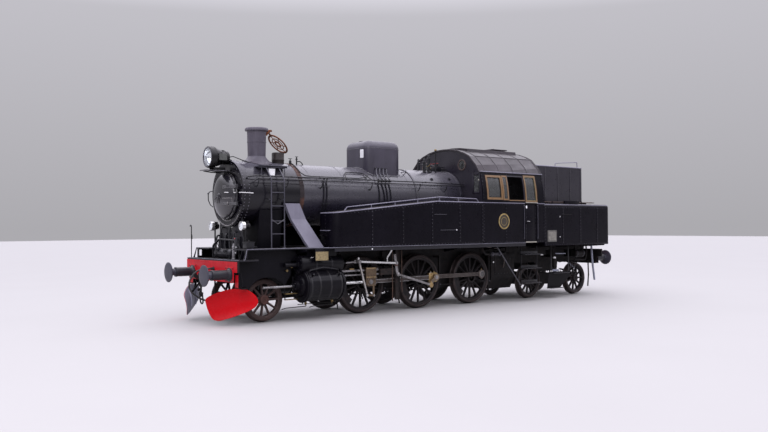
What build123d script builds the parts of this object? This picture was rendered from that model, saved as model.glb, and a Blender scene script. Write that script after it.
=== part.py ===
from build123d import *
import math
import os

os.makedirs("parts", exist_ok=True)

# Tank steam locomotive, 2-6-4 wheel arrangement, standard gauge. Millimetres.
# +X is forward (chimney end), +Y the locomotive's left side, +Z up.
# The origin is on the centre line, midway between the buffer faces, at the
# level of the wheel flanges' lowest points.

# ---------------------------------------------------------------- sizes
FLANGE = 28.0                 # flange depth below the tread
GAUGE_FACE = 680.0            # back of each tyre from the centre line
TYRE_W = 140.0
R_DRIVER = 650.0              # tread radius of the coupled wheels
R_SMALL = 450.0               # tread radius of leading and trailing wheels
Z_DRIVER = R_DRIVER + FLANGE
Z_SMALL = R_SMALL + FLANGE
X_DRIVERS = {1: 2650.0, 2: 850.0, 3: -950.0}
X_LEADING = 5250.0
X_TRAILING = {1: -3250.0, 2: -5300.0}
X_BOGIE = -4275.0             # bogie pivot
X_PONY = 3620.0               # leading truck pivot

BUFFER_X = 6700.0             # buffer faces from the origin
BUFFER_Y = 880.0
BUFFER_Z = 1060.0
BEAM_X = 6100.0               # outer face of each buffer beam
BEAM_T = 50.0
BEAM_W = 1200.0               # half width
BEAM_Z = (895.0, 1332.0)

FRAME_Y = (540.0, 570.0)      # each frame plate, inner and outer face
HALF_W = 1500.0               # half width over tanks, cab and bunker
DECK_Z = (1556.0, 1583.0)     # running board, underside and top

BOILER_Z = 2778.0
R_BOILER = 712.0
R_SMOKEBOX = 720.0
SMOKEBOX_X = (4200.0, 5700.0)
DOOR_Z = 2728.0
DOOR_R = 510.0
CHIMNEY_X = 4970.0
CHIMNEY_TOP = 4272.0

CAB_X = (-3130.0, -750.0)     # rear and front faces of the cab
WALL = 30.0
TANK_X = (-750.0, 3850.0)
BUNKER_X = (-6110.0, -3130.0)

CRANK_R = 305.0
CRANK_ANGLE = {1: 162.0, -1: 72.0}   # left and right crank pins, degrees from +X towards +Z
ROD_Y = (880.0, 930.0)        # coupling rod plane
MAIN_ROD_Y = (1020.0, 1080.0) # main rod plane
CYL_Y = 1050.0
CYL_Z = 758.0
CROSSHEAD_X = 2610.0          # crosshead pin at rest


# ---------------------------------------------------------------- helpers
def block(x0, x1, y0, y1, z0, z1):
    return Pos((x0 + x1) / 2, (y0 + y1) / 2, (z0 + z1) / 2) * Box(abs(x1 - x0), abs(y1 - y0), abs(z1 - z0))


def cyl_x(y, z, r, x0, x1):
    return Pos((x0 + x1) / 2, y, z) * Rot(0, 90, 0) * Cylinder(r, abs(x1 - x0))


def cyl_y(x, z, r, y0, y1):
    return Pos(x, (y0 + y1) / 2, z) * Rot(90, 0, 0) * Cylinder(r, abs(y1 - y0))


def cyl_z(x, y, r, z0, z1):
    return Pos(x, y, (z0 + z1) / 2) * Cylinder(r, abs(z1 - z0))


def face(points):
    return Face(Wire.make_polygon([Vector(*p) for p in points], close=True))


def prism_y(xz, y0, y1):
    """Outline of (x, z) points, from y0 to y1."""
    return extrude(face([(x, y0, z) for x, z in xz]), amount=y1 - y0, dir=(0, 1, 0))


def prism_x(yz, x0, x1):
    """Outline of (y, z) points, from x0 to x1."""
    return extrude(face([(x0, y, z) for y, z in yz]), amount=x1 - x0, dir=(1, 0, 0))


def prism_z(xy, z0, z1):
    """Outline of (x, y) points, from z0 to z1."""
    return extrude(face([(x, y, z0) for x, y in xy]), amount=z1 - z0, dir=(0, 0, 1))


def rod_between(p, q, r):
    """Round bar from p to q."""
    a, b = Vector(*p), Vector(*q)
    d = b - a
    return Plane(origin=a, z_dir=d) * Cylinder(r, d.length, align=(Align.CENTER, Align.CENTER, Align.MIN))


def flat_link(p, q, w, y0, y1):
    """Flat bar in an XZ plane from p to q, w wide."""
    (x0, z0), (x1, z1) = p, q
    n = math.hypot(x1 - x0, z1 - z0)
    ux, uz = (x1 - x0) / n * 0.5 * w, (z1 - z0) / n * 0.5 * w
    return prism_y([(x0 - uz, z0 + ux), (x1 - uz, z1 + ux), (x1 + uz, z1 - ux), (x0 + uz, z0 - ux)], y0, y1)


def both(solid):
    """A left piece and its mirror image on the right."""
    return [solid, mirror(solid, about=Plane.XZ)]


def save(name, items):
    items = items if isinstance(items, list) else [items]
    solids = []
    for item in items:
        solids += list(item.solids())
    shape = solids[0] if len(solids) == 1 else Compound(children=solids)
    export_step(shape, f"parts/{name}.step")
    print(name, len(solids))


# ---------------------------------------------------------------- wheels
def tyre(x, z, tread_r, rim_r, side):
    """Tyre with its flange, on the +Y side or mirrored."""
    y0 = GAUGE_FACE
    profile = [
        (rim_r, y0), (tread_r + FLANGE - 8, y0), (tread_r + FLANGE, y0 + 8), (tread_r + FLANGE, y0 + 20),
        (tread_r + 4, y0 + 34), (tread_r, y0 + 44), (tread_r - 4, y0 + TYRE_W - 8),
        (tread_r - 12, y0 + TYRE_W), (rim_r, y0 + TYRE_W),
    ]
    f = face([(x + r, side * y, z) for r, y in profile])
    return revolve(f, axis=Axis((x, 0, z), (0, 1, 0)))


def wheel_centre(x, z, rim_r, rim_t, hub_r, spokes, spoke_r, side, hub_out=20.0, weight_angle=None, boss=None):
    """Rim, hub and spokes of one wheel, with an optional balance weight and crank boss."""
    y0, y1 = GAUGE_FACE + 12, GAUGE_FACE + TYRE_W - 14
    ym = (y0 + y1) / 2
    rim = cyl_y(x, z, rim_r, side * y0, side * y1) - cyl_y(x, z, rim_r - rim_t, side * (y0 - 5), side * (y1 + 5))
    hub = cyl_y(x, z, hub_r, side * (GAUGE_FACE - 25), side * (GAUGE_FACE + TYRE_W + hub_out))
    body = rim + hub
    for i in range(spokes):
        a = 2 * math.pi * (i + 0.5) / spokes
        u, n = (math.cos(a), math.sin(a)), (-math.sin(a), math.cos(a))
        bar = []
        for r, w in ((hub_r * 0.6, spoke_r[0]), (rim_r - rim_t * 0.5, spoke_r[1])):
            bar.append([(x + r * u[0] + k * w * n[0], z + r * u[1] + k * w * n[1]) for k in (-1, 1)])
        body += prism_y([bar[0][0], bar[0][1], bar[1][1], bar[1][0]], ym - spoke_r[0], ym + spoke_r[0]) if side > 0 \
            else prism_y([bar[0][0], bar[0][1], bar[1][1], bar[1][0]], -ym - spoke_r[0], -ym + spoke_r[0])
    if weight_angle is not None:
        # balance weight: a segment of the rim filled in
        half, r_in = 34.0, rim_r - 165.0
        ring = cyl_y(x, z, rim_r - rim_t * 0.5, side * (y0 + 8), side * (y1 - 4)) \
            - cyl_y(x, z, r_in, side * (y0 - 5), side * (y1 + 5))
        far = rim_r * 2
        a0, a1 = math.radians(weight_angle - half), math.radians(weight_angle + half)
        wedge = prism_y([(x, z), (x + far * math.cos(a0), z + far * math.sin(a0)),
                         (x + far * math.cos(a1), z + far * math.sin(a1))], *sorted((side * y0, side * y1)))
        body += ring & wedge
    if boss is not None:
        bx, bz, br = boss
        body += cyl_y(bx, bz, br, side * (y0 + 10), side * (GAUGE_FACE + TYRE_W + 26))
        body += flat_link((x, z), (bx, bz), br * 1.7, *sorted((side * (y0 + 10), side * (GAUGE_FACE + TYRE_W + 14))))
    return body


def pin_place(x, side):
    a = math.radians(CRANK_ANGLE[side])
    return x + CRANK_R * math.cos(a), Z_DRIVER + CRANK_R * math.sin(a)


PIN_R = 62.0                  # crank pins
PIN_END = {1: 944.0, 2: 1012.0, 3: 944.0}
AXLE_R = 88.0
HUB_FACE = GAUGE_FACE - 25    # inner faces of the hubs, where the axle ends
for n, x in X_DRIVERS.items():
    rim_r = R_DRIVER - 62
    save(f"driver_{n}_tyres", [tyre(x, Z_DRIVER, R_DRIVER, rim_r + 0.4, s) for s in (1, -1)])
    wheels = [cyl_y(x, Z_DRIVER, AXLE_R, -HUB_FACE, HUB_FACE)]
    for s in (1, -1):
        px, pz = pin_place(x, s)
        wheels.append(wheel_centre(x, Z_DRIVER, rim_r, 58, 135, 14, (34, 25), s, 24.0, CRANK_ANGLE[s] + 180, (px, pz, 108)))
        pin = cyl_y(px, pz, PIN_R, s * (GAUGE_FACE + TYRE_W + 26), s * PIN_END[n])
        if n != 2:
            pin += cyl_y(px, pz, 78, s * (ROD_Y[1] + 3), s * PIN_END[n])
        wheels.append(pin)
    save(f"driver_{n}_wheels", wheels)

small = [("leading", X_LEADING, 11), ("trailing_1", X_TRAILING[1], 11), ("trailing_2", X_TRAILING[2], 11)]
for name, x, spokes in small:
    rim_r = R_SMALL - 58
    save(f"{name}_tyres", [tyre(x, Z_SMALL, R_SMALL, rim_r + 0.4, s) for s in (1, -1)])
    wheels = [cyl_y(x, Z_SMALL, 75, -HUB_FACE, HUB_FACE)]
    for s in (1, -1):
        wheels.append(wheel_centre(x, Z_SMALL, rim_r, 44, 105, spokes, (31, 24), s, 22.0))
    save(f"{name}_wheels", wheels)

# ---------------------------------------------------------------- frames
# Outline of one frame plate: high over both trucks, deep over the drivers.
TOP_Z = 1482.0
frame_low = [  # x, z along the lower edge from the front
    (6050, 985), (4760, 985), (4640, 700), (3500, 620), (3360, 460),
    (-1560, 460), (-1700, 985), (-3760, 985), (-3800, 720), (-4740, 720), (-4780, 985), (-6050, 985),
]
outline = [(6050, 1331), (5600, 1331), (5560, TOP_Z), (-5700, TOP_Z), (-6050, TOP_Z - 60)] + frame_low[::-1]
plate = prism_y(outline, *FRAME_Y)
for n, x in X_DRIVERS.items():
    plate -= block(x - 125, x + 125, 500, 620, 440, Z_DRIVER + 135)     # horn gap
plate -= block(5000, 5500, 500, 620, 1080, 1240)                       # lightening hole
for cx in (-2300, -4300, -5350):
    plate -= block(cx - 260, cx + 260, 500, 620, 1120, 1330)
# axle boxes fill the horn gaps, each bored for its axle, with a keep plate below
for x in X_DRIVERS.values():
    plate += block(x - 125, x + 125, FRAME_Y[0] - 55, FRAME_Y[1] + 45, Z_DRIVER - 170, Z_DRIVER + 135)
    plate += block(x - 170, x + 170, FRAME_Y[0], FRAME_Y[1], 430, 461)
    plate -= cyl_y(x, Z_DRIVER, AXLE_R + 1.5, 400, 700)
save("frame_plates", both(plate))

stays = [  # x0, x1, z0, z1 of the plates between the frames
    (5300, 5340, 1010, 1300), (4560, 4600, 760, 1470), (3520, 3560, 700, 1470), (1730, 1770, 520, 1450),
    (-70, -30, 520, 1248), (-1660, -1630, 1000, 1450), (-2980, -2940, 1000, 1450),
    (-5660, -5620, 1000, 1450),
]
cross = []
for x0, x1, z0, z1 in stays:
    cross.append(block(x0, x1, -FRAME_Y[0], FRAME_Y[0], z0, z1))
# pivot stretchers: truck pin in front, bogie centre at the rear
cross.append(block(3570, 3790, -FRAME_Y[0], FRAME_Y[0], 640, 700) + cyl_z(X_PONY + 60, 0, 60, 520, 640))
cross.append(block(X_BOGIE - 300, X_BOGIE + 300, -FRAME_Y[0], FRAME_Y[0], 990, 1060) + cyl_z(X_BOGIE, 0, 110, 700, 990))
# saddle that carries the smokebox
saddle = prism_x([(-530, 1000), (530, 1000), (530, 1560), (640, 2420), (-640, 2420), (-530, 1560)], 4690, 5260)
saddle -= cyl_x(0, BOILER_Z, R_SMOKEBOX, 4000, 6000)
for y0, y1 in ((-700, -230), (-230, 230), (230, 700)):      # a middle casting and a wing each side
    cross += list((saddle & block(4600, 5400, y0, y1, 900, 2500)).solids())
# outriggers that carry the running boards, each from the frame to the board
for x in (4530, 3440, 1560, -250, -1690, -2120):
    cross += both(prism_x([(FRAME_Y[1], 1380), (620, 1380), (1380, 1520), (1380, 1555.5), (FRAME_Y[1], 1555.5)], x, x + 25))

# ---------------------------------------------------------------- buffer beams and draw gear
beams = []
for s in (1, -1):
    x0, x1 = sorted((s * (BEAM_X - BEAM_T), s * BEAM_X))
    low = [(-BEAM_W, 1105), (-1040, 1105), (-960, BEAM_Z[0]), (960, BEAM_Z[0]), (1040, 1105), (BEAM_W, 1105)]
    beam = prism_x([(BEAM_W, BEAM_Z[1]), (-BEAM_W, BEAM_Z[1])] + low, x0, x1)
    beam -= block(x0 - 5, x1 + 5, -62, 62, 1010, 1130)
    beams.append(beam)
save("buffer_beams", beams)

heads = []
for s in (1, -1):
    for y in (BUFFER_Y, -BUFFER_Y):
        b = cyl_x(y, BUFFER_Z, 145, s * BEAM_X, s * (BEAM_X + 30))
        b += cyl_x(y, BUFFER_Z, 102, s * BEAM_X, s * (BEAM_X + 420))
        b += cyl_x(y, BUFFER_Z, 76, s * (BEAM_X + 300), s * (BUFFER_X - 20))
        b += cyl_x(y, BUFFER_Z, 220, s * (BUFFER_X - 40), s * BUFFER_X)
        heads.append(b)
save("buffers", heads)

hooks = []
for s in (1, -1):
    shank = block(s * 5900, s * (BEAM_X + 130), -32, 32, 1038, 1102)
    hook_pts = [(s * (BEAM_X + 120), 1100), (s * (BEAM_X + 260), 1096), (s * (BEAM_X + 300), 1040),
                (s * (BEAM_X + 330), 1046), (s * (BEAM_X + 345), 1140), (s * (BEAM_X + 400), 1130),
                (s * (BEAM_X + 395), 1000), (s * (BEAM_X + 320), 950), (s * (BEAM_X + 200), 960),
                (s * (BEAM_X + 120), 1040)]
    hook = shank + prism_y(hook_pts, -26, 26)
    link = block(s * (BEAM_X + 215), s * (BEAM_X + 240), -45, 45, 985, 1010)
    chain = [cyl_y(s * (BEAM_X + 228), 1000, 17, -70, 70)]
    chain += [block(s * (BEAM_X + 212), s * (BEAM_X + 244), y0, y0 + 18, 660, 1020) for y0 in (-70, 52)]
    chain += [cyl_y(s * (BEAM_X + 228), 670, 17, -70, 70), cyl_z(s * (BEAM_X + 228), 0, 22, 560, 650)]
    h = hook
    for c in chain:
        h += c
    h += block(s * (BEAM_X + 212), s * (BEAM_X + 244), -52, 52, 640, 672)
    hooks.append(h)
# union of the brake hose on the front beam, and the hanger that holds its head below
HOSE_Y = 150.0
hooks.append(cyl_x(HOSE_Y, 1160, 44, BEAM_X, BEAM_X + 14) + cyl_x(HOSE_Y, 1160, 27, BEAM_X + 10, BEAM_X + 70))
hooks.append(block(BEAM_X - 40, BEAM_X - 10, HOSE_Y - 15, HOSE_Y + 15, 430, BEAM_Z[0]) + cyl_x(HOSE_Y, 482, 42, BEAM_X - 10, BEAM_X + 12)
             + cyl_x(HOSE_Y, 482, 27, BEAM_X + 10, BEAM_X + 65))
save("draw_gear", hooks)

# brake hose: one rubber hose from the union forwards, down and back to the hanger
HOSE_R = 19.0
hose_route = [  # x, y, z
    (BEAM_X + 70, HOSE_Y, 1160), (6335, HOSE_Y, 1160), (6500, 147, 1120), (6615, 145, 1010), (6670, 146, 870),
    (6655, 148, 750), (6592, 150, 655), (6495, 151, 585), (6392, HOSE_Y, 524), (6275, HOSE_Y, 482), (BEAM_X + 65, HOSE_Y, 482),
]


def hose_radii(route):
    """As large an arc at each corner as its two runs allow."""
    out = []
    for a, b, c in zip(route, route[1:], route[2:]):
        p, q = Vector(*b) - Vector(*a), Vector(*c) - Vector(*b)
        turn = math.radians(p.get_angle(q))
        out.append(0.45 * min(p.length, q.length) / math.tan(turn / 2))
    return out


radii = hose_radii(hose_route)
line = FilletPolyline(*hose_route, radius=radii)
hose = sweep(Plane(origin=line @ 0, z_dir=line % 0) * Circle(HOSE_R), path=line)
print("hose length", round(line.length, 1), "volume share", round(hose.volume / (math.pi * HOSE_R ** 2 * line.length), 4),
      "radii", [round(r) for r in radii])
save("brake_hose_front", hose)

# ---------------------------------------------------------------- rail ploughs
# Each blade is a curved plate, upright, angled outwards ahead of a leading wheel.
PLOUGH_T = 14.0
PLOUGH_A, PLOUGH_B = (6520.0, 560.0), (5780.0, 1420.0)     # its ends in plan, above and outside the rail
PLOUGH_R, PLOUGH_SAG, PLOUGH_TILT = 620.0, 95.0, 14.0
leaf = [  # share of the length, height above the origin
    (0.000, 450), (0.000, 542), (0.055, 600), (0.188, 668), (0.331, 723), (0.458, 758), (0.578, 775), (0.687, 774),
    (0.796, 755), (0.868, 715), (0.932, 655), (0.985, 572), (1.000, 497), (0.971, 425), (0.902, 362), (0.794, 300),
    (0.686, 251), (0.468, 167), (0.303, 119), (0.226, 113), (0.150, 135), (0.083, 205), (0.027, 330),
]


def plough():
    ax, ay = PLOUGH_A
    bx, by = PLOUGH_B
    n = math.hypot(bx - ax, by - ay)
    ux, uy = (bx - ax) / n, (by - ay) / n
    ox, oy = -uy * -1, ux * -1                    # out, ahead of the blade
    mid = Vector((ax + bx) / 2, (ay + by) / 2, 445)
    t = math.radians(PLOUGH_TILT)
    along = Vector(ux * math.cos(t), uy * math.cos(t), math.sin(t))
    centre = mid + Vector(ox, oy, 0) * (PLOUGH_R - PLOUGH_SAG)
    frame = Plane(origin=centre - along * 900, z_dir=along)
    trough = frame * Cylinder(PLOUGH_R + PLOUGH_T, 1800, align=(Align.CENTER, Align.CENTER, Align.MIN))
    trough -= frame * Cylinder(PLOUGH_R, 1800, align=(Align.CENTER, Align.CENTER, Align.MIN))
    shape = face([(ax + s * n * ux - ox * 200, ay + s * n * uy - oy * 200, z) for s, z in leaf])
    cut = extrude(shape, amount=430, dir=(ox, oy, 0))
    return max((trough & cut).solids(), key=lambda q: q.volume)


blade = plough()
save("rail_ploughs", both(blade))
stays = [rod_between((6000, 620, 900), (6205, 800, 560), 24), rod_between((5990, 960, 900), (5950, 1120, 560), 24)]
stays = [max((x - blade).solids(), key=lambda q: q.volume) for x in stays]
stays.append(block(5960, 6049.5, 575, 984.5, 900, 930) - stays[0] - stays[1])
plough_stays = [x for item in stays for x in both(item)]

save("frame_stretchers", cross + plough_stays)

# ---------------------------------------------------------------- running boards and front platform
board = prism_z([(5870, 575), (5870, 1200), (4700, 1200), (3900, HALF_W), (-2345, HALF_W), (-2345, 575)], *DECK_Z)
board += prism_z([(3880, HALF_W - 10), (-2340, HALF_W - 10), (-2340, HALF_W - 20), (3880, HALF_W - 20)],
                 DECK_Z[0] - 62, DECK_Z[0] + 1)

deck = block(5600, 6090, -BEAM_W, BEAM_W, BEAM_Z[1] + 0.0, BEAM_Z[1] + 30)
slope = prism_y([(5871, 1583), (5871, 1556), (5918, BEAM_Z[1] + 30.5), (5950, BEAM_Z[1] + 30.5)], 1176, 1200)
save("running_boards", both(board) + [deck] + both(slope))

# side valance between buffer beam and cylinder, cut away round the leading wheel
v = prism_y([(6045, 790), (6045, 1331), (5590, 1331), (5590, 1555), (4560, 1555), (4560, 1300), (4700, 1300),
             (4700, 1000), (4780, 900), (4900, 700), (5700, 700), (5790, 790)], 985, 1000)
v -= cyl_y(5285, 440, 535, 900, 1180)
v -= rod_between((5990, 960, 900), (5950, 1120, 560), 26)          # hole for the plough's outer stay
upper = prism_y([(5591, 1362.5), (5940, 1362.5), (5872, 1555), (5591, 1555)], 985, 1000)
step_face = block(6032, 6045, 1000.5, 1150, 790, 1104)
save("front_valances", both(v) + both(upper) + both(step_face))

# ---------------------------------------------------------------- cylinders
def cylinder_block():
    c = cyl_x(CYL_Y, CYL_Z, 350, 3510, 4510)
    c += cyl_x(CYL_Y, CYL_Z, 372, 3540, 3580) + cyl_x(CYL_Y, CYL_Z, 372, 4440, 4480)
    c += cyl_x(CYL_Y, CYL_Z, 230, 4500, 4545) + cyl_x(CYL_Y, CYL_Z, 110, 4540, 4640)
    c += cyl_x(CYL_Y, CYL_Z, 105, 3440, 3520)
    chest = cyl_x(CYL_Y + 20, 1218, 205, 3490, 4560)
    chest += cyl_x(CYL_Y + 20, 1218, 75, 4550, 4600) + cyl_x(CYL_Y + 20, 1218, 45, 4590, 4900) + cyl_x(CYL_Y + 20, 1218, 60, 3380, 3500)
    chest -= c
    root = block(3600, 4420, FRAME_Y[1], 1050, 700, 1420) - c - chest
    web = prism_y([(3620, 1000), (4400, 1000), (4400, 1555), (3620, 1555)], 760, 1180) - c - chest - root
    c -= cyl_x(CYL_Y, CYL_Z, 39, 3400, 4420)          # bore for the piston rod
    return [x for item in (c, chest, root, web) for x in item.solids() if x.volume > 1e5]


cyl = [x for piece in cylinder_block() for x in both(piece)]
tail = cyl_x(CYL_Y, CYL_Z, 26, 4640, 5420)           # fixed guard tube of the tail rod
save("cylinders", cyl + both(tail))

casing_pts = [  # x, y, z of the centre line and the casing's length along X
    (4512, 725, 2560, 380), (4397, 800, 2206, 390), (4152, 1135, 1584, 400),
]


def pipe_casing():
    t = 50.0
    secs = []
    for x, y, z, w in casing_pts:
        secs.append([(x - w / 2, y - t, z), (x + w / 2, y - t, z), (x + w / 2, y + t, z), (x - w / 2, y + t, z)])
    a = loft([face(secs[0]), face(secs[1])], ruled=True)
    b = loft([face(secs[1]), face(secs[2])], ruled=True)
    return a + b


casing = pipe_casing() - cyl_x(0, BOILER_Z, R_SMOKEBOX + 1, 3800, 6000)
casing = max(casing.solids(), key=lambda s: s.volume)
save("steam_pipe_casings", both(casing))

# ---------------------------------------------------------------- boiler
def sector(a0, a1, x0, x1, z, far=2000.0):
    """Wedge about an X axis at height z, between two angles from +Y."""
    p = [(0.0, z)] + [(far * math.cos(math.radians(t)), z + far * math.sin(math.radians(t))) for t in (a0, (a0 + a1) / 2, a1)]
    return prism_x(p, x0, x1)


# The smokebox is a rolled plate in twelve staves; the gap in the top one is
# the way up the chimney. A plate closes it behind, a ring of twelve in front.
X0, X1 = SMOKEBOX_X
shell = cyl_x(0, BOILER_Z, R_SMOKEBOX, X0 + 40, X1 - 40) + cyl_x(0, BOILER_Z, R_SMOKEBOX + 14, X1 - 175, X1 - 40)
shell -= cyl_x(0, BOILER_Z, R_SMOKEBOX - 22, X0, X1)
brow = cyl_x(0, BOILER_Z, R_SMOKEBOX + 14, X1 - 40, X1) - cyl_x(0, DOOR_Z, DOOR_R - 35, X1 - 60, X1 + 60)
box = [cyl_x(0, BOILER_Z, R_SMOKEBOX, X0, X0 + 40)]
for i in range(12):
    stave = shell & sector(30 * i + 75, 30 * i + 105, X0, X1, BOILER_Z)
    if i == 0:
        stave -= block(CHIMNEY_X - 165, CHIMNEY_X + 165, -400, 400, 3300, 3600)
    box += list(stave.solids())
    box += list((brow & sector(30 * i, 30 * i + 30, X1 - 60, X1 + 10, BOILER_Z)).solids())
box.append(cyl_z(4420, 0, 140, 3440, 3748) - cyl_x(0, BOILER_Z, R_SMOKEBOX, 4200, 5700))
save("smokebox", box)

barrel = cyl_x(0, BOILER_Z, R_BOILER, 850, SMOKEBOX_X[0])
save("boiler", barrel)

fire = cyl_x(0, BOILER_Z, R_BOILER + 18, CAB_X[1] + 0.5, 850)
fire += block(-740, 740, -530, 530, 1250, BOILER_Z)
save("firebox", fire)

# casing over the sand boxes and the steam dome
dome = block(1140, 2215, -505, 505, 3250, 4152)
dome = fillet(dome.edges().filter_by(Axis.Z), 210)
dome = fillet(dome.faces().sort_by(Axis.Z)[-1].edges(), 190)
dome -= cyl_x(0, BOILER_Z, R_BOILER, 0, 4000)
save("dome_casing", dome)

# chimney: foot, shaft and lip, each of six sectors about the open flue
stack_rings = [  # r, z outside, from below upwards, then the bore
    [(340, 3440), (240, 3540), (200, 3620), (167, 3620), (166, 3440)],
    [(200, 3620), (206, 3886), (214, 4188), (169, 4188), (167, 3620)],
    [(214, 4188), (262, 4200), (262, 4250), (246, CHIMNEY_TOP), (170, CHIMNEY_TOP), (169, 4188)],
]
stack = []
for ring_profile in stack_rings:
    for i in range(6):
        f = Rot(0, 0, 60 * i + 30) * face([(r, 0, z) for r, z in ring_profile])
        part = Pos(CHIMNEY_X, 0, 0) * revolve(f, axis=Axis.Z, revolution_arc=60)
        stack += list((part - cyl_x(0, BOILER_Z, R_SMOKEBOX, 4000, 6000)).solids())
LID_HINGE = (4623.0, 0.0, 4229.0)
for y in (-60, 44):
    lug = block(4605, 4790, y, y + 16, 4203, 4244) - cyl_z(CHIMNEY_X, 0, 262.5, 4100, 4400)
    stack.append(lug - cyl_y(LID_HINGE[0], LID_HINGE[2], 9, -100, 100))
save("chimney", stack)

# ---------------------------------------------------------------- tanks
def tank():
    side = [(TANK_X[0], DECK_Z[1]), (TANK_X[1], DECK_Z[1]), (TANK_X[1], 2362), (850, 2658), (TANK_X[0], 2652)]
    t = prism_y(side, 880, HALF_W)
    vert = [e for e in t.edges().filter_by(Axis.Z) if e.center().X > 3800 and e.center().Y > 1400]
    t = fillet(vert, 210)
    top = [e for e in t.edges() if e.center().Z > 2340 and e.center().Y > 1350]
    try:
        t = fillet(top, 40)
    except Exception:
        print("tank top edge left sharp")
    return t


tank_l = tank()
FILLER_X, FILLER_Y = -300.0, 1100.0
# filler neck on the level part of the tank top, with its shaft into the tank
neck = cyl_z(FILLER_X, FILLER_Y, 170, 2600, 2690)
save("side_tanks", both(tank_l + neck - cyl_z(FILLER_X, FILLER_Y, 155, 2350, 2700)))

# ---------------------------------------------------------------- cab
CAB_OUT = [(1500, 1583), (1500, 2698), (1468, 2958), (1417, 3218), (1366, 3428)]   # y, z of the side sheet
ROOF_OUT = [(1366, 3428), (1260, 3612), (1116, 3751), (1008, 3863), (823, 3955), (560, 4042), (253, 4093), (0, 4103)]


def inset(points, t):
    """Points moved t towards the cab's middle."""
    out = []
    for y, z in points:
        out.append((y - t, z) if z < 3428 else (y * (1 - t / 1366.0), z - t * 1.05))
    return out


side = prism_x(CAB_OUT + [(y - WALL, z) for y, z in CAB_OUT[::-1]], *CAB_X)
windows = [  # x0, x1, z0, z1
    (-1490, -905, 2721, 3357), (-2335, -1702, 2700, 3366), (-2835, -2365, 2668, 3395),
]
for x0, x1, z0, z1 in windows:
    side -= block(x0, x1, 1200, 1600, z0, z1)
DOOR = (-2790.0, -2350.0, 1620.0, 2618.0)      # x0, x1, z0, z1 of the doorway
side -= block(DOOR[0], DOOR[1], 1300, 1600, DECK_Z[1] - 5, DOOR[3])
save("cab_sides", both(side))

full = CAB_OUT + ROOF_OUT[1:]
sheet = [(y - WALL, z) for y, z in CAB_OUT] + [(y * 0.978, z - 31) for y, z in ROOF_OUT[1:]]
ring = sheet + [(-y, z) for y, z in sheet[::-1][1:]]
front = prism_x(ring, CAB_X[1] - WALL, CAB_X[1])
front -= cyl_x(0, BOILER_Z, R_BOILER + 19, -2000, 0)
front -= block(-2000, 0, -745, 745, 1500, BOILER_Z)
for s in (1, -1):
    front -= cyl_x(s * 710, 3648, 120, -2000, 0)                    # round spectacle
    front -= block(-2000, 0, s * 1130, s * 1360, 2900, 3380)        # look-out window
rear = prism_x(ring, CAB_X[0], CAB_X[0] + WALL)
for s in (1, -1):
    rear -= block(-4000, -3000, s * 1060, s * 1330, 2700, 3250)
    rear -= cyl_x(s * 700, 3600, 120, -4000, -3000)
save("cab_ends", [front, rear])

outer = ROOF_OUT + [(-y, z) for y, z in ROOF_OUT[::-1][1:]]
inner_r = [(y * 0.978, z - 30) for y, z in ROOF_OUT]
inner_r[0] = (1366 - WALL, 3428)
inner = inner_r + [(-y, z) for y, z in inner_r[::-1][1:]]
roof = prism_x(outer + inner[::-1], CAB_X[0] - 25, CAB_X[1] + 25)
vent = prism_x([(-620, 4020), (-600, 4108), (-300, 4150), (0, 4162), (300, 4150), (600, 4108), (620, 4020),
                (560, 4038), (253, 4089), (0, 4099), (-253, 4089), (-560, 4038)], -2950, -1050)
save("cab_roof", roof + vent)

floor = block(CAB_X[0] + WALL + 0.5, CAB_X[1] - WALL - 0.5, -1460, 1460, DECK_Z[1], 1612)
save("cab_floor", floor)

head = cyl_x(0, BOILER_Z, R_BOILER - 12, CAB_X[1] - WALL - 260, CAB_X[1] - 0.5)
head += block(CAB_X[1] - WALL - 260, CAB_X[1] - WALL - 1, -700, 700, 1613, BOILER_Z)
save("backhead", head)

# ---------------------------------------------------------------- bunker
low = block(*BUNKER_X, -HALF_W, HALF_W, 1483, 2650)
low = fillet([e for e in low.edges().filter_by(Axis.Z) if e.center().X < -6000], 150)
low = fillet([e for e in low.edges() if e.center().Z > 2640 and e.center().X < -3140], 70)
save("rear_tank", low)

COAL = (-5420.0, BUNKER_X[1], 1010.0, 2650.0, 3735.0)     # rear, front, half width, floor, rim
coal = block(COAL[0], COAL[1], -COAL[2], COAL[2], COAL[3], COAL[4])
coal = fillet([e for e in coal.edges().filter_by(Axis.Z) if e.center().X < -5400], 60)
coal -= block(COAL[0] + 25, COAL[1] - 25, -COAL[2] + 25, COAL[2] - 25, COAL[3] - 5, COAL[4] + 5)
save("coal_bunker", coal)

# ash pan: between the frames and a wing outside each
pan = [prism_x([(-520, 1240), (-520, 700), (-330, 330), (330, 330), (520, 700), (520, 1240)], -2640, -1720)]
pan += both(prism_x([(580, 1270), (800, 1270), (800, 620), (640, 330), (580, 330)], -2640, -1720))
save("ash_pan", pan)

# ---------------------------------------------------------------- motion
BAR_Z = ((916.0, 945.0), (1010.0, 1050.0))


def slide_bar(z0, z1):
    return block(2335, 3438, 1015, 1085, z0, z1)


bars = []
for z0, z1 in BAR_Z:
    bars += both(slide_bar(z0, z1))
save("slide_bars", bars)


def motion_bracket():
    b = block(1750, 1900, 575, 1135, 1075, 1120) + block(1750, 1900, 1105, 1135, 300, 1120)
    b += block(1780, 1880, 580, 620, 1100, 1555.5) + block(1780, 1880, 1105, 1135, 1100, 1555.5)
    # arm to the rear ends of the slide bars
    b += block(1880, 2334, 1100, 1135, 905, 1050) + block(2294, 2334, 1015, 1135, 916, 1050)
    return b


save("motion_brackets", both(motion_bracket()))

# fixed valve gear on each side: expansion link, radius rod, eccentric rod
LINK_PIVOT = (1900.0, 1148.0)
LINK_TAIL_R = 247.0
ECC_PIN = {1: (815.0, 598.0), -1: (770.0, 713.0)}     # end of the return crank
ECC_ROD = 1089.0
LEVER_PIN = (2989.0, 1238.0)


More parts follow.
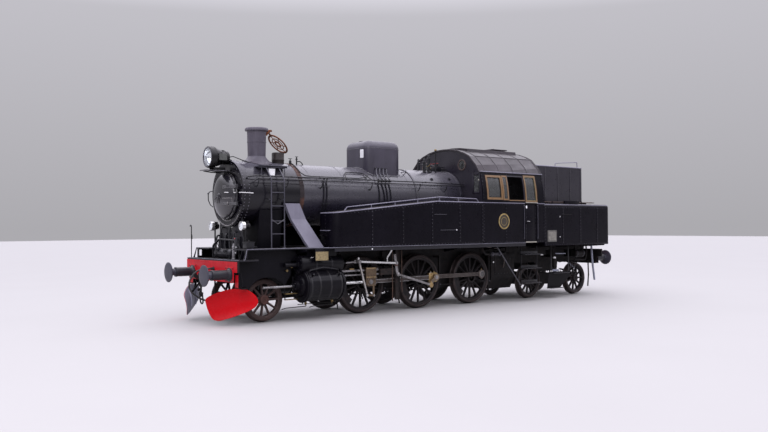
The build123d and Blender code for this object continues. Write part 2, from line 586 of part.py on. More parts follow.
def link_tail(side):
    """Lower end of the expansion link: an eccentric rod's length from its pin."""
    (px, pz), (qx, qz) = ECC_PIN[side], LINK_PIVOT
    d = math.hypot(qx - px, qz - pz)
    along = (ECC_ROD ** 2 - LINK_TAIL_R ** 2 + d ** 2) / (2 * d)
    up = math.sqrt(ECC_ROD ** 2 - along ** 2)
    ux, uz = (qx - px) / d, (qz - pz) / d
    return px + along * ux + up * uz, pz + along * uz - up * ux


def valve_gear(side):
    tx, tz = link_tail(side)
    ux, uz = (LINK_PIVOT[0] - tx) / LINK_TAIL_R, (LINK_PIVOT[1] - tz) / LINK_TAIL_R
    top = (LINK_PIVOT[0] + 235 * ux, LINK_PIVOT[1] + 235 * uz)
    g = flat_link(top, (tx, tz), 70, 1150, 1185) + cyl_y(*LINK_PIVOT, 45, 1135.5, 1185)
    g += cyl_y(tx, tz, 46, 1150, 1222) + flat_link((tx, tz), ECC_PIN[side], 48, 1192, 1222)
    g += cyl_y(*ECC_PIN[side], 62, 1188, 1230)
    block_at = (LINK_PIVOT[0] + 25 * ux, LINK_PIVOT[1] + 25 * uz)
    g += cyl_y(*block_at, 38, 1150, 1217) + flat_link(block_at, LEVER_PIN, 46, 1192, 1217)
    g += cyl_y(*LEVER_PIN, 42, 1192, 1217)
    return g


save("valve_gear", [valve_gear(1), mirror(valve_gear(-1), about=Plane.XZ)])
cranks = []                   # return crank, outside the main rod's big end
for side in (1, -1):
    c = flat_link(pin_place(X_DRIVERS[2], side), ECC_PIN[side], 84, 1094, 1132)
    c += cyl_y(*pin_place(X_DRIVERS[2], side), 84, 1090, 1134) + cyl_y(*ECC_PIN[side], 48, 1094, 1180)
    cranks.append(c if side == 1 else mirror(c, about=Plane.XZ))
save("return_cranks", cranks)


# crosshead: two cheeks with the pin between them, a slipper between the bars, piston rod
def crosshead(x):
    c = block(x - 130, x + 110, 961, 1012, 660, 850) + block(x - 130, x + 110, 1090, 1138, 660, 850)
    c += block(x - 150, x + 150, 961, 1010, 850, 1090) + block(x - 150, x + 150, 1090, 1138, 850, 1090)
    c += block(x - 150, x + 150, 1000, 1100, 950, 1005)
    c += block(x + 82, x + 150, 961, 1138, 690, 850)
    c += cyl_y(x, CYL_Z, 40, 961, 1138)
    c += cyl_x(CYL_Y, CYL_Z, 36, x + 100, x + 1180)
    # drop arm and union link of the valve gear
    c += block(x - 90, x - 40, 1120, 1142, 420, 700)
    c += flat_link((x - 65, 440), (x + 150, 458), 40, 1142, 1160)
    return c


save("crosshead_left", crosshead(CROSSHEAD_X))


def rod_end(x, z, r, hole, y0, y1):
    return cyl_y(x, z, r, y0, y1), cyl_y(x, z, hole, y0 - 5, y1 + 5)


def coupling_rod(side):
    y0, y1 = ROD_Y
    pins = [pin_place(x, 1 if side == 1 else -1) for x in X_DRIVERS.values()]
    z = pins[0][1]
    rod = prism_y([(pins[0][0], z + 46), (pins[1][0], z + 52), (pins[2][0], z + 46), (pins[2][0], z - 46),
                   (pins[1][0], z - 52), (pins[0][0], z - 46)], y0 + 8, y1 - 8)
    for px, pz in pins:
        rod += cyl_y(px, pz, 112, y0, y1)
    for px, pz in pins:
        rod -= cyl_y(px, pz, PIN_R + 0.6, y0 - 5, y1 + 5)
    return rod


save("coupling_rod_left", coupling_rod(1))
save("coupling_rod_right", mirror(coupling_rod(-1), about=Plane.XZ))


def main_rod(side):
    y0, y1 = MAIN_ROD_Y
    px, pz = pin_place(X_DRIVERS[2], side)
    # the crosshead stands where this side's crank puts it
    x = crosshead_x(side)
    rod = prism_y([(x, CYL_Z + 41), (x, CYL_Z - 41), (px, pz - 56), (px, pz + 56)], y0 + 8, y1 - 8)
    rod += cyl_y(px, pz, 118, y0, y1) + cyl_y(x, CYL_Z, 70, y0, y1)
    rod -= cyl_y(x, CYL_Z, 40.6, y0 - 5, y1 + 5)
    return rod


ROD_L = math.hypot(CROSSHEAD_X - pin_place(X_DRIVERS[2], 1)[0], CYL_Z - pin_place(X_DRIVERS[2], 1)[1])


def crosshead_x(side):
    px, pz = pin_place(X_DRIVERS[2], side)
    return px + math.sqrt(ROD_L ** 2 - (pz - CYL_Z) ** 2)


save("main_rod_left", main_rod(1))
save("main_rod_right", mirror(main_rod(-1), about=Plane.XZ))
save("crosshead_right", mirror(crosshead(crosshead_x(-1)), about=Plane.XZ))
print("rod length", round(ROD_L, 1), "crossheads", round(crosshead_x(1), 1), round(crosshead_x(-1), 1))


# combination lever, hung from the valve spindle's pin
LEVER_R = 813.0


def combination_lever(side):
    x_low = 2760.0 + (crosshead_x(side) - CROSSHEAD_X)
    z_low = LEVER_PIN[1] - math.sqrt(LEVER_R ** 2 - (x_low - LEVER_PIN[0]) ** 2)
    k = 75.0 / LEVER_R
    top = (LEVER_PIN[0] - k * (x_low - LEVER_PIN[0]), LEVER_PIN[1] - k * (z_low - LEVER_PIN[1]))
    lever = flat_link(top, (x_low, z_low), 46, 1163, 1187)
    lever += cyl_y(*LEVER_PIN, 40, 1163, 1187) + cyl_y(x_low, z_low, 34, 1163, 1187) + cyl_y(*top, 30, 1163, 1187)
    return lever


save("combination_lever_left", combination_lever(1))
save("combination_lever_right", mirror(combination_lever(-1), about=Plane.XZ))

# ---------------------------------------------------------------- leading truck and bogie
pony = block(X_LEADING - 150, X_LEADING + 150, 430, 500, 380, 640)
pony += mirror(pony, about=Plane.XZ)
pony += block(X_LEADING + 150, X_LEADING + 190, -500, 500, 380, 600) + block(X_LEADING - 190, X_LEADING - 150, -500, 500, 380, 600)
for s in (1, -1):
    pony += prism_z([(X_LEADING - 160, s * 500), (X_LEADING - 160, s * 420), (X_PONY + 80, s * 40), (X_PONY + 30, s * 120)], 440, 500)
pony += cyl_z(X_PONY + 60, 0, 140, 440, 515)
pony -= cyl_z(X_PONY + 60, 0, 61, 400, 700)
pony += block(X_LEADING - 60, X_LEADING + 60, -440, 440, 600, 700)
pony -= cyl_y(X_LEADING, Z_SMALL, 76.5, -700, 700)
save("pony_truck", pony)

bog = prism_y([(-2900, 560), (-2900, 400), (-3600, 330), (-4950, 330), (-5650, 400), (-5650, 560), (-4950, 660), (-3600, 660)], 430, 470)
bog += mirror(bog, about=Plane.XZ)
bog += block(X_BOGIE - 160, X_BOGIE + 160, -430, 430, 380, 620)
bog += block(-2920, -2880, -470, 470, 420, 540) + block(-5670, -5630, -470, 470, 420, 540)
for x in X_TRAILING.values():
    bog += both(block(x - 120, x + 120, 420, 520, 370, 600))[0] + both(block(x - 120, x + 120, 420, 520, 370, 600))[1]
    bog -= cyl_y(x, Z_SMALL, 76.5, -700, 700)
bog += cyl_z(X_BOGIE, 0, 190, 600, 690)
bog -= cyl_z(X_BOGIE, 0, 111, 300, 1200)
save("bogie_frame", bog)

# ---------------------------------------------------------------- brakes
shoes = []
for n, x in X_DRIVERS.items():
    a = cyl_y(x, Z_DRIVER, R_DRIVER + 70, 730, 800) - cyl_y(x, Z_DRIVER, R_DRIVER + 12, 600, 900)
    lump = a & block(x - R_DRIVER - 80, x - R_DRIVER + 40, 700, 820, Z_DRIVER - 220, Z_DRIVER + 160)
    lump += flat_link((x - R_DRIVER - 55, 560), (x - R_DRIVER - 60, 1290), 44, 740, 790)
    lump += block(x - R_DRIVER - 85, x - R_DRIVER - 35, 570, 790, 1240, 1290)
    shoes += both(lump)
save("brake_gear", shoes)

# ---------------------------------------------------------------- steps and ladders
def cab_step():
    hangers = [block(-2360, -2346, 1296, 1320, 410, 1555.5), block(-3000, -2980, 1296, 1320, 478, 1482.5)]
    treads = [block(-3010, -2320, 1320, 1490, 1255, 1275), block(-3010, -2320, 1320, 1490, 878, 896),
              block(-2990, -2340, 1320, 1490, 478, 498)]
    brace = rod_between((-2318, 1308, 450), (-1385, 1308, 1538), 16)
    # the lower pair under the rear tank, with the plate that carries them
    plate = prism_y([(-3690, 735), (-4640, 735), (-4560, 560), (-4160, 270), (-3600, 270), (-3640, 560)], 1150, 1164)
    rear = [plate, block(-3690, -4410, 1164.5, 1330, 690, 706), block(-3600, -4160, 1164.5, 1330, 276, 290)]
    rear += [block(x, x + 40, 1150, 1164, 735.5, 1482.5) for x in (-3800, -4560)]
    return hangers + treads + [brace] + rear


def smokebox_ladder():
    rails = []
    for x in (5090.0, 4766.0):
        low, bend, top = (x, 850, 1585), (x, 850, 3050), (x - 10, 600, 3350)
        r = rod_between(low, bend, 15) + rod_between(bend, top, 15) + Pos(*bend) * Sphere(15)
        rails.append(r)
    rungs = []
    for z in (1890, 2170, 2496, 2789, 3030):
        rungs.append(cyl_x(850, z, 11, 4766, 5090) - rails[0] - rails[1])
    return rails + rungs


save("steps_and_ladders", [x for piece in cab_step() + smokebox_ladder() for x in both(piece)])

# ---------------------------------------------------------------- lamps
lamp = cyl_x(0, 3560, 235, 6020, 6180)
lamp += Pos(5860, 0, 3560) * Rot(0, 90, 0) * Cone(150, 215, 320, align=(Align.CENTER, Align.CENTER, Align.CENTER))
lamp += block(5801, 6010, -215, 215, 3500, 3640)
lamp += block(5701, 6290, -150, 150, 3262, 3280) + block(5790, 6120, -110, 110, 3270, 3400)
lamps = [lamp]
for s in (1, -1):
    m = cyl_x(s * 720, 2068, 105, 5660, 5760) + cyl_x(s * 720, 2068, 70, 5560, 5700)
    m += block(5620, 5660, s * 700, s * 740, 1583, 2000)
    lamps.append(m)
save("front_lamps", lamps)

# ---------------------------------------------------------------- doors and lids
dx0 = SMOKEBOX_X[1] + 3
rim_line = Polyline((dx0 + 78, 0, DOOR_Z + DOOR_R - 28), (dx0 + 40, 0, DOOR_Z + DOOR_R - 20), (dx0 + 40, 0, DOOR_Z + DOOR_R),
                    (dx0, 0, DOOR_Z + DOOR_R), (dx0, 0, DOOR_Z), (dx0 + 200, 0, DOOR_Z))
crown = ThreePointArc((dx0 + 200, 0, DOOR_Z), (dx0 + 172, 0, DOOR_Z + 230), (dx0 + 78, 0, DOOR_Z + DOOR_R - 28))
dish = revolve(make_face([rim_line, crown]), axis=Axis((0, 0, DOOR_Z), (1, 0, 0)))
dish += cyl_x(0, DOOR_Z, 42, SMOKEBOX_X[1] + 170, SMOKEBOX_X[1] + 240)
DOOR_HINGE = (SMOKEBOX_X[1] + 60.0, 575.0, DOOR_Z)
for z in (-180, 180):
    dish += block(SMOKEBOX_X[1] + 45, SMOKEBOX_X[1] + 75, 300, 560, DOOR_Z + z - 30, DOOR_Z + z + 30)
    dish += cyl_z(DOOR_HINGE[0], DOOR_HINGE[1], 24, DOOR_Z + z - 30, DOOR_Z + z + 30)
save("smokebox_door", dish)

# chimney lid, folded back 225 degrees about its hinge behind the lip
lid_flat = cyl_z(CHIMNEY_X, 0, 282, CHIMNEY_TOP + 8, CHIMNEY_TOP + 26) - cyl_z(CHIMNEY_X, 0, 235, 4300, 4400)
lid_flat += cyl_z(CHIMNEY_X, 0, 95, CHIMNEY_TOP + 8, CHIMNEY_TOP + 26) - cyl_z(CHIMNEY_X, 0, 55, 4300, 4400)
for i in range(6):
    bar = Pos(CHIMNEY_X, 0, CHIMNEY_TOP + 17) * Rot(0, 0, i * 60) * Pos(160, 0, 0) * Box(170, 34, 14)
    lid_flat += bar
lid_flat += block(LID_HINGE[0] - 12, CHIMNEY_X - 250, -30, 30, CHIMNEY_TOP + 10, CHIMNEY_TOP + 26)
lid_flat += block(LID_HINGE[0] - 14, LID_HINGE[0] + 14, -30, 30, LID_HINGE[2], CHIMNEY_TOP + 26)
lid_flat += cyl_y(LID_HINGE[0], LID_HINGE[2], 16, -30, 30)
lid_flat += cyl_y(LID_HINGE[0], LID_HINGE[2], 8.4, -64, 64)
LID = Pos(*LID_HINGE) * Rot(0, -225, 0) * Pos(-LID_HINGE[0], 0, -LID_HINGE[2])
save("chimney_lid", LID * lid_flat)


def cab_door():
    d = block(DOOR[0] + 8, DOOR[1] - 6, 1466, 1496, DOOR[2], DOOR[3] - 6)
    d += cyl_z(DOOR[0] + 14, 1462, 13, 1700, 1800) + cyl_z(DOOR[0] + 14, 1462, 13, 2400, 2500)
    return d


save("cab_door_left", cab_door())
save("cab_door_right", mirror(cab_door(), about=Plane.XZ))

lid = cyl_z(FILLER_X, FILLER_Y, 180, 2693, 2711) + block(FILLER_X - 215, FILLER_X - 150, FILLER_Y - 40, FILLER_Y + 40, 2693, 2711)
lid += cyl_y(FILLER_X - 205, 2688, 16, FILLER_Y - 40, FILLER_Y + 40)
save("filler_lid_left", lid)
save("filler_lid_right", mirror(lid, about=Plane.XZ))
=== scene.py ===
import bpy, bmesh, math, random
from mathutils import Vector, Matrix


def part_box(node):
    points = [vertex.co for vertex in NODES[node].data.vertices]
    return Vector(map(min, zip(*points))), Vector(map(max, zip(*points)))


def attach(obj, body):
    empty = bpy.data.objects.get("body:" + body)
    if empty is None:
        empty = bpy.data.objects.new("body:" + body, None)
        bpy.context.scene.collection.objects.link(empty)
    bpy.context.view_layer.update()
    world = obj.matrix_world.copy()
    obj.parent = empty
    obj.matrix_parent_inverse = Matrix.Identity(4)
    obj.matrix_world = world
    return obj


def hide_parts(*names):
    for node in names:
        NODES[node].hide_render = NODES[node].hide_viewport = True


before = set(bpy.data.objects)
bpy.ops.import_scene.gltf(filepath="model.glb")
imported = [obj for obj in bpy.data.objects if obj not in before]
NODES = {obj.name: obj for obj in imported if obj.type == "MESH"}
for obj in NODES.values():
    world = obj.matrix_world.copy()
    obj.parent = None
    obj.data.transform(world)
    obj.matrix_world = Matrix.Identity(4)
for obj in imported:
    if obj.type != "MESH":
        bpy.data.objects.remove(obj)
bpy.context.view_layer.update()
random.seed(11)
PI = math.pi

# ------------------------------------------------------------------ camera
YAW, PITCH, ROLL = map(math.radians, (38.471, 0.773, -0.327))
CAM_AT = (13.679, 15.554, 2.038)
FOCAL_PX = 782.707                      # in a picture 768 wide


def make_camera():
    cy, sy, cp, sp, cr, sr = (math.cos(YAW), math.sin(YAW), math.cos(PITCH), math.sin(PITCH), math.cos(ROLL), math.sin(ROLL))
    fwd, right, up = Vector((-sy, -cy, 0)), Vector((-cy, sy, 0)), Vector((0, 0, 1))
    f = fwd * cp + up * sp
    u = up * cp - fwd * sp
    r, u = right * cr + u * sr, u * cr - right * sr
    cam = bpy.data.objects.new("camera", bpy.data.cameras.new("camera"))
    cam.data.sensor_width = 36.0
    cam.data.lens = FOCAL_PX / 768 * 36.0
    cam.data.clip_end = 400
    bpy.context.scene.collection.objects.link(cam)
    cam.matrix_world = Matrix(((r.x, u.x, -f.x, CAM_AT[0]), (r.y, u.y, -f.y, CAM_AT[1]), (r.z, u.z, -f.z, CAM_AT[2]), (0, 0, 0, 1)))
    bpy.context.scene.camera = cam


make_camera()


# ------------------------------------------------------------------ materials
class Mat:
    """A node material under construction, in object coordinates."""

    def __init__(self, name):
        self.m = bpy.data.materials.new(name)
        self.m.use_nodes = True
        self.nt = self.m.node_tree
        self.nt.nodes.clear()
        self.out = self.nt.nodes.new("ShaderNodeOutputMaterial")
        self.b = self.nt.nodes.new("ShaderNodeBsdfPrincipled")
        self.nt.links.new(self.b.outputs[0], self.out.inputs[0])
        self.co = self.nt.nodes.new("ShaderNodeTexCoord").outputs["Object"]

    def link(self, a, b):
        self.nt.links.new(a, b)

    def scaled(self, sx, sy, sz):
        n = self.nt.nodes.new("ShaderNodeMapping")
        n.inputs["Scale"].default_value = (sx, sy, sz)
        self.link(self.co, n.inputs["Vector"])
        return n.outputs[0]

    def noise(self, scale, detail=4.0, rough=0.55, vec=None, distortion=0.0):
        n = self.nt.nodes.new("ShaderNodeTexNoise")
        n.inputs["Scale"].default_value = scale
        n.inputs["Detail"].default_value = detail
        n.inputs["Roughness"].default_value = rough
        n.inputs["Distortion"].default_value = distortion
        self.link(vec or self.co, n.inputs["Vector"])
        return n.outputs["Fac"]

    def voronoi(self, scale, vec=None, feature="F1"):
        n = self.nt.nodes.new("ShaderNodeTexVoronoi")
        n.feature = feature
        n.inputs["Scale"].default_value = scale
        self.link(vec or self.co, n.inputs["Vector"])
        return n.outputs["Distance"]

    def ramp(self, fac, stops):
        n = self.nt.nodes.new("ShaderNodeValToRGB")
        el = n.color_ramp.elements
        while len(el) < len(stops):
            el.new(0.5)
        for e, (p, c) in zip(el, stops):
            e.position = p
            e.color = (*c, 1.0) if len(c) == 3 else c
        self.link(fac, n.inputs["Fac"])
        return n.outputs["Color"]

    def rng(self, fac, a, b, c, d):
        n = self.nt.nodes.new("ShaderNodeMapRange")
        for k, v in zip(("From Min", "From Max", "To Min", "To Max"), (a, b, c, d)):
            n.inputs[k].default_value = v
        self.link(fac, n.inputs["Value"])
        return n.outputs["Result"]

    def math(self, op, a, b):
        n = self.nt.nodes.new("ShaderNodeMath")
        n.operation = op
        for i, v in enumerate((a, b)):
            if isinstance(v, (int, float)):
                n.inputs[i].default_value = v
            else:
                self.link(v, n.inputs[i])
        return n.outputs[0]

    def axis(self, which):
        n = self.nt.nodes.new("ShaderNodeSeparateXYZ")
        self.link(self.co, n.inputs[0])
        return n.outputs[which]

    def normal_z(self):
        g = self.nt.nodes.new("ShaderNodeNewGeometry")
        n = self.nt.nodes.new("ShaderNodeSeparateXYZ")
        self.link(g.outputs["Normal"], n.inputs[0])
        return n.outputs["Z"]

    def mix(self, fac, a, b):
        n = self.nt.nodes.new("ShaderNodeMix")
        n.data_type = "RGBA"
        n.clamp_factor = True
        if isinstance(fac, (int, float)):
            n.inputs[0].default_value = fac
        else:
            self.link(fac, n.inputs[0])
        for i, v in ((6, a), (7, b)):
            if isinstance(v, tuple):
                n.inputs[i].default_value = (*v, 1.0)
            else:
                self.link(v, n.inputs[i])
        return n.outputs[2]

    def bump(self, height, strength=0.2, distance=0.002, prev=None):
        n = self.nt.nodes.new("ShaderNodeBump")
        n.inputs["Strength"].default_value = strength
        n.inputs["Distance"].default_value = distance
        self.link(height, n.inputs["Height"])
        if prev is not None:
            self.link(prev, n.inputs["Normal"])
        return n.outputs[0]

    def set(self, **k):
        names = {"color": "Base Color", "rough": "Roughness", "metal": "Metallic", "normal": "Normal", "coat": "Coat Weight",
                 "coat_rough": "Coat Roughness", "spec": "Specular IOR Level", "trans": "Transmission Weight", "ior": "IOR",
                 "alpha": "Alpha"}
        for key, v in k.items():
            s = self.b.inputs[names[key]]
            if isinstance(v, (int, float)):
                s.default_value = v
            elif isinstance(v, tuple):
                s.default_value = (*v, 1.0)
            else:
                self.link(v, s)
        return self


def paint(name, base, alt, dust=(0.055, 0.045, 0.038), rough=(0.28, 0.50), dust_top=1.2, dust_amount=0.30, streaks=0.15,
          orange=0.08, spec=0.30, coat=0.0, waves=0.25, top_dust_and_sheen=None, painted_top_sheen=None, painted_top_sheen_amount=0.6):
    """Old brushed paint on plate: mottled colour, rain streaks, dust that thins out with height, dust and a painted
    sheen on upward faces, slight waviness.
    """
    m = Mat(name)
    big = m.noise(1.3, 5.0, 0.6)
    fine = m.noise(28.0, 6.0, 0.65)
    colour = m.mix(m.rng(big, 0.35, 0.68, 0.0, 1.0), base, alt)
    # rain streaks run down the sheets
    run = m.noise(1.0, 5.0, 0.6, m.scaled(14.0, 14.0, 0.9))
    colour = m.mix(m.math("MULTIPLY", m.rng(run, 0.52, 0.78, 0.0, streaks), 1.0), colour, tuple(min(1, c * 2.6 + 0.012) for c in base))
    # blown dust, thick low down
    low = m.rng(m.axis("Z"), 0.15, dust_top, dust_amount, 0.0)
    patch = m.rng(m.noise(5.0, 6.0, 0.7), 0.3, 0.72, 0.35, 1.0)
    dusty = m.math("MULTIPLY", low, patch)
    colour = m.mix(dusty, colour, dust)
    # soot and dust that lies on what faces up, and with it a painted sheen that lightens upward faces
    top = m.math("MULTIPLY", m.rng(m.normal_z(), 0.55, 1.0, 0.0, 0.5), m.rng(fine, 0.3, 0.7, 0.3, 1.0))
    colour = m.mix(top, colour, top_dust_and_sheen or tuple(c * 0.75 + 0.03 for c in dust))
    if painted_top_sheen:
        # painted sheen: a pale colour that grows as the surface turns upward, standing in for the sky's reflection
        colour = m.mix(m.rng(m.normal_z(), 0.30, 0.95, 0.0, painted_top_sheen_amount), colour, painted_top_sheen)
    speck = m.rng(m.noise(130.0, 2.0, 0.5), 0.66, 0.74, 0.0, 0.12 if painted_top_sheen else 0.25)
    colour = m.mix(speck, colour, tuple(c * 0.8 + 0.03 for c in dust))
    r = m.rng(m.noise(6.0, 6.0, 0.7), 0.3, 0.72, rough[0], rough[1])
    r = m.math("ADD", r, m.math("MULTIPLY", dusty, 0.35))
    n = m.bump(m.noise(2.6, 2.0, 0.5), waves, 0.012)
    n = m.bump(m.noise(240.0, 2.0, 0.5), orange, 0.0006, n)
    m.set(color=colour, rough=r, normal=n, spec=spec, coat=coat, coat_rough=0.12)
    return m.m


def iron(name, base, alt, rust=(0.16, 0.07, 0.035), rust_amount=0.35, rough=(0.5, 0.8), metal=0.0, bump=0.5):
    """Rough cast or forged iron with oil, dust and patches of rust."""
    m = Mat(name)
    colour = m.mix(m.rng(m.noise(4.0, 6.0, 0.65), 0.35, 0.7, 0.0, 1.0), base, alt)
    colour = m.mix(m.rng(m.noise(11.0, 8.0, 0.7, distortion=0.4), 0.5, 0.75, 0.0, rust_amount), colour, rust)
    colour = m.mix(m.rng(m.noise(60.0, 3.0, 0.6), 0.6, 0.8, 0.0, 0.4), colour, tuple(c * 0.6 + 0.05 for c in rust))
    r = m.rng(m.noise(7.0, 6.0, 0.7), 0.3, 0.7, *rough)
    n = m.bump(m.noise(70.0, 5.0, 0.65), bump, 0.002)
    m.set(color=colour, rough=r, normal=n, metal=metal, spec=0.2)
    return m.m


def steel(name, base, dark, rough=(0.22, 0.5), oil=0.5, rust=0.1):
    """Bright machined rods: grain, oil film and dirt."""
    m = Mat(name)
    grain = m.noise(1.0, 4.0, 0.6, m.scaled(6.0, 40.0, 90.0))
    colour = m.mix(m.rng(grain, 0.35, 0.7, 0.0, 0.6), base, tuple(c * 0.7 for c in base))
    film = m.rng(m.noise(5.0, 7.0, 0.7, distortion=0.6), 0.42, 0.66, 0.0, oil)
    colour = m.mix(film, colour, dark)
    colour = m.mix(m.rng(m.noise(16.0, 6.0, 0.7), 0.6, 0.8, 0.0, rust), colour, (0.18, 0.085, 0.04))
    r = m.rng(m.noise(9.0, 5.0, 0.7), 0.3, 0.7, *rough)
    n = m.bump(grain, 0.15, 0.0008)
    m.set(color=colour, rough=r, metal=0.85, normal=n)
    return m.m


MAT = {}
MAT["black"] = paint("black paint", (0.0075, 0.0060, 0.0115), (0.0150, 0.0128, 0.0200), rough=(0.24, 0.40), spec=0.45)
MAT["tank"] = paint("tank paint", (0.0015, 0.0010, 0.0030), (0.0032, 0.0025, 0.0054), rough=(0.24, 0.38), dust_top=1.9, dust_amount=0.02, spec=0.10, streaks=0.08, orange=0.03)
# cladding and smokebox get a pale painted sheen on their upward faces
MAT["cladding"] = paint("boiler cladding paint", (0.0140, 0.0125, 0.0215), (0.0220, 0.0200, 0.0315), rough=(0.24, 0.34), streaks=0.12, spec=0.88, orange=0.008, waves=0.12, painted_top_sheen=(0.092, 0.088, 0.106), painted_top_sheen_amount=0.50)
# the smokebox's up-facing colour is lighter than its paint, partly a painted highlight
MAT["smokebox"] = paint("smokebox paint", (0.0020, 0.0016, 0.0038), (0.0058, 0.0048, 0.0085), rough=(0.18, 0.28), spec=0.36, orange=0.02, waves=0.15, streaks=0.08, painted_top_sheen=(0.098, 0.094, 0.116), top_dust_and_sheen=(0.045, 0.043, 0.050))
MAT["roof"] = paint("roof paint", (0.021, 0.0165, 0.021), (0.036, 0.029, 0.035), rough=(0.34, 0.50), streaks=0.4, spec=0.32)
MAT["grey"] = paint("grey paint", (0.120, 0.115, 0.150), (0.165, 0.158, 0.200), rough=(0.40, 0.60), dust=(0.10, 0.09, 0.09))
MAT["beam_red"] = paint("beam red", (0.46, 0.004, 0.013), (0.34, 0.004, 0.010), rough=(0.30, 0.5), dust_top=1.1, dust_amount=0.15, top_dust_and_sheen=(0.2, 0.04, 0.04), spec=0.2)
MAT["plough_red"] = paint("plough red", (0.46, 0.0006, 0.005), (0.38, 0.0006, 0.004), rough=(0.20, 0.32), dust_top=0.4, dust_amount=0.04,
                          streaks=0.0, coat=0.0, waves=0.05, top_dust_and_sheen=(0.45, 0.01, 0.02), spec=0.16)
MAT["buffer"] = paint("buffer head paint", (0.034, 0.034, 0.048), (0.052, 0.052, 0.070), rough=(0.35, 0.55), dust_amount=0.2)
MAT["frame"] = iron("frame iron", (0.0038, 0.0034, 0.0042), (0.0095, 0.0082, 0.0088), rust=(0.05, 0.025, 0.016), rust_amount=0.25)
MAT["wheel"] = iron("wheel paint", (0.0060, 0.0050, 0.0065), (0.016, 0.013, 0.014), rust=(0.06, 0.038, 0.030), rust_amount=0.4, rough=(0.35, 0.6), bump=0.25)
MAT["rust_wheel"] = iron("dusty brown wheel", (0.034, 0.022, 0.021), (0.060, 0.040, 0.037), rust=(0.11, 0.050, 0.036), rust_amount=0.45)
MAT["rust"] = iron("rusty iron", (0.10, 0.035, 0.018), (0.17, 0.06, 0.028), rust=(0.3, 0.10, 0.04), rust_amount=0.7, rough=(0.7, 0.95))
MAT["tyre"] = iron("tyre steel", (0.024, 0.0185, 0.019), (0.048, 0.037, 0.036), rust=(0.055, 0.032, 0.027), rust_amount=0.35, rough=(0.35, 0.55), metal=0.3, bump=0.15)
MAT["steel"] = steel("rod steel", (0.34, 0.33, 0.335), (0.045, 0.036, 0.033), rough=(0.25, 0.5), oil=0.75, rust=0.25)
MAT["bright"] = steel("bright steel", (0.70, 0.70, 0.70), (0.18, 0.16, 0.15), rough=(0.15, 0.35), oil=0.4)
MAT["brass"] = steel("tarnished brass", (0.40, 0.28, 0.13), (0.09, 0.06, 0.035), rough=(0.3, 0.55), oil=0.6, rust=0.3)


def simple(name, a, b, rough, scale=8.0, metal=0.0, bump=0.1, bscale=60.0, coat=0.0, trans=0.0):
    m = Mat(name)
    colour = m.mix(m.rng(m.noise(scale, 5.0, 0.6), 0.35, 0.68, 0.0, 1.0), a, b)
    m.set(color=colour, rough=m.rng(m.noise(scale * 1.7, 4.0, 0.6), 0.3, 0.7, *rough), metal=metal,
          normal=m.bump(m.noise(bscale, 3.0, 0.6), bump, 0.001), coat=coat, trans=trans)
    return m.m


def wood(name, a, b, coat=0.3):
    m = Mat(name)
    rings = m.noise(1.0, 6.0, 0.6, m.scaled(70.0, 70.0, 5.0), 1.2)
    m.set(color=m.mix(m.rng(rings, 0.35, 0.7, 0.0, 1.0), a, b), rough=m.rng(rings, 0.3, 0.7, 0.3, 0.5),
          normal=m.bump(rings, 0.2, 0.001), coat=coat, coat_rough=0.2)
    return m.m


MAT["wood"] = wood("varnished wood", (0.190, 0.104, 0.037), (0.095, 0.048, 0.017))
MAT["planks"] = wood("floor planks", (0.13, 0.085, 0.05), (0.075, 0.05, 0.032), 0.0)
MAT["rubber"] = simple("rubber", (0.014, 0.014, 0.015), (0.026, 0.025, 0.024), (0.55, 0.8))
MAT["enamel"] = simple("white enamel", (0.80, 0.80, 0.82), (0.68, 0.68, 0.70), (0.25, 0.5), 5.0)
MAT["pale"] = simple("pale plate", (0.34, 0.32, 0.29), (0.22, 0.20, 0.18), (0.4, 0.7), 12.0)
MAT["brass_plate"] = simple("worn brass plate", (0.42, 0.32, 0.14), (0.24, 0.17, 0.07), (0.35, 0.55), 14.0, metal=0.7)
MAT["reflector"] = simple("lamp reflector", (0.90, 0.91, 0.93), (0.80, 0.81, 0.83), (0.12, 0.25), 6.0, metal=1.0, bump=0.02)
MAT["cab_inside"] = simple("cab inside paint", (0.10, 0.105, 0.085), (0.065, 0.07, 0.055), (0.5, 0.7), 4.0)
MAT["glass"] = simple("window glass", (0.78, 0.82, 0.82), (0.74, 0.78, 0.78), (0.02, 0.05), 3.0, bump=0.0, trans=1.0)
MAT["dark_glass"] = simple("smoky glass", (0.05, 0.055, 0.06), (0.07, 0.075, 0.08), (0.04, 0.1), 3.0, bump=0.0)
MAT["lens"] = simple("lamp lens", (0.80, 0.84, 0.88), (0.72, 0.76, 0.80), (0.05, 0.12), 7.0, metal=0.0, bump=0.02, coat=1.0)
MAT["red_glass"] = simple("red lamp glass", (0.45, 0.01, 0.01), (0.3, 0.01, 0.01), (0.06, 0.14), 7.0, bump=0.0, coat=1.0)


# ------------------------------------------------------------------ mesh maker
def unit(v):
    v = Vector(v)
    return v.normalized() if v.length > 1e-12 else Vector((0, 0, 1))


def basis(axis):
    """Two unit vectors square to axis."""
    a = unit(axis)
    t = Vector((0, 0, 1)) if abs(a.z) < 0.9 else Vector((1, 0, 0))
    u = t.cross(a).normalized()
    return u, a.cross(u)


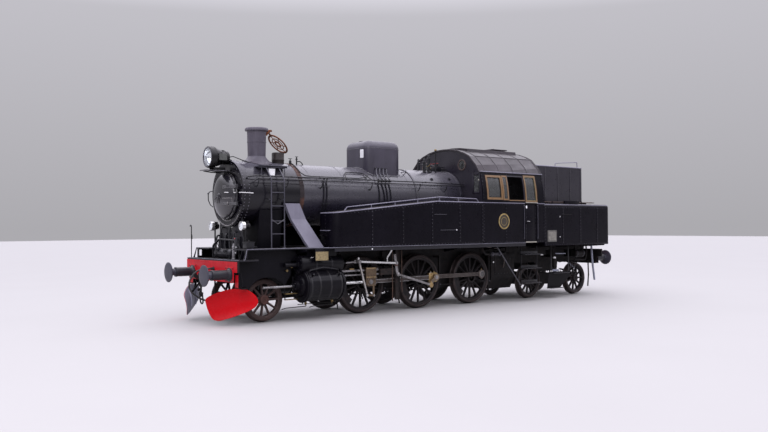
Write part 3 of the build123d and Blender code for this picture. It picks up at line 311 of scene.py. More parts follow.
class M:
    """Collects joined shapes into one mesh, in the row frame, in metres."""

    def __init__(self):
        self.v, self.f, self.mi = [], [], []

    def add(self, verts, faces, mat=0):
        n = len(self.v)
        self.v += [tuple(p) for p in verts]
        self.f += [tuple(i + n for i in f) for f in faces]
        self.mi += [mat] * len(faces)
        return self

    def box(self, x0, x1, y0, y1, z0, z1, mat=0, c=0.0, matrix=None):
        """A box, with its edges chamfered by c."""
        (x0, x1), (y0, y1), (z0, z1) = sorted((x0, x1)), sorted((y0, y1)), sorted((z0, z1))
        c = min(c, 0.45 * min(x1 - x0, y1 - y0, z1 - z0))
        bm = bmesh.new()
        bmesh.ops.create_cube(bm, size=1.0)
        for v in bm.verts:
            v.co = Vector((x0 + (v.co.x + 0.5) * (x1 - x0), y0 + (v.co.y + 0.5) * (y1 - y0), z0 + (v.co.z + 0.5) * (z1 - z0)))
        if c > 0:
            bmesh.ops.bevel(bm, geom=bm.edges[:], offset=c, segments=2, profile=0.5, affect="EDGES")
        if matrix is not None:
            bm.transform(matrix)
        bm.verts.index_update()
        self.add([v.co[:] for v in bm.verts], [[v.index for v in f.verts] for f in bm.faces], mat)
        bm.free()
        return self

    def tube(self, pts, r, n=10, mat=0, closed=False, caps=True, fillet=0.0, seg=5):
        pts = [Vector(p) for p in pts]
        if fillet > 0 and len(pts) > 2:
            pts = rounded(pts, fillet, seg, closed)
        k = len(pts)
        rr = r if isinstance(r, (list, tuple)) else [r] * k
        tang = []
        for i in range(k):
            a = pts[(i - 1) % k] if closed or i > 0 else pts[0]
            b = pts[(i + 1) % k] if closed or i < k - 1 else pts[-1]
            tang.append(unit(b - a))
        u, w = basis(tang[0])
        rings = []
        for i in range(k):
            if i:
                u = unit(u - tang[i] * u.dot(tang[i]))
                w = tang[i].cross(u)
            rings.append([pts[i] + (u * math.cos(2 * PI * j / n) + w * math.sin(2 * PI * j / n)) * rr[i] for j in range(n)])
        verts = [p for ring in rings for p in ring]
        faces = []
        for i in range(k if closed else k - 1):
            a, b = i * n, ((i + 1) % k) * n
            for j in range(n):
                faces.append((a + j, a + (j + 1) % n, b + (j + 1) % n, b + j))
        if caps and not closed:
            faces.append(tuple(range(n - 1, -1, -1)))
            faces.append(tuple((k - 1) * n + j for j in range(n)))
        return self.add(verts, faces, mat)

    def lathe(self, profile, origin, axis=(0, 0, 1), n=32, mat=0, closed=False, start=0.0, turn=2 * PI, caps=True):
        """profile: (radius, distance along axis) points. closed joins the last to the first."""
        a, o = unit(axis), Vector(origin)
        u, w = basis(a)
        full = abs(turn - 2 * PI) < 1e-6
        cols = n if full else n + 1
        verts, idx = [], []
        for r, t in profile:
            if r < 1e-6:
                idx.append([len(verts)] * cols)
                verts.append(o + a * t)
            else:
                idx.append(list(range(len(verts), len(verts) + cols)))
                for j in range(cols):
                    ang = start + turn * j / n
                    verts.append(o + a * t + (u * math.cos(ang) + w * math.sin(ang)) * r)
        faces = []
        k = len(profile)
        for i in range(k if closed else k - 1):
            p, q = idx[i], idx[(i + 1) % k]
            for j in range(n):
                j2 = (j + 1) % cols if full else j + 1
                f = []
                for x in (p[j], p[j2], q[j2], q[j]):
                    if x not in f:
                        f.append(x)
                if len(f) > 2:
                    faces.append(tuple(f))
        if caps and not closed:
            for ring, flip in ((idx[0], True), (idx[-1], False)):
                if len(set(ring)) > 2 and full:
                    faces.append(tuple(reversed(ring)) if flip else tuple(ring))
        if not full and closed:
            faces.append(tuple(i[0] for i in idx))
            faces.append(tuple(i[-1] for i in reversed(idx)))
        return self.add(verts, faces, mat)

    def cyl(self, p, q, r, n=20, mat=0, c=0.0):
        """Solid cylinder from p to q with chamfered ends."""
        p, q = Vector(p), Vector(q)
        d = (q - p).length
        c = min(c, r * 0.5, d * 0.4)
        prof = [(0, 0), (r - c, 0), (r, c), (r, d - c), (r - c, d), (0, d)] if c > 0 else [(0, 0), (r, 0), (r, d), (0, d)]
        return self.lathe(prof, p, q - p, n, mat, caps=False)

    def ring(self, p, axis, r0, r1, t0, t1, n=32, mat=0, c=0.0):
        """Flat ring between radii r0 and r1, from t0 to t1 along axis."""
        prof = [(r0, t0), (r1 - c, t0), (r1, t0 + c), (r1, t1 - c), (r1 - c, t1), (r0, t1)] if c else [(r0, t0), (r1, t0), (r1, t1), (r0, t1)]
        return self.lathe(prof, p, axis, n, mat, closed=True)

    def rivet(self, p, normal, r=0.012, h=0.006, n=8, mat=0):
        return self.lathe([(r, -0.001), (r, h * 0.25), (r * 0.72, h * 0.75), (0, h)], p, normal, n, mat, caps=False)

    def bolt(self, p, normal, r=0.016, h=0.014, mat=0, washer=True):
        p, a = Vector(p), unit(normal)
        if washer:
            self.lathe([(r * 1.5, -0.001), (r * 1.5, 0.003), (0, 0.003)], p, a, 14, mat, caps=False)
        return self.lathe([(r, 0), (r, h * 0.8), (r * 0.85, h), (0, h)], p, a, 6, mat, caps=False)

    def prism(self, outline, origin, u, v, t0, t1, mat=0, c=0.0):
        """Outline of (a, b) points on axes u and v, thick from t0 to t1 along u x v, with chamfered rims."""
        o, u, v = Vector(origin), unit(u), unit(v)
        w = u.cross(v)
        pts = [Vector((a, b)) for a, b in outline]
        area = sum(pts[i].x * pts[(i + 1) % len(pts)].y - pts[(i + 1) % len(pts)].x * pts[i].y for i in range(len(pts)))
        if area < 0:
            pts.reverse()
        inner = shrink(pts, c) if c > 0 else pts
        levels = [(inner, t0), (pts, t0 + c), (pts, t1 - c), (inner, t1)] if c > 0 else [(pts, t0), (pts, t1)]
        k = len(pts)
        verts = [o + u * p.x + v * p.y + w * t for ring, t in levels for p in ring]
        faces = []
        for l in range(len(levels) - 1):
            for i in range(k):
                j = (i + 1) % k
                faces.append((l * k + i, l * k + j, (l + 1) * k + j, (l + 1) * k + i))
        faces.append(tuple(range(k - 1, -1, -1)))
        faces.append(tuple((len(levels) - 1) * k + i for i in range(k)))
        return self.add(verts, faces, mat)

    def mirrored(self, where=lambda i: True):
        """Adds the mirror image over the centre plane."""
        v, f, mi = list(self.v), list(self.f), list(self.mi)
        n = len(v)
        self.v += [(x, -y, z) for x, y, z in v]
        self.f += [tuple(i + n for i in reversed(q)) for q in f]
        self.mi += mi
        return self

    def obj(self, name, body, mats, slot="black_paint", angle=35.0, replaces=()):
        mats = mats if isinstance(mats, (list, tuple)) else [mats]
        me = bpy.data.meshes.new(name)
        me.from_pydata(self.v, [], self.f)
        for m in mats:
            me.materials.append(MAT[m])
        me.polygons.foreach_set("material_index", self.mi)
        bm = bmesh.new()
        bm.from_mesh(me)
        bmesh.ops.recalc_face_normals(bm, faces=bm.faces[:])
        bm.to_mesh(me)
        bm.free()
        me.polygons.foreach_set("use_smooth", [True] * len(me.polygons))
        me.update()
        me.set_sharp_from_angle(angle=math.radians(angle))
        o = bpy.data.objects.new(name, me)
        bpy.context.scene.collection.objects.link(o)
        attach(o, body)
        if replaces:
            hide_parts(*replaces)
        return o


def shrink(pts, c):
    """A closed outline, anticlockwise, moved in by c."""
    out, k = [], len(pts)
    for i in range(k):
        a, b, d = pts[i - 1], pts[i], pts[(i + 1) % k]
        e0, e1 = (b - a), (d - b)
        if e0.length < 1e-9 or e1.length < 1e-9:
            out.append(b.copy())
            continue
        e0.normalize(), e1.normalize()
        n0, n1 = Vector((-e0.y, e0.x)), Vector((-e1.y, e1.x))
        m = n0 + n1
        if m.length < 1e-6:
            out.append(b + n0 * c)
            continue
        m.normalize()
        out.append(b + m * (c / max(0.4, m.dot(n0))))
    return out


def rounded(pts, radius, seg=5, closed=False):
    """Points with each corner replaced by an arc."""
    out, k = [], len(pts)
    for i in range(k):
        if not closed and i in (0, k - 1):
            out.append(pts[i])
            continue
        a, b, c = pts[i - 1], pts[i], pts[(i + 1) % k]
        d0, d1 = a - b, c - b
        ang = d0.angle(d1) if d0.length > 1e-9 and d1.length > 1e-9 else PI
        if ang > PI - 0.02:
            out.append(b)
            continue
        cut = min(radius / math.tan(ang / 2), d0.length * 0.48, d1.length * 0.48)
        p, q = b + unit(d0) * cut, b + unit(d1) * cut
        for s in range(seg + 1):
            t = s / seg
            out.append(p * (1 - t) ** 2 + b * 2 * t * (1 - t) + q * t * t)
    return out


def arc(cx, cz, r, a0, a1, n):
    """(x, z) points on a circle, angles in degrees."""
    return [(cx + r * math.cos(math.radians(a0 + (a1 - a0) * i / n)), cz + r * math.sin(math.radians(a0 + (a1 - a0) * i / n))) for i in range(n + 1)]


def skin(node, mat):
    """Gives a CAD node its finish."""
    o = NODES[node]
    o.data.materials.clear()
    o.data.materials.append(MAT[mat])
    for p in o.data.polygons:
        p.material_index = 0


def soften(node, width=0.004, segments=2, angle=30.0):
    """Rounds a CAD node's edges slightly with modifiers; its own mesh stays."""
    o = NODES[node]
    w = o.modifiers.new("weld", "WELD")
    w.merge_threshold = 0.00002
    b = o.modifiers.new("edge", "BEVEL")
    b.width, b.segments, b.limit_method, b.angle_limit = width, segments, "ANGLE", math.radians(angle)
    b.use_clamp_overlap = True
    b.harden_normals = True


MAT["tyre_brown"] = iron("brown tyre", (0.034, 0.022, 0.021), (0.060, 0.040, 0.036), rust=(0.075, 0.038, 0.030), rust_amount=0.4, rough=(0.40, 0.62), metal=0.1, bump=0.2)
MAT["rust_hub"] = iron("rusty hub", (0.052, 0.026, 0.023), (0.085, 0.040, 0.033), rust=(0.12, 0.052, 0.036), rust_amount=0.5, rough=(0.6, 0.85))
MAT["plough_back"] = iron("plough back", (0.25, 0.25, 0.32), (0.36, 0.36, 0.44), rust=(0.2, 0.15, 0.16), rust_amount=0.15, rough=(0.45, 0.7), bump=0.2)
MAT["sleeve"] = paint("buffer sleeve paint", (0.0085, 0.0085, 0.0125), (0.018, 0.018, 0.024), rough=(0.26, 0.44), dust_amount=0.1)
MAT["cock_iron"] = iron("cock casting", (0.012, 0.012, 0.014), (0.026, 0.025, 0.027), rust_amount=0.15)
MAT["rust_stain"] = paint("rust-stained joint", (0.016, 0.011, 0.012), (0.150, 0.062, 0.040), rough=(0.5, 0.75), streaks=0.3)
MAT["pot"] = paint("pot paint", (0.007, 0.0065, 0.0075), (0.022, 0.015, 0.014), rough=(0.4, 0.6))
MAT["door"] = paint("smokebox door paint", (0.0050, 0.0044, 0.0080), (0.0105, 0.0094, 0.0145), rough=(0.12, 0.22), waves=0.12, spec=0.90, orange=0.02)
MAT["door_rim"] = paint("door rim", (0.016, 0.0155, 0.018), (0.034, 0.032, 0.035), rough=(0.28, 0.45))
MAT["dull_edge"] = simple("dull steel edge", (0.30, 0.29, 0.29), (0.16, 0.15, 0.15), (0.35, 0.55), 20.0, metal=0.6)
MAT["chimney"] = paint("chimney paint", (0.055, 0.049, 0.066), (0.088, 0.079, 0.100), rough=(0.36, 0.56), streaks=0.4)
MAT["pipe_black"] = paint("pipe paint", (0.0055, 0.0055, 0.0075), (0.013, 0.013, 0.017), rough=(0.25, 0.42), spec=0.3)
MAT["pipe_pale"] = simple("bare pipe", (0.100, 0.098, 0.115), (0.045, 0.043, 0.052), (0.35, 0.55), 14.0, metal=0.4)
MAT["ladder"] = paint("ladder paint", (0.034, 0.033, 0.045), (0.056, 0.054, 0.070), rough=(0.32, 0.5))
MAT["ladder_pale"] = simple("worn rung", (0.115, 0.112, 0.125), (0.060, 0.058, 0.066), (0.35, 0.55), 18.0, metal=0.4)
MAT["enamel_dull"] = simple("enamel field", (0.66, 0.66, 0.68), (0.56, 0.56, 0.58), (0.35, 0.5), 5.0)
MAT["beam_dark"] = iron("beam back", (0.0055, 0.0050, 0.0058), (0.0125, 0.0112, 0.0118), rust=(0.05, 0.025, 0.016), rust_amount=0.2)
MAT["rod"] = steel("coupling rod steel", (0.17, 0.145, 0.135), (0.050, 0.038, 0.034), rough=(0.3, 0.55), oil=0.7, rust=0.35)
MAT["crosshead"] = steel("crosshead steel", (0.16, 0.115, 0.075), (0.04, 0.028, 0.022), rough=(0.3, 0.55), oil=0.7, rust=0.5)
MAT["cylinder"] = paint("cylinder paint", (0.0018, 0.0015, 0.0030), (0.0046, 0.0040, 0.0066), rough=(0.24, 0.38), dust_top=1.0, dust_amount=0.04, spec=0.18, orange=0.03, top_dust_and_sheen=(0.012, 0.011, 0.014))
MAT["dome"] = paint("dome paint", (0.024, 0.021, 0.034), (0.042, 0.037, 0.055), rough=(0.30, 0.46), streaks=0.35, spec=0.55, orange=0.03)
MAT["valance"] = paint("valance paint", (0.0014, 0.0012, 0.0026), (0.0034, 0.0030, 0.0052), rough=(0.28, 0.46), dust_top=1.2, dust_amount=0.06, spec=0.12)
MAT["bracket"] = iron("motion bracket iron", (0.0075, 0.0065, 0.0068), (0.022, 0.0165, 0.0145), rust=(0.075, 0.038, 0.026), rust_amount=0.35)
MAT["crank"] = steel("return crank steel", (0.235, 0.190, 0.145), (0.065, 0.048, 0.036), rough=(0.3, 0.5), oil=0.6, rust=0.4)
MAT["board"] = paint("running board paint", (0.0065, 0.0060, 0.0092), (0.0135, 0.0126, 0.0178), rough=(0.34, 0.55), dust_amount=0.2)
MAT["bar"] = steel("slide bar steel", (0.30, 0.29, 0.30), (0.035, 0.030, 0.028), rough=(0.25, 0.5), oil=0.75, rust=0.2)
MAT["dark_iron"] = iron("plain dark iron", (0.0055, 0.0055, 0.0062), (0.0115, 0.0110, 0.0122), rust=(0.05, 0.025, 0.016), rust_amount=0.12)
MAT["lamp_black"] = paint("lamp black", (0.0030, 0.0030, 0.0038), (0.0070, 0.0070, 0.0085), rough=(0.22, 0.38), dust_amount=0.1)
MAT["lamp_rim"] = simple("lamp rim metal", (0.16, 0.155, 0.175), (0.10, 0.097, 0.11), (0.25, 0.4), 10.0, metal=0.4)
MAT["blank_dark"] = simple("dark blank panel", (0.045, 0.048, 0.045), (0.075, 0.078, 0.072), (0.4, 0.6), 16.0)
MAT["lens_clear"] = simple("clear lamp glass", (0.92, 0.94, 0.95), (0.90, 0.92, 0.93), (0.02, 0.05), 3.0, bump=0.0, trans=1.0)
MAT["deck_top"] = iron("deck plate", (0.0085, 0.0085, 0.0110), (0.019, 0.0185, 0.022), rust=(0.05, 0.025, 0.016), rust_amount=0.12)
# pale edge colour: partly worn metal, partly a painted highlight along the edges of boards and deck
MAT["edge_wear_and_highlight"] = simple("worn edge with painted highlight", (0.21, 0.205, 0.255), (0.13, 0.127, 0.16), (0.35, 0.55), 6.0, metal=0.3)
MAT["column_grey"] = simple("grey column", (0.20, 0.195, 0.205), (0.12, 0.115, 0.12), (0.4, 0.6), 14.0)
MAT["rivet_dark"] = paint("rivet paint", (0.036, 0.034, 0.046), (0.060, 0.057, 0.072), rough=(0.26, 0.42), dust_amount=0.1)
MAT["rivet_pale"] = paint("worn rivet paint", (0.085, 0.080, 0.100), (0.14, 0.132, 0.155), rough=(0.28, 0.45), dust_amount=0.1)
# pale colour for beads, rims and rails: a painted highlight standing for the sky's reflection on rounded edges
MAT["bead_painted_highlight"] = paint("edge bead painted highlight", (0.145, 0.139, 0.186), (0.205, 0.198, 0.250), rough=(0.30, 0.48), dust_amount=0.1)
MAT["sill_pale"] = simple("pale sill", (0.30, 0.285, 0.245), (0.19, 0.18, 0.155), (0.4, 0.6), 14.0)
MAT["roof_seam"] = paint("roof seam paint", (0.035, 0.032, 0.036), (0.060, 0.055, 0.060), rough=(0.42, 0.62), streaks=0.4)
MAT["plate_ground"] = simple("plate ground", (0.030, 0.024, 0.018), (0.055, 0.044, 0.030), (0.35, 0.55), 14.0, metal=0.3)
MAT["frame_green"] = simple("greenish window frame", (0.19, 0.165, 0.075), (0.125, 0.105, 0.05), (0.35, 0.55), 9.0, coat=0.2)
MAT["glass_smoke"] = simple("dim window glass", (0.30, 0.31, 0.31), (0.26, 0.27, 0.27), (0.02, 0.06), 3.0, bump=0.0, trans=0.9)
MAT["copper"] = steel("copper pipe", (0.52, 0.22, 0.12), (0.11, 0.05, 0.03), rough=(0.3, 0.5), oil=0.5, rust=0.2)
MAT["red_wheel"] = simple("red hand wheel", (0.30, 0.012, 0.012), (0.20, 0.010, 0.010), (0.3, 0.5), 12.0)
MAT["leather"] = simple("dark leather", (0.030, 0.018, 0.012), (0.05, 0.030, 0.020), (0.4, 0.6), 9.0, bump=0.25)
MAT["brass_dull"] = steel("dull brass", (0.28, 0.20, 0.09), (0.07, 0.05, 0.03), rough=(0.3, 0.5), oil=0.6, rust=0.2)
MAT["ring_brown"] = simple("brown ring", (0.060, 0.040, 0.036), (0.035, 0.024, 0.024), (0.35, 0.55), 12.0)
MAT["cream_plate"] = simple("cream brass plate", (0.30, 0.235, 0.115), (0.15, 0.115, 0.06), (0.35, 0.55), 20.0, metal=0.2)
MAT["rod_dark"] = steel("rod recess", (0.095, 0.082, 0.078), (0.030, 0.024, 0.022), rough=(0.35, 0.6), oil=0.7, rust=0.3)
MAT["steel_pale"] = steel("pale lever face", (0.62, 0.58, 0.54), (0.15, 0.125, 0.11), rough=(0.3, 0.5), oil=0.4, rust=0.2)
MAT["rusty_pipe"] = iron("rusty pipe", (0.045, 0.032, 0.027), (0.080, 0.050, 0.038), rust=(0.13, 0.06, 0.035), rust_amount=0.5, rough=(0.45, 0.7))
MAT["plate_rim"] = simple("plate rim", (0.10, 0.095, 0.085), (0.06, 0.057, 0.052), (0.4, 0.6), 16.0)
MAT["plate_pale"] = simple("blank pale plate", (0.20, 0.19, 0.165), (0.105, 0.10, 0.088), (0.4, 0.6), 16.0)
MAT["coal"] = simple("coal", (0.010, 0.010, 0.012), (0.022, 0.022, 0.025), (0.22, 0.5), 30.0)
MAT["pale_blue"] = simple("pale blue grey paint", (0.24, 0.25, 0.32), (0.15, 0.155, 0.20), (0.4, 0.6), 12.0)
# ------------------------------------------------------------------ brake hose: its route, as in the solid model
HOSE_D = 0.038
HOSE_EXIT = (6.170, 0.150, 1.160)
HOSE_ROUTE = [
    HOSE_EXIT, (6.335, 0.150, 1.160), (6.500, 0.147, 1.120), (6.615, 0.145, 1.010), (6.670, 0.146, 0.870), (6.655, 0.148, 0.750),
    (6.592, 0.150, 0.655), (6.495, 0.151, 0.585), (6.392, 0.150, 0.524), (6.275, 0.150, 0.482), (6.165, 0.150, 0.482),
]


def hose_curve(name, bevel):
    c = bpy.data.curves.new(name, "CURVE")
    c.dimensions = "3D"
    s = c.splines.new("NURBS")
    s.points.add(len(HOSE_ROUTE) - 1)
    for p, q in zip(s.points, HOSE_ROUTE):
        p.co = (*q, 1.0)
    s.order_u = 3
    s.use_endpoint_u = True
    s.resolution_u = 10
    c.resolution_u = 10
    c.bevel_depth = bevel
    c.bevel_resolution = 6
    c.use_fill_caps = True
    o = bpy.data.objects.new(name, c)
    bpy.context.scene.collection.objects.link(o)
    return o


def hose_line():
    """Points of the hose's smooth line, for the clips on it."""
    o = hose_curve("hose_line", 0.0)
    me = bpy.data.meshes.new_from_object(o)
    pts = [v.co.copy() for v in me.vertices]
    data = o.data
    bpy.data.objects.remove(o)
    bpy.data.curves.remove(data)
    bpy.data.meshes.remove(me)
    return pts


hose = hose_curve("brake_hose", HOSE_D / 2)
HOSE_LINE = hose_line()
hose.data.materials.append(MAT["rubber"])
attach(hose, "chassis")
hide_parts("brake_hose_front")

def rounded_rect(a0, a1, b0, b1, r, n=5):
    """Outline with round corners."""
    pts = []
    for ca, cb, t in ((a1 - r, b1 - r, 0), (a0 + r, b1 - r, 90), (a0 + r, b0 + r, 180), (a1 - r, b0 + r, 270)):
        for i in range(n + 1):
            a = math.radians(t + 90 * i / n)
            pts.append((ca + r * math.cos(a), cb + r * math.sin(a)))
    return pts


# ------------------------------------------------------------------ places, as in the solid model
BZ, RB, RS = 2.778, 0.712, 0.720          # boiler's height, its radius, the smokebox's
Z_DRIVER, Z_SMALL = 0.678, 0.478
X_DRIVERS = {1: 2.65, 2: 0.85, 3: -0.95}
CRANK = {1: 162.0, -1: 72.0}
CRANK_R = 0.305
CAB_OUT = [(1.500, 1.583), (1.500, 2.698), (1.468, 2.958), (1.417, 3.218), (1.366, 3.428)]
ROOF_OUT = [(1.366, 3.428), (1.260, 3.612), (1.116, 3.751), (1.008, 3.863), (0.823, 3.955), (0.560, 4.042), (0.253, 4.093), (0.0, 4.103)]


def along(table, t):
    """Linear look-up in (value, t) pairs whose t rises."""
    for (a, ta), (b, tb) in zip(table, table[1:]):
        if t <= tb:
            return a + (b - a) * (t - ta) / (tb - ta)
    return table[-1][0]


def cab_y(z):
    return along(CAB_OUT, z)


def tank_z(x):
    return 2.658 + (2.362 - 2.658) * (x - 0.85) / 3.0 if x > 0.85 else 2.658 + (2.652 - 2.658) * (0.85 - x) / 1.6


def on_boiler(x, deg, r=RB):
    """A point round the boiler, degrees up from the left side."""
    return Vector((x, r * math.cos(math.radians(deg)), BZ + r * math.sin(math.radians(deg))))


def radial(deg):
    return Vector((0, math.cos(math.radians(deg)), math.sin(math.radians(deg))))


def spoke(m, x, z, a, r0, r1, w0, w1, d, ym, side, mat=0, n=8):
    """One cast spoke: an oval bar that spreads into hub and rim."""
    u, t = Vector((math.cos(a), 0, math.sin(a))), Vector((-math.sin(a), 0, math.cos(a)))
    o = Vector((x, side * ym, z))
    secs = []
    for k, flare in ((0.0, 1.55), (0.07, 1.15), (0.18, 1.0), (0.5, 0.97), (0.82, 1.0), (0.93, 1.12), (1.0, 1.6)):
        w = (w0 + (w1 - w0) * k) * flare
        dd = d * (1.0 + (flare - 1) * 0.35)
        c = o + u * (r0 + (r1 - r0) * k)
        secs.append([c + t * (w * math.cos(2 * PI * j / n)) + Vector((0, dd * math.sin(2 * PI * j / n), 0)) for j in range(n)])
    verts = [p for s in secs for p in s]
    faces = [(i * n + j, i * n + (j + 1) % n, (i + 1) * n + (j + 1) % n, (i + 1) * n + j) for i in range(len(secs) - 1) for j in range(n)]
    faces += [tuple(range(n)), tuple((len(secs) - 1) * n + j for j in range(n))]
    return m.add(verts, faces, mat)


def tyre_mesh(m, x, z, tread, side, n=72):
    ri = tread - 0.0616
    prof = [(ri, 0.684), (ri + 0.004, 0.680), (tread + 0.018, 0.680), (tread + 0.026, 0.686), (tread + 0.028, 0.694), (tread + 0.022, 0.705),
            (tread + 0.007, 0.713), (tread, 0.724), (tread - 0.004, 0.811), (tread - 0.008, 0.817), (tread - 0.014, 0.820), (ri + 0.006, 0.820), (ri, 0.815)]
    return m.lathe(prof, (x, 0, z), (0, side, 0), n, 0, closed=True)


def wheel_mesh(m, x, z, rim_r, rim_t, hub_r, spokes, w, side, hub_y, hub_mat=0):
    ax = (0, side, 0)
    m.lathe([(rim_r - rim_t, 0.698), (rim_r - rim_t + 0.006, 0.692), (rim_r, 0.692), (rim_r, 0.806), (rim_r - 0.010, 0.808), (rim_r - rim_t + 0.010, 0.800),
             (rim_r - rim_t, 0.790)], (x, 0, z), ax, 72, 0, closed=True)
    m.lathe([(0, 0.655), (hub_r * 0.92, 0.655), (hub_r, 0.665), (hub_r, hub_y - 0.022), (hub_r * 0.90, hub_y - 0.006), (hub_r * 0.74, hub_y),
             (hub_r * 0.66, hub_y - 0.004), (hub_r * 0.64, hub_y - 0.012), (hub_r * 0.2, hub_y - 0.012), (hub_r * 0.16, hub_y - 0.03), (0, hub_y - 0.03)],
            (x, 0, z), ax, 40, hub_mat, caps=False)
    for i in range(spokes):
        spoke(m, x, z, 2 * PI * (i + 0.5) / spokes, hub_r * 0.9, rim_r - rim_t + 0.008, w[0], w[1], 0.036, 0.749, side)
    return m


def pin_place(x, side):
    a = math.radians(CRANK[side])
    return x + CRANK_R * math.cos(a), Z_DRIVER + CRANK_R * math.sin(a)


def capsule(p, q, r, n=10):
    """(x, z) outline of a strap with round ends of radius r."""
    a = math.atan2(q[1] - p[1], q[0] - p[0])
    out = [(q[0] + r * math.cos(a - PI / 2 + PI * i / n), q[1] + r * math.sin(a - PI / 2 + PI * i / n)) for i in range(n + 1)]
    out += [(p[0] + r * math.cos(a + PI / 2 + PI * i / n), p[1] + r * math.sin(a + PI / 2 + PI * i / n)) for i in range(n + 1)]
    return out


def slab_y(m, outline, y0, y1, mat=0, c=0.0):
    """An (x, z) outline, thick from y0 to y1."""
    y0, y1 = sorted((y0, y1))
    return m.prism([(-x, z) for x, z in outline], (0, 0, 0), (-1, 0, 0), (0, 0, 1), y0, y1, mat, c)


def slab_x(m, outline, x0, x1, mat=0, c=0.0):
    """A (y, z) outline, thick from x0 to x1."""
    x0, x1 = sorted((x0, x1))
    return m.prism(outline, (0, 0, 0), (0, 1, 0), (0, 0, 1), x0, x1, mat, c)


def slab_z(m, outline, z0, z1, mat=0, c=0.0):
    z0, z1 = sorted((z0, z1))
    return m.prism(outline, (0, 0, 0), (1, 0, 0), (0, 1, 0), z0, z1, mat, c)


# ------------------------------------------------------------------ wheels
PIN_END = {1: 0.944, 2: 1.012, 3: 0.944}
for n, x in X_DRIVERS.items():
    m = M()
    for s in (1, -1):
        tyre_mesh(m, x, Z_DRIVER, 0.650, s, 96)
    m.obj(f"driver_{n}_tyre_pair", f"driver_{n}", "tyre", "tyre_steel", 30, (f"driver_{n}_tyres",))
    m = M()
    m.cyl((x, -0.655, Z_DRIVER), (x, 0.655, Z_DRIVER), 0.088, 32, 0, 0.004)
    for s in (1, -1):
        wheel_mesh(m, x, Z_DRIVER, 0.5875, 0.058, 0.135, 14, (0.033, 0.024), s, 0.844)
        px, pz = pin_place(x, s)
        slab_y(m, capsule((x, Z_DRIVER), (px, pz), 0.098, 14), s * 0.700, s * 0.832, 0, 0.008)
        m.lathe([(0, 0.70), (0.108, 0.70), (0.108, 0.838), (0.100, 0.846), (0, 0.846)], (px, 0, pz), (0, s, 0), 36, 0, caps=False)
        prof = [(0.062, 0.840), (0.062, PIN_END[n] - 0.003), (0.059, PIN_END[n]), (0, PIN_END[n])]
        m.lathe(prof, (px, 0, pz), (0, s, 0), 32, 1, caps=False)
        if n != 2:
            m.lathe([(0.05, 0.932), (0.078, 0.932), (0.078, 0.941), (0.074, 0.944), (0.03, 0.944), (0.026, 0.940), (0, 0.940)], (px, 0, pz), (0, s, 0), 32, 1, caps=False)
        a0 = CRANK[s] + 180
        outer = arc(x, Z_DRIVER, 0.5585, a0 - 34, a0 + 34, 22)
        chord = arc(x, Z_DRIVER, 0.4225, a0 + 34, a0 - 34, 12)
        slab_y(m, outer + chord, s * 0.700, s * 0.803, 0, 0.008)
    m.obj(f"driver_{n}_spoked_pair", f"driver_{n}", ["wheel", "steel"], "wheel_paint", 32, (f"driver_{n}_wheels",))

for name, body, x, w, ty in (("leading", "leading_wheelset", 5.25, "rust_wheel", "tyre_brown"), ("trailing_1", "trailing_wheelset_1", -3.25, "wheel", "tyre"),
                             ("trailing_2", "trailing_wheelset_2", -5.30, "wheel", "tyre")):
    m = M()
    for s in (1, -1):
        tyre_mesh(m, x, Z_SMALL, 0.450, s, 80)
    m.obj(f"{name}_tyre_pair", body, ty, "tyre_steel", 30, (f"{name}_tyres",))
    m = M()
    m.cyl((x, -0.655, Z_SMALL), (x, 0.655, Z_SMALL), 0.075, 28, 0, 0.004)
    for s in (1, -1):
        wheel_mesh(m, x, Z_SMALL, 0.3915, 0.044, 0.105, 11, (0.030, 0.022), s, 0.842, 1 if name == "leading" else 0)
    m.obj(f"{name}_spoked_pair", body, [w, "rust_hub"], "rusty_iron" if name == "leading" else "wheel_paint", 32, (f"{name}_wheels",))

# ------------------------------------------------------------------ rail ploughs
PLOUGH_A, PLOUGH_B, PLOUGH_R, PLOUGH_SAG = Vector((6.520, 0.560, 0)), Vector((5.780, 1.420, 0)), 0.620, 0.095
LEAF = [  # share of the length, height
    (0.000, .450), (0.000, .542), (0.055, .600), (0.188, .668), (0.331, .723), (0.458, .758), (0.578, .775), (0.687, .774),
    (0.796, .755), (0.868, .715), (0.932, .655), (0.985, .572), (1.000, .497), (0.971, .425), (0.902, .362), (0.794, .300),
    (0.686, .251), (0.468, .167), (0.303, .119), (0.226, .113), (0.150, .135), (0.083, .205), (0.027, .330),
]


def smooth_loop(pts, n):
    """n points round a closed Catmull-Rom curve, evenly spaced."""
    dense = []
    k = len(pts)
    for i in range(k):
        p0, p1, p2, p3 = (Vector(pts[(i + j) % k]) for j in (-1, 0, 1, 2))
        for s in range(12):
            t = s / 12
            dense.append(0.5 * ((2 * p1) + (p2 - p0) * t + (2 * p0 - 5 * p1 + 4 * p2 - p3) * t * t + (3 * p1 - p0 - 3 * p2 + p3) * t ** 3))
    dense.append(dense[0])
    length = [0.0]
    for a, b in zip(dense, dense[1:]):
        length.append(length[-1] + math.hypot((b - a).x * 1.134, (b - a).y))
    out, j = [], 0
    for i in range(n):
        want = length[-1] * i / n
        while length[j + 1] < want:
            j += 1
        f = (want - length[j]) / max(1e-9, length[j + 1] - length[j])
        out.append(dense[j].lerp(dense[j + 1], f))
    return out


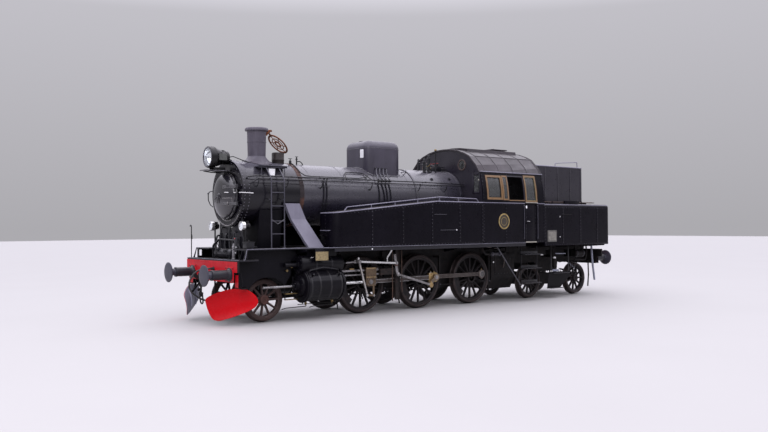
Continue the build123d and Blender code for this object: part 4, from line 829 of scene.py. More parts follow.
def plough_point(s, z, depth):
    """A point of the blade: share along, height, and depth behind its hollow face."""
    n = (PLOUGH_B - PLOUGH_A).length
    u = (PLOUGH_B - PLOUGH_A) / n
    out = Vector((-u.y * -1, u.x * -1, 0))
    tilt = math.radians(14.0)
    axis = Vector((u.x * math.cos(tilt), u.y * math.cos(tilt), math.sin(tilt)))
    mid = (PLOUGH_A + PLOUGH_B) / 2 + Vector((0, 0, 0.445))
    c = mid + out * (PLOUGH_R - PLOUGH_SAG)
    base = PLOUGH_A + u * (n * s) + Vector((0, 0, z))
    r = PLOUGH_R + depth
    w = base - c
    wp, op = w - axis * w.dot(axis), out - axis * out.dot(axis)
    a, b, k = op.dot(op), 2 * wp.dot(op), wp.dot(wp) - r * r
    disc = max(0.0, b * b - 4 * a * k)
    return base + out * ((-b - math.sqrt(disc)) / (2 * a))


def plough(side):
    n, rings = 84, 16
    loop = smooth_loop(LEAF, n)
    cx, cz = 0.50, 0.45
    centre = Vector((cx, cz))
    verts, faces, mi = [], [], []

    def put(depth_of, share_of):
        start = len(verts)
        for k in range(rings):
            f = 1.0 - (k / rings) ** 1.0 if k else 1.0
            for p in loop:
                q = centre.lerp(p, f * share_of)
                verts.append(plough_point(q.x, q.y, depth_of))
        verts.append(plough_point(cx, cz, depth_of))
        return start

    front = put(0.0, 0.987)
    back = put(0.014, 0.987)
    lip = len(verts)
    for d in (0.003, 0.011):
        for p in loop:
            verts.append(plough_point(p.x, p.y, d))
    for start, m_id in ((front, 0), (back, 1)):
        for k in range(rings - 1):
            for j in range(n):
                a, b = start + k * n + j, start + k * n + (j + 1) % n
                faces.append((a, b, b + n, a + n))
                mi.append(m_id)
        c = start + rings * n
        for j in range(n):
            faces.append((start + (rings - 1) * n + j, start + (rings - 1) * n + (j + 1) % n, c))
            mi.append(m_id)
    for j in range(n):
        j2 = (j + 1) % n
        for a, b, m_id in ((front, lip, 0), (lip, lip + n, 0), (lip + n, back, 1)):
            faces.append((a + j, a + j2, b + j2, b + j))
            mi.append(m_id)
    m = M()
    m.v, m.f, m.mi = [tuple(v) for v in verts], faces, mi
    # bolt heads where the stays meet the blade, and a stiffening bar down the back
    for s, z in ((0.30, 0.62), (0.30, 0.56), (0.66, 0.64), (0.66, 0.58)):
        p, q = plough_point(s, z, 0.0), plough_point(s, z, -0.01)
        m.lathe([(0.013, 0), (0.012, 0.004), (0.006, 0.007), (0, 0.0075)], p, q - p, 12, 0, caps=False)
    for s in (0.30, 0.66):
        pts = [plough_point(s, z, 0.030) for z in (0.30, 0.38, 0.46, 0.54, 0.62, 0.68)]
        m.tube(pts, 0.018, 8, 1)
    if side < 0:
        m.v = [(x, -y, z) for x, y, z in m.v]
    return m


for s, name in ((1, "left"), (-1, "right")):
    plough(s).obj(f"rail_plough_{name}", "chassis", ["plough_red", "plough_back"], "red_paint", 50, ("rail_ploughs",))

# ------------------------------------------------------------------ buffers
m = M()
for sx in (1, -1):
    for y in (0.88, -0.88):
        o, ax = (sx * 6.100, y, 1.060), (sx, 0, 0)
        m.lathe([(0, 0.0), (0.140, 0.0), (0.145, 0.004), (0.145, 0.026), (0.141, 0.030), (0.122, 0.031), (0.112, 0.042), (0.1035, 0.070), (0.102, 0.10),
                 (0.102, 0.392), (0.108, 0.396), (0.108, 0.424), (0.105, 0.428), (0.080, 0.428)], o, ax, 44, 1, caps=False)
        m.lathe([(0.079, 0.41), (0.076, 0.412), (0.076, 0.548), (0.088, 0.556), (0.150, 0.562), (0.208, 0.566), (0.217, 0.572), (0.220, 0.580),
                 (0.219, 0.586), (0.212, 0.5905), (0.17, 0.5945), (0.09, 0.5985), (0, 0.600)], o, ax, 56, 0, caps=False)
        for i in range(4):
            a = PI / 4 + i * PI / 2
            m.bolt((sx * 6.128, y + 0.128 * math.cos(a), 1.06 + 0.128 * math.sin(a)), ax, 0.011, 0.010, 1, False)
        m.box(sx * 6.10, sx * 6.112, y - 0.175, y + 0.175, 0.90, 1.22, 2 if sx > 0 else 1, 0.004)
        for i, k in ((-1, -1), (-1, 1), (1, -1), (1, 1)):
            m.bolt((sx * 6.112, y + i * 0.145, 1.06 + k * 0.13), ax, 0.014, 0.012, 1, False)
m.obj("buffer_set", "chassis", ["buffer", "sleeve", "beam_red"], "buffer_paint", 40, ("buffers",))


# ------------------------------------------------------------------ draw hooks and screw couplings
def hook_gear(m, sx):
    X = lambda d: sx * (6.100 + d)
    m.box(X(0.0), X(0.018), -0.16, 0.16, 0.955, 1.185, 2 if sx > 0 else 0, 0.004)
    for y in (-0.125, 0.125):
        for z in (0.99, 1.15):
            m.bolt((X(0.018), y, z), (sx, 0, 0), 0.016, 0.014, 0, False)
    m.box(X(-0.05), X(0.13), -0.030, 0.030, 1.040, 1.100, 0, 0.006)
    pts = [(0.12, 1.100), (0.20, 1.105), (0.255, 1.092), (0.285, 1.062), (0.296, 1.035), (0.318, 1.030), (0.330, 1.050), (0.338, 1.100), (0.352, 1.138),
           (0.372, 1.146), (0.392, 1.136), (0.400, 1.090), (0.398, 1.030), (0.380, 0.985), (0.345, 0.955), (0.29, 0.943), (0.22, 0.950), (0.16, 0.985), (0.12, 1.035)]
    slab_y(m, [(X(a), z) for a, z in pts], -0.025, 0.025, 0, 0.007)
    # coupling hung from the hook: two links, trunnions and a screw with its weighted handle
    xc = X(0.228)
    m.cyl((xc, -0.078, 1.000), (xc, 0.078, 1.000), 0.016, 16, 0, 0.003)
    for y in (-0.062, 0.062):
        slab_y(m, capsule((xc, 1.000), (xc, 0.800), 0.026, 8), y - 0.008, y + 0.008, 0, 0.002)
    m.cyl((xc, -0.074, 0.800), (xc, 0.074, 0.800), 0.020, 16, 0, 0.003)
    m.cyl((xc, 0, 0.828), (xc, 0, 0.560), 0.020, 18, 0, 0.003)
    for i in range(16):
        z = 0.58 + i * 0.013
        m.ring((xc, 0, z), (0, 0, 1), 0.018, 0.0235, 0, 0.006, 16, 0)
    m.cyl((xc, -0.074, 0.640), (xc, 0.074, 0.640), 0.022, 16, 0, 0.003)
    loop = [(xc, 0.062, 0.640), (xc - sx * 0.01, 0.070, 0.52), (xc - sx * 0.02, 0.060, 0.44), (xc - sx * 0.02, 0.0, 0.405), (xc - sx * 0.02, -0.060, 0.44),
            (xc - sx * 0.01, -0.070, 0.52), (xc, -0.062, 0.640)]
    m.tube(loop, 0.016, 10, 0, fillet=0.05)
    m.tube([(xc, 0, 0.735), (xc + sx * 0.035, 0, 0.735), (xc + sx * 0.055, 0.0, 0.72)], 0.009, 8, 0)
    m.lathe([(0, 0), (0.022, 0.008), (0.030, 0.035), (0.022, 0.062), (0, 0.070)], (xc + sx * 0.055, 0, 0.75), (0, 0, -1), 14, 0, caps=False)


m = M()
for sx in (1, -1):
    hook_gear(m, sx)
m.lathe([(0.0, 0), (0.044, 0), (0.044, 0.013), (0.034, 0.016), (0.030, 0.03), (0.027, 0.034), (0.027, 0.060), (0.031, 0.061), (0.031, 0.0695), (0.0, 0.070)],
        (6.100, 0.150, 1.160), (1, 0, 0), 24, 1, caps=False)
m.box(6.060, 6.090, 0.135, 0.165, 0.430, 0.895, 0, 0.004)
m.lathe([(0.0, 0), (0.042, 0), (0.042, 0.018), (0.034, 0.024), (0.027, 0.030), (0.027, 0.058), (0.031, 0.060), (0.031, 0.0745), (0.0, 0.075)],
        (6.090, 0.150, 0.482), (1, 0, 0), 24, 1, caps=False)
m.obj("couplings", "chassis", ["frame", "cock_iron", "beam_red"], "cast_iron", 35, ("draw_gear",))
# ------------------------------------------------------------------ smokebox
m = M()
shell = [(0.698, 4.200), (0.720, 4.200), (0.720, 5.520), (0.7335, 5.526), (0.7335, 5.690), (0.728, 5.699), (0.716, 5.700), (0.530, 5.700), (0.520, 5.697),
         (0.478, 5.697), (0.475, 5.694), (0.475, 5.662), (0.698, 5.660)]
m.lathe(shell, (0, 0, BZ), (1, 0, 0), 128, 0, closed=True)
m.lathe([(0, 4.205), (0.699, 4.205), (0.699, 4.235), (0, 4.235)], (0, 0, BZ), (1, 0, 0), 96, 0, caps=False)
# joint ring behind, with its rust run
m.ring((0, 0, BZ), (1, 0, 0), 0.700, 0.7265, 4.165, 4.275, 128, 1, 0.003)
for i in range(52):
    d = 360 / 52 * i + 2
    for x in (4.188, 4.252):
        m.rivet(on_boiler(x, d, 0.7265), radial(d), 0.013, 0.009, 8, 1)
# two rows of rivets on the front band, one round the front plate
for i in range(60):
    d = 6.0 * i + 1.5
    for x in (5.552, 5.662):
        m.rivet(on_boiler(x, d, 0.7335), radial(d), 0.0115, 0.008, 8, 3)
    if i % 2 == 0:
        m.rivet(on_boiler(5.700, d, 0.675), (1, 0, 0), 0.011, 0.007, 8, 3)
for i in range(56):
    d = 360 / 56 * i
    m.rivet(on_boiler(4.950, d, 0.720), radial(d), 0.0095, 0.006, 8, 0) if not 60 < d < 120 else None
# pot behind the chimney, with its cover and bolts
m.lathe([(0.0, 3.44), (0.172, 3.44), (0.172, 3.462), (0.160, 3.475), (0.141, 3.482), (0.141, 3.560), (0.1445, 3.565), (0.1445, 3.585), (0.141, 3.590),
         (0.141, 3.722), (0.130, 3.742), (0.05, 3.747), (0.0, 3.748)], (4.42, 0, 0), (0, 0, 1), 48, 2, caps=False)
for i in range(8):
    a = PI / 4 * i + 0.3
    m.bolt((4.42 + 0.155 * math.cos(a), 0.155 * math.sin(a), 3.470), (0, 0, 1), 0.011, 0.012, 0, False)
m.obj("smokebox_plates", "chassis", ["smokebox", "rust_stain", "pot", "rivet_pale"], "smokebox_black", 35, ("smokebox",))

# ------------------------------------------------------------------ smokebox door
DZ, DX = 2.728, 5.703
m = M()
prof = [(0, DX), (0.503, DX), (0.510, DX + 0.005), (0.511, DX + 0.034), (0.505, DX + 0.041), (0.492, DX + 0.043), (0.484, DX + 0.050)]
for i in range(15):
    t = i / 14
    r = 0.484 * math.cos(t * PI / 2) ** 0.92 if i < 14 else 0.0
    prof.append((max(0.0, r), DX + 0.066 + 0.128 * math.sin(t * PI / 2) ** 1.15))
m.lathe(prof, (0, 0, DZ), (1, 0, 0), 96, 0, caps=False)
m.ring((0, 0, DZ), (1, 0, 0), 0.497, 0.515, DX + 0.012, DX + 0.030, 96, 1, 0.004)
# clamps round the rim
for i in range(14):
    d = 360 / 14 * i + 8
    u = Vector((0, math.cos(math.radians(d)), math.sin(math.radians(d))))
    t = Vector((0, -u.z, u.y))
    if u.y > 0.86:
        continue
    mat4 = Matrix(((1, u.x, t.x, DX + 0.050), (0, u.y, t.y, u.y * 0.486), (0, u.z, t.z, DZ + u.z * 0.486), (0, 0, 0, 1)))
    m.box(-0.012, 0.012, -0.030, 0.026, -0.022, 0.022, 0, 0.004, mat4)
    m.bolt((DX + 0.060, u.y * 0.486, DZ + u.z * 0.486), (1, 0, 0), 0.011, 0.016, 0, False)


def on_door(y, z, lift=0.0):
    r = math.hypot(y, z - DZ)
    t = math.acos(min(1.0, (min(r, 0.4839) / 0.484) ** (1 / 0.92))) / (PI / 2)
    return Vector((DX + 0.066 + 0.128 * math.sin(t * PI / 2) ** 1.15 + lift, y, z))


# centre boss with its locking handles
m.lathe([(0.0, 0), (0.062, 0.0), (0.060, 0.012), (0.043, 0.020), (0.043, 0.036), (0.030, 0.044), (0, 0.0445)], (5.8925, 0, DZ), (1, 0, 0), 32, 0, caps=False)
for a, x in ((205, 5.925), (250, 5.914)):
    d = Vector((0, math.cos(math.radians(a)), math.sin(math.radians(a))))
    p, q = Vector((x, 0, DZ)), Vector((x, 0, DZ)) + d * 0.17
    m.tube([p, p.lerp(q, 0.6), q], [0.013, 0.010, 0.012], 8, 0)
# strap hinges
for z in (DZ + 0.18, DZ - 0.18):
    pts = [on_door(y, z, 0.010) for y in (0.16, 0.24, 0.32, 0.38, 0.42)] + [Vector((5.785, 0.470, z)), Vector((5.762, 0.520, z)), Vector((5.760, 0.555, z))]
    for dz in (-0.022, 0.0, 0.022):
        m.tube([p + Vector((0, 0, dz)) for p in pts], 0.0125, 8, 0)
    m.cyl((5.760, 0.575, z - 0.030), (5.760, 0.575, z + 0.030), 0.024, 18, 0, 0.003)
    for y in (0.20, 0.30, 0.40):
        m.rivet(on_door(y, z, 0.020), (1, 0, 0), 0.012, 0.008, 8, 0)
# pale grab bar across to the near side
pts = [on_door(0.262, 2.792, 0.0), on_door(0.268, 2.792, 0.040), Vector((5.800, 0.40, 2.788)), Vector((5.775, 0.545, 2.782))]
m.tube(pts, 0.010, 8, 2, fillet=0.03)
m.cyl(on_door(0.262, 2.792, -0.004), on_door(0.262, 2.792, 0.006), 0.022, 14, 0, 0.002)
# blank plate outline with a knob
for a, b in (((0.150, 2.672), (0.440, 2.668)), ((0.440, 2.668), (0.430, 2.520)), ((0.430, 2.520), (0.300, 2.505))):
    pts = [on_door(a[0] + (b[0] - a[0]) * k / 5, a[1] + (b[1] - a[1]) * k / 5, 0.003) for k in range(6)]
    m.tube(pts, 0.0055, 6, 3)
p = on_door(0.338, 2.560)
m.lathe([(0.018, 0), (0.018, 0.012), (0.026, 0.018), (0.026, 0.030), (0.012, 0.038), (0, 0.039)], p, (1, 0, 0), 16, 3, caps=False)
m.obj("smokebox_door_dish", "smokebox_door", ["door", "door_rim", "bright", "dull_edge"], "smokebox_black", 40, ("smokebox_door",))

m = M()
# hinge post brackets, grab bar on the band, handrail on the far side
for z in (DZ + 0.18, DZ - 0.18):
    for dz in (-0.050, 0.032):
        m.box(5.700, 5.778, 0.556, 0.594, z + dz, z + dz + 0.018, 0, 0.003)
    m.cyl((5.760, 0.575, z - 0.052), (5.760, 0.575, z + 0.052), 0.010, 12, 0, 0.002)
m.tube([(5.702, 0.640, 2.780), (5.770, 0.655, 2.780), (5.760, 0.730, 2.778), (5.690, 0.765, 2.775), (5.480, 0.768, 2.769), (5.470, 0.735, 2.769)], 0.010, 8, 1, fillet=0.03)
m.tube([(5.690, -0.735, 2.860), (5.740, -0.790, 2.850), (5.770, -0.795, 2.80), (5.770, -0.790, 2.66), (5.745, -0.740, 2.55), (5.700, -0.690, 2.50)], 0.011, 8, 0, fillet=0.05)
m.lathe([(0.0, 0), (0.02, 0.004), (0.024, 0.02), (0.014, 0.034), (0, 0.036)], (5.770, -0.793, 2.79), (0, 0, 1), 12, 0, caps=False)
# pale arcs on the frame's rim, low down: painted highlights
for r, a0, a1, x in ((0.548, 205, 292, 5.704), (0.700, 235, 320, 5.704)):
    pts = [(x, r * math.cos(math.radians(a)), (DZ if r < 0.6 else BZ) + r * math.sin(math.radians(a))) for a in range(a0, a1 + 1, 4)]
    m.tube(pts, 0.0075, 6, 2)
m.obj("smokebox_front_fittings", "chassis", ["smokebox", "bright", "dull_edge"], "smokebox_black", 40)

# ------------------------------------------------------------------ chimney and its lid
CX = 4.970
m = M()
foot = []
N = 96
for r, lift in ((0.352, 0.006), (0.352, 0.022), (0.330, 0.034), (0.285, 0.075), (0.247, 0.135), (0.222, 0.190), (0.206, 0.235), (0.200, 0.262)):
    ring = []
    for j in range(N):
        a = 2 * PI * j / N
        x, y = CX + r * math.cos(a), r * math.sin(a)
        seat = BZ + math.sqrt(RS * RS - y * y)
        flat = BZ + math.sqrt(RS * RS - 0.2 ** 2)
        k = min(1.0, lift / 0.262)
        z = (seat * (1 - k) + flat * k) + lift * 0.62
        ring.append((x, y, z))
    foot.append(ring)
verts = [p for ring in foot for p in ring]
m.add(verts, [(i * N + j, i * N + (j + 1) % N, (i + 1) * N + (j + 1) % N, (i + 1) * N + j) for i in range(len(foot) - 1) for j in range(N)], 0)
m.lathe([(0.200, 3.615), (0.201, 3.66), (0.206, 3.886), (0.2135, 4.170), (0.216, 4.186), (0.226, 4.196), (0.255, 4.200), (0.262, 4.207), (0.262, 4.240),
         (0.257, 4.252), (0.247, 4.268), (0.238, 4.272), (0.176, 4.272), (0.169, 4.262), (0.167, 3.62), (0.167, 3.44), (0.150, 3.44), (0.150, 3.62)],
        (CX, 0, 0), (0, 0, 1), 72, 0, caps=False)
m.ring((CX, 0, 0), (0, 0, 1), 0.204, 0.2145, 3.940, 3.962, 72, 0, 0.002)
for i in range(14):
    a = 2 * PI * (i + 0.5) / 14
    x, y = CX + 0.328 * math.cos(a), 0.328 * math.sin(a)
    m.bolt((x, y, BZ + math.sqrt(RS * RS - y * y) + 0.018), (0, y, 0.66), 0.013, 0.012, 0, False)
for y in (-0.060, 0.044):
    slab_y(m, [(4.605, 4.205), (4.715, 4.203), (4.720, 4.244), (4.640, 4.250), (4.608, 4.246)], y, y + 0.016, 1, 0.002)
    slab_y(m, [(4.66, 4.205), (4.735, 4.110), (4.768, 4.110), (4.73, 4.205)], y + 0.002, y + 0.014, 1, 0.002)
m.obj("chimney_casting", "chassis", ["chimney", "rust"], "smokebox_black", 35, ("chimney",))

# lid: rusty rim, hub ring and curved spokes, folded back behind the lip
ang = math.radians(225.0)
HX, HZ = 4.623, 4.229


def lid_place(p):
    """Closed position to the open one: turned about the hinge."""
    x, y, z = p
    dx, dz = x - HX, z - HZ
    c, s = math.cos(ang), math.sin(ang)
    return (HX + dx * c - dz * s, y, HZ + dx * s + dz * c)


m = M()
zt = 4.280
m.lathe([(0.236, zt), (0.246, zt - 0.001), (0.280, zt + 0.001), (0.282, zt + 0.005), (0.282, zt + 0.013), (0.276, zt + 0.018), (0.240, zt + 0.018), (0.235, zt + 0.013)],
        (CX, 0, 0), (0, 0, 1), 72, 0, closed=True)
m.ring((CX, 0, 0), (0, 0, 1), 0.150, 0.172, zt + 0.003, zt + 0.014, 56, 0, 0.002)
m.ring((CX, 0, 0), (0, 0, 1), 0.052, 0.095, zt, zt + 0.018, 48, 0, 0.003)
for i in range(6):
    a = PI / 3 * i
    pts = [(CX + r * math.cos(a + (r - 0.09) * 0.9), r * math.sin(a + (r - 0.09) * 0.9), zt + 0.009) for r in (0.085, 0.12, 0.16, 0.20, 0.245)]
    m.tube(pts, [0.011, 0.009, 0.009, 0.009, 0.012], 8, 0)
m.box(4.611, 4.722, -0.030, 0.030, 4.282, 4.298, 0, 0.003)
m.box(4.609, 4.637, -0.030, 0.030, 4.229, 4.298, 0, 0.004)
m.cyl((HX, -0.030, HZ), (HX, 0.030, HZ), 0.016, 20, 0, 0.002)
m.cyl((HX, -0.066, HZ), (HX, 0.066, HZ), 0.0082, 14, 0, 0.001)
m.v = [lid_place(p) for p in m.v]
m.obj("chimney_spark_lid", "chimney_lid", "rust", "rusty_iron", 40, ("chimney_lid",))

# ------------------------------------------------------------------ boiler and firebox cladding
m = M()
m.lathe([(0, 0.850), (0.700, 0.850), (0.712, 0.852), (0.712, 4.199), (0, 4.199)], (0, 0, BZ), (1, 0, 0), 144, 0, caps=False)
for x in (3.930, 3.010, 2.420, 1.020):
    m.ring((0, 0, BZ), (1, 0, 0), 0.706, 0.7165, x - 0.030, x + 0.030, 144, 0, 0.002)
    for d in (72, 108):
        m.bolt(on_boiler(x, d, 0.7165), radial(d), 0.009, 0.012, 0, False)
m.obj("boiler_cladding", "chassis", "cladding", "black_paint", 30, ("boiler",))
m = M()
m.lathe([(0, -0.7495), (0.730, -0.7495), (0.730, 0.846), (0.726, 0.850), (0, 0.850)], (0, 0, BZ), (1, 0, 0), 144, 0, caps=False)
m.box(-0.740, 0.740, -0.530, 0.530, 1.250, BZ, 1, 0.01)
for x in (0.800, 0.05, -0.70):
    m.ring((0, 0, BZ), (1, 0, 0), 0.722, 0.7345, x - 0.028, x + 0.028, 144, 0, 0.002)
m.obj("firebox_cladding", "chassis", ["cladding", "frame"], "black_paint", 30, ("firebox",))

# ------------------------------------------------------------------ dome casing's moulding, lid seam and plate
m = M()


def dome_outline(grow, n=10):
    """Rounded plan of the casing, grown outwards."""
    x0, x1, y1, r = 1.140 - grow, 2.215 + grow, 0.505 + grow, 0.210 + grow
    pts = []
    for cx, cy, a0 in ((x1 - r, y1 - r, 0), (x0 + r, y1 - r, 90), (x0 + r, -y1 + r, 180), (x1 - r, -y1 + r, 270)):
        for i in range(n + 1):
            a = math.radians(a0 + 90 * i / n)
            pts.append((cx + r * math.cos(a), cy + r * math.sin(a)))
    dense = []
    for (ax, ay), (bx, by) in zip(pts, pts[1:] + pts[:1]):
        k = max(1, int(math.hypot(bx - ax, by - ay) / 0.07))
        dense += [(ax + (bx - ax) * i / k, ay + (by - ay) * i / k) for i in range(k)]
    return dense


plan = dome_outline(0.006)
m.tube([(x, y, BZ + math.sqrt(RB * RB - min(abs(y), 0.70) ** 2) + 0.006) for x, y in plan], 0.016, 8, 0, closed=True)
plan = dome_outline(0.030)
flange_in, flange_out = dome_outline(0.0), dome_outline(0.045)
for (x, y) in dome_outline(0.028)[::4]:
    yy = min(abs(y), 0.70)
    m.bolt((x, y, BZ + math.sqrt(RB * RB - yy * yy) + 0.003), (0, y, math.sqrt(RB * RB - yy * yy)), 0.010, 0.010, 0, False)
m.tube([(x, y, 3.962) for x, y in dome_outline(0.0)], 0.0045, 6, 0, closed=True)
for (x, y) in dome_outline(0.001)[::3]:
    n = Vector((x - 1.6775, y * 1.4, 0)) if abs(y) < 0.3 else Vector((0 if 1.35 < x < 2.0 else (x - 1.6775) * 0.6, y, 0))
    m.rivet((x, y, 3.945), n, 0.007, 0.004, 8, 0)
# handles of the sand lids on the top, and the small blank plate in front
for x in (1.40, 1.95):
    m.lathe([(0.12, 0), (0.12, 0.006), (0.10, 0.0085), (0, 0.0095)], (x, 0, 4.1515), (0, 0, 1), 36, 0, caps=False)
    m.tube([(x - 0.05, 0, 4.155), (x - 0.05, 0, 4.160), (x + 0.05, 0, 4.160), (x + 0.05, 0, 4.155)], 0.004, 6, 0)
p = M()
slab_x(p, rounded_rect(0.205, 0.335, 3.722, 3.925, 0.02), 2.2135, 2.2195, 0, 0.001)
slab_x(p, rounded_rect(0.218, 0.322, 3.738, 3.909, 0.012), 2.2190, 2.2205, 1, 0.0003)
p.obj("dome_blank_plate", "chassis", ["enamel", "enamel_dull"], "black_paint", 40)
m.obj("dome_mouldings", "chassis", "cladding", "black_paint", 40)

# ------------------------------------------------------------------ pipes and rails along the boiler
m = M()
# handrail with its knobs: along the near side and mirrored on the far side
rail = [(5.345, 0.800, 3.083), (-0.745, 0.800, 3.083)]
m.tube([(5.516, 0.780, 2.990), (5.500, 0.800, 3.010), (5.400, 0.800, 3.078), (5.300, 0.800, 3.083), (-0.748, 0.800, 3.083)], 0.013, 10, 0, fillet=0.05)
for x in (5.37, 4.64, 3.72, 2.31, 0.80, -0.10):
    d = math.degrees(math.atan2(3.083 - BZ, 0.800))
    base = on_boiler(x, d - 9, RS if x > 4.2 else RB)
    top = Vector((x, 0.800, 3.083))
    m.tube([base, base + radial(d - 9) * 0.05, Vector((x, 0.815, 3.045)), top], 0.010, 8, 0, fillet=0.02)
    m.lathe([(0.0, -0.020), (0.018, -0.014), (0.022, 0.0), (0.018, 0.014), (0, 0.020)], top, (1, 0, 0), 14, 0, caps=False)
    m.lathe([(0.026, 0), (0.026, 0.006), (0.016, 0.012), (0, 0.012)], base, radial(d - 9), 14, 0, caps=False)
m.mirrored()
# the upper pipe, near side: from the front band back to the dome and on to the cab
m.tube([(5.600, 0.660, 3.075), (5.590, 0.715, 3.120), (5.400, 0.725, 3.145), (4.200, 0.725, 3.150), (2.300, 0.725, 3.150), (0.60, 0.735, 3.150), (-0.600, 0.735, 3.130),
        (-0.748, 0.735, 3.128)], 0.0145, 10, 0, fillet=0.06)
for x in (5.30, 4.50, 3.75, 3.00, 2.35, 0.55, -0.35):
    m.ring((x, 0.725 if x > 0.6 else 0.735, 3.150), (1, 0, 0), 0.014, 0.021, -0.010, 0.010, 14, 0, 0.002)
    m.tube([(x, 0.700, 3.145), (x, 0.580, 3.140 + 0.03)], 0.006, 6, 0)
# curved pipe that rises to the fitting behind the pot
m.tube([(4.215, 0.235, 3.500), (4.205, 0.34, 3.450), (4.190, 0.46, 3.362), (4.172, 0.590, 3.255), (4.08, 0.640, 3.195), (3.90, 0.655, 3.185), (2.60, 0.655, 3.185),
        (2.35, 0.620, 3.220), (2.22, 0.540, 3.320)], 0.012, 10, 0, fillet=0.09)
# double pipe down to the running board
for dx in (0.0, -0.085):
    pts = [(3.615 + dx, 0.700, 3.150)] + [tuple(on_boiler(3.640 + dx - 0.02 * math.sin(math.radians(d * 2)), d, 0.735)) for d in (24, 12, 0, -12, -24, -34)] + \
        [(3.65 + dx, 0.600, 2.20), (3.66 + dx, 0.620, 1.90), (3.66 + dx, 0.640, 1.585)]
    m.tube(pts, 0.013, 8, 0, fillet=0.05)
for d in (14, -16):
    m.tube([tuple(on_boiler(3.70, d, 0.722)), tuple(on_boiler(3.70, d, 0.752)), tuple(on_boiler(3.48, d, 0.752)), tuple(on_boiler(3.48, d, 0.722))], 0.006, 6, 0)
# pipe round the front of the dome casing
m.tube([(3.000, 0.700, 3.160), (2.960, 0.620, 3.240), (2.900, 0.50, 3.315), (2.700, 0.500, 3.330), (2.420, 0.500, 3.325), (2.330, 0.530, 3.300), (2.280, 0.600, 3.225), (2.24, 0.69, 3.165)],
       0.012, 8, 0, fillet=0.06)
# gauge valves on top, behind the pot
m.cyl((4.215, 0.20, 3.455), (4.215, 0.20, 3.560), 0.030, 16, 0, 0.004)
m.cyl((4.215, 0.20, 3.560), (4.215, 0.20, 3.600), 0.012, 10, 0)
m.box(4.165, 4.265, 0.192, 0.208, 3.600, 3.612, 0, 0.003)
m.cyl((3.98, 0.10, 3.470), (3.98, 0.10, 3.660), 0.016, 12, 0, 0.003)
m.ring((3.98, 0.10, 3.600), (0, 0, 1), 0.015, 0.030, 0, 0.016, 16, 0, 0.003)
m.box(3.940, 4.020, 0.094, 0.106, 3.664, 3.676, 0, 0.003)
m.tube([(3.98, 0.10, 3.560), (3.90, 0.12, 3.560), (3.86, 0.14, 3.520), (3.84, 0.15, 3.462)], 0.012, 8, 0, fillet=0.03)
m.obj("boiler_rails_and_pipes", "chassis", "pipe_black", "black_paint", 40)

# four sand pipes from the casing down over the barrel, both sides
m = M()
for s in (1, -1):
    for k, (xt, xm, xl) in enumerate(((1.980, 2.030, 2.022), (1.880, 1.920, 1.840), (1.771, 1.807, 1.766), (1.665, 1.695, 1.658))):
        top = [(xt, s * 0.500, 3.455), (xt, s * 0.535, 3.452), (xt + 0.02, s * 0.575, 3.330), (xm, s * 0.690, 3.175)]
        m.tube(top, 0.0135, 8, 0, fillet=0.03)
        m.lathe([(0.026, 0), (0.026, 0.012), (0.018, 0.016), (0.018, 0.040), (0, 0.040)], (xt, s * 0.500, 3.455), (0, s, 0), 14, 1, caps=False)
        ring = [(xm, s * 0.690, 3.175)]
        for d in (24, 12, 0, -10, -20):
            q = on_boiler(xm + (xl - xm) * (24 - d) / 44, d, 0.732)
            ring.append((q.x, s * q.y, q.z))
        ring += [(xl, s * 0.700, 2.46), (xl, s * 0.80, 2.40), (xl, s * 0.86, 2.36)]
        m.tube(ring, 0.0125, 8, 1, fillet=0.03)
        m.ring((xm, s * 0.688, 3.178), (0.05, s * 0.55, -0.6), 0.012, 0.021, -0.014, 0.014, 14, 1, 0.002)
    m.box(1.64, 2.06, s * 0.688, s * 0.700, 3.118, 3.138, 1, 0.003)
    # pale bent pipe behind the casing
    m.tube([(1.135, s * 0.480, 3.395), (1.060, s * 0.500, 3.405), (1.000, s * 0.480, 3.430), (0.940, s * 0.420, 3.455), (0.900, s * 0.360, 3.430), (0.890, s * 0.350, 3.390)], 0.013, 8, 0, fillet=0.05)
m.obj("sand_pipes", "chassis", ["pipe_pale", "pipe_black"], "black_paint", 40)

# ------------------------------------------------------------------ ladders, their platform and the white plate
m = M()
for s in (1, -1):
    for x in (5.090, 4.766):
        m.tube([(x, s * 0.850, 1.584), (x, s * 0.850, 3.030), (x - 0.003, s * 0.838, 3.090), (x - 0.010, s * 0.600, 3.352)], 0.0145, 10, 0, fillet=0.06)
        m.lathe([(0.034, 0), (0.034, 0.008), (0.020, 0.014), (0, 0.014)], (x, s * 0.850, 1.584), (0, 0, 1), 14, 0, caps=False)
        m.tube([(x, s * 0.850, 2.640), (x, s * 0.730, 2.640)], 0.010, 8, 0)
    for z in (1.890, 2.170, 2.496, 2.789, 3.030):
        m.cyl((4.766, s * 0.850, z), (5.090, s * 0.850, z), 0.0105, 12, 0)
    m.tube([(5.088, s * 0.850, 2.205), (4.930, s * 0.850, 2.108), (4.768, s * 0.850, 2.205)], 0.0105, 10, 1)
    # platform over the ladder
    m.box(4.560, 5.280, s * 0.430, s * 0.640, 3.352, 3.378, 0, 0.003)
    m.box(4.560, 5.280, s * 0.632, s * 0.640, 3.340, 3.392, 0, 0.002)
    for x in (4.62, 5.20):
        m.tube([(x, s * 0.620, 3.350), (x, s * 0.628, 3.180)], 0.010, 8, 0)
        m.box(x - 0.012, x + 0.012, s * 0.30, s * 0.62, 3.330, 3.354, 0, 0.002)
    for i in range(9):
        m.box(4.60 + i * 0.075, 4.625 + i * 0.075, s * 0.45, s * 0.62, 3.378, 3.383, 0, 0.001)
m.obj("ladder_pair", "chassis", ["ladder", "ladder_pale"], "black_paint", 40)
m = M()
slab_y(m, [(4.868, 3.172), (5.008, 3.172), (5.022, 3.322), (4.855, 3.322)], 0.612, 0.618, 0, 0.001)
m.box(4.90, 4.98, 0.606, 0.613, 3.30, 3.36, 1, 0.002)
m.obj("ladder_blank_plate", "chassis", ["enamel", "black"], "black_paint", 40)
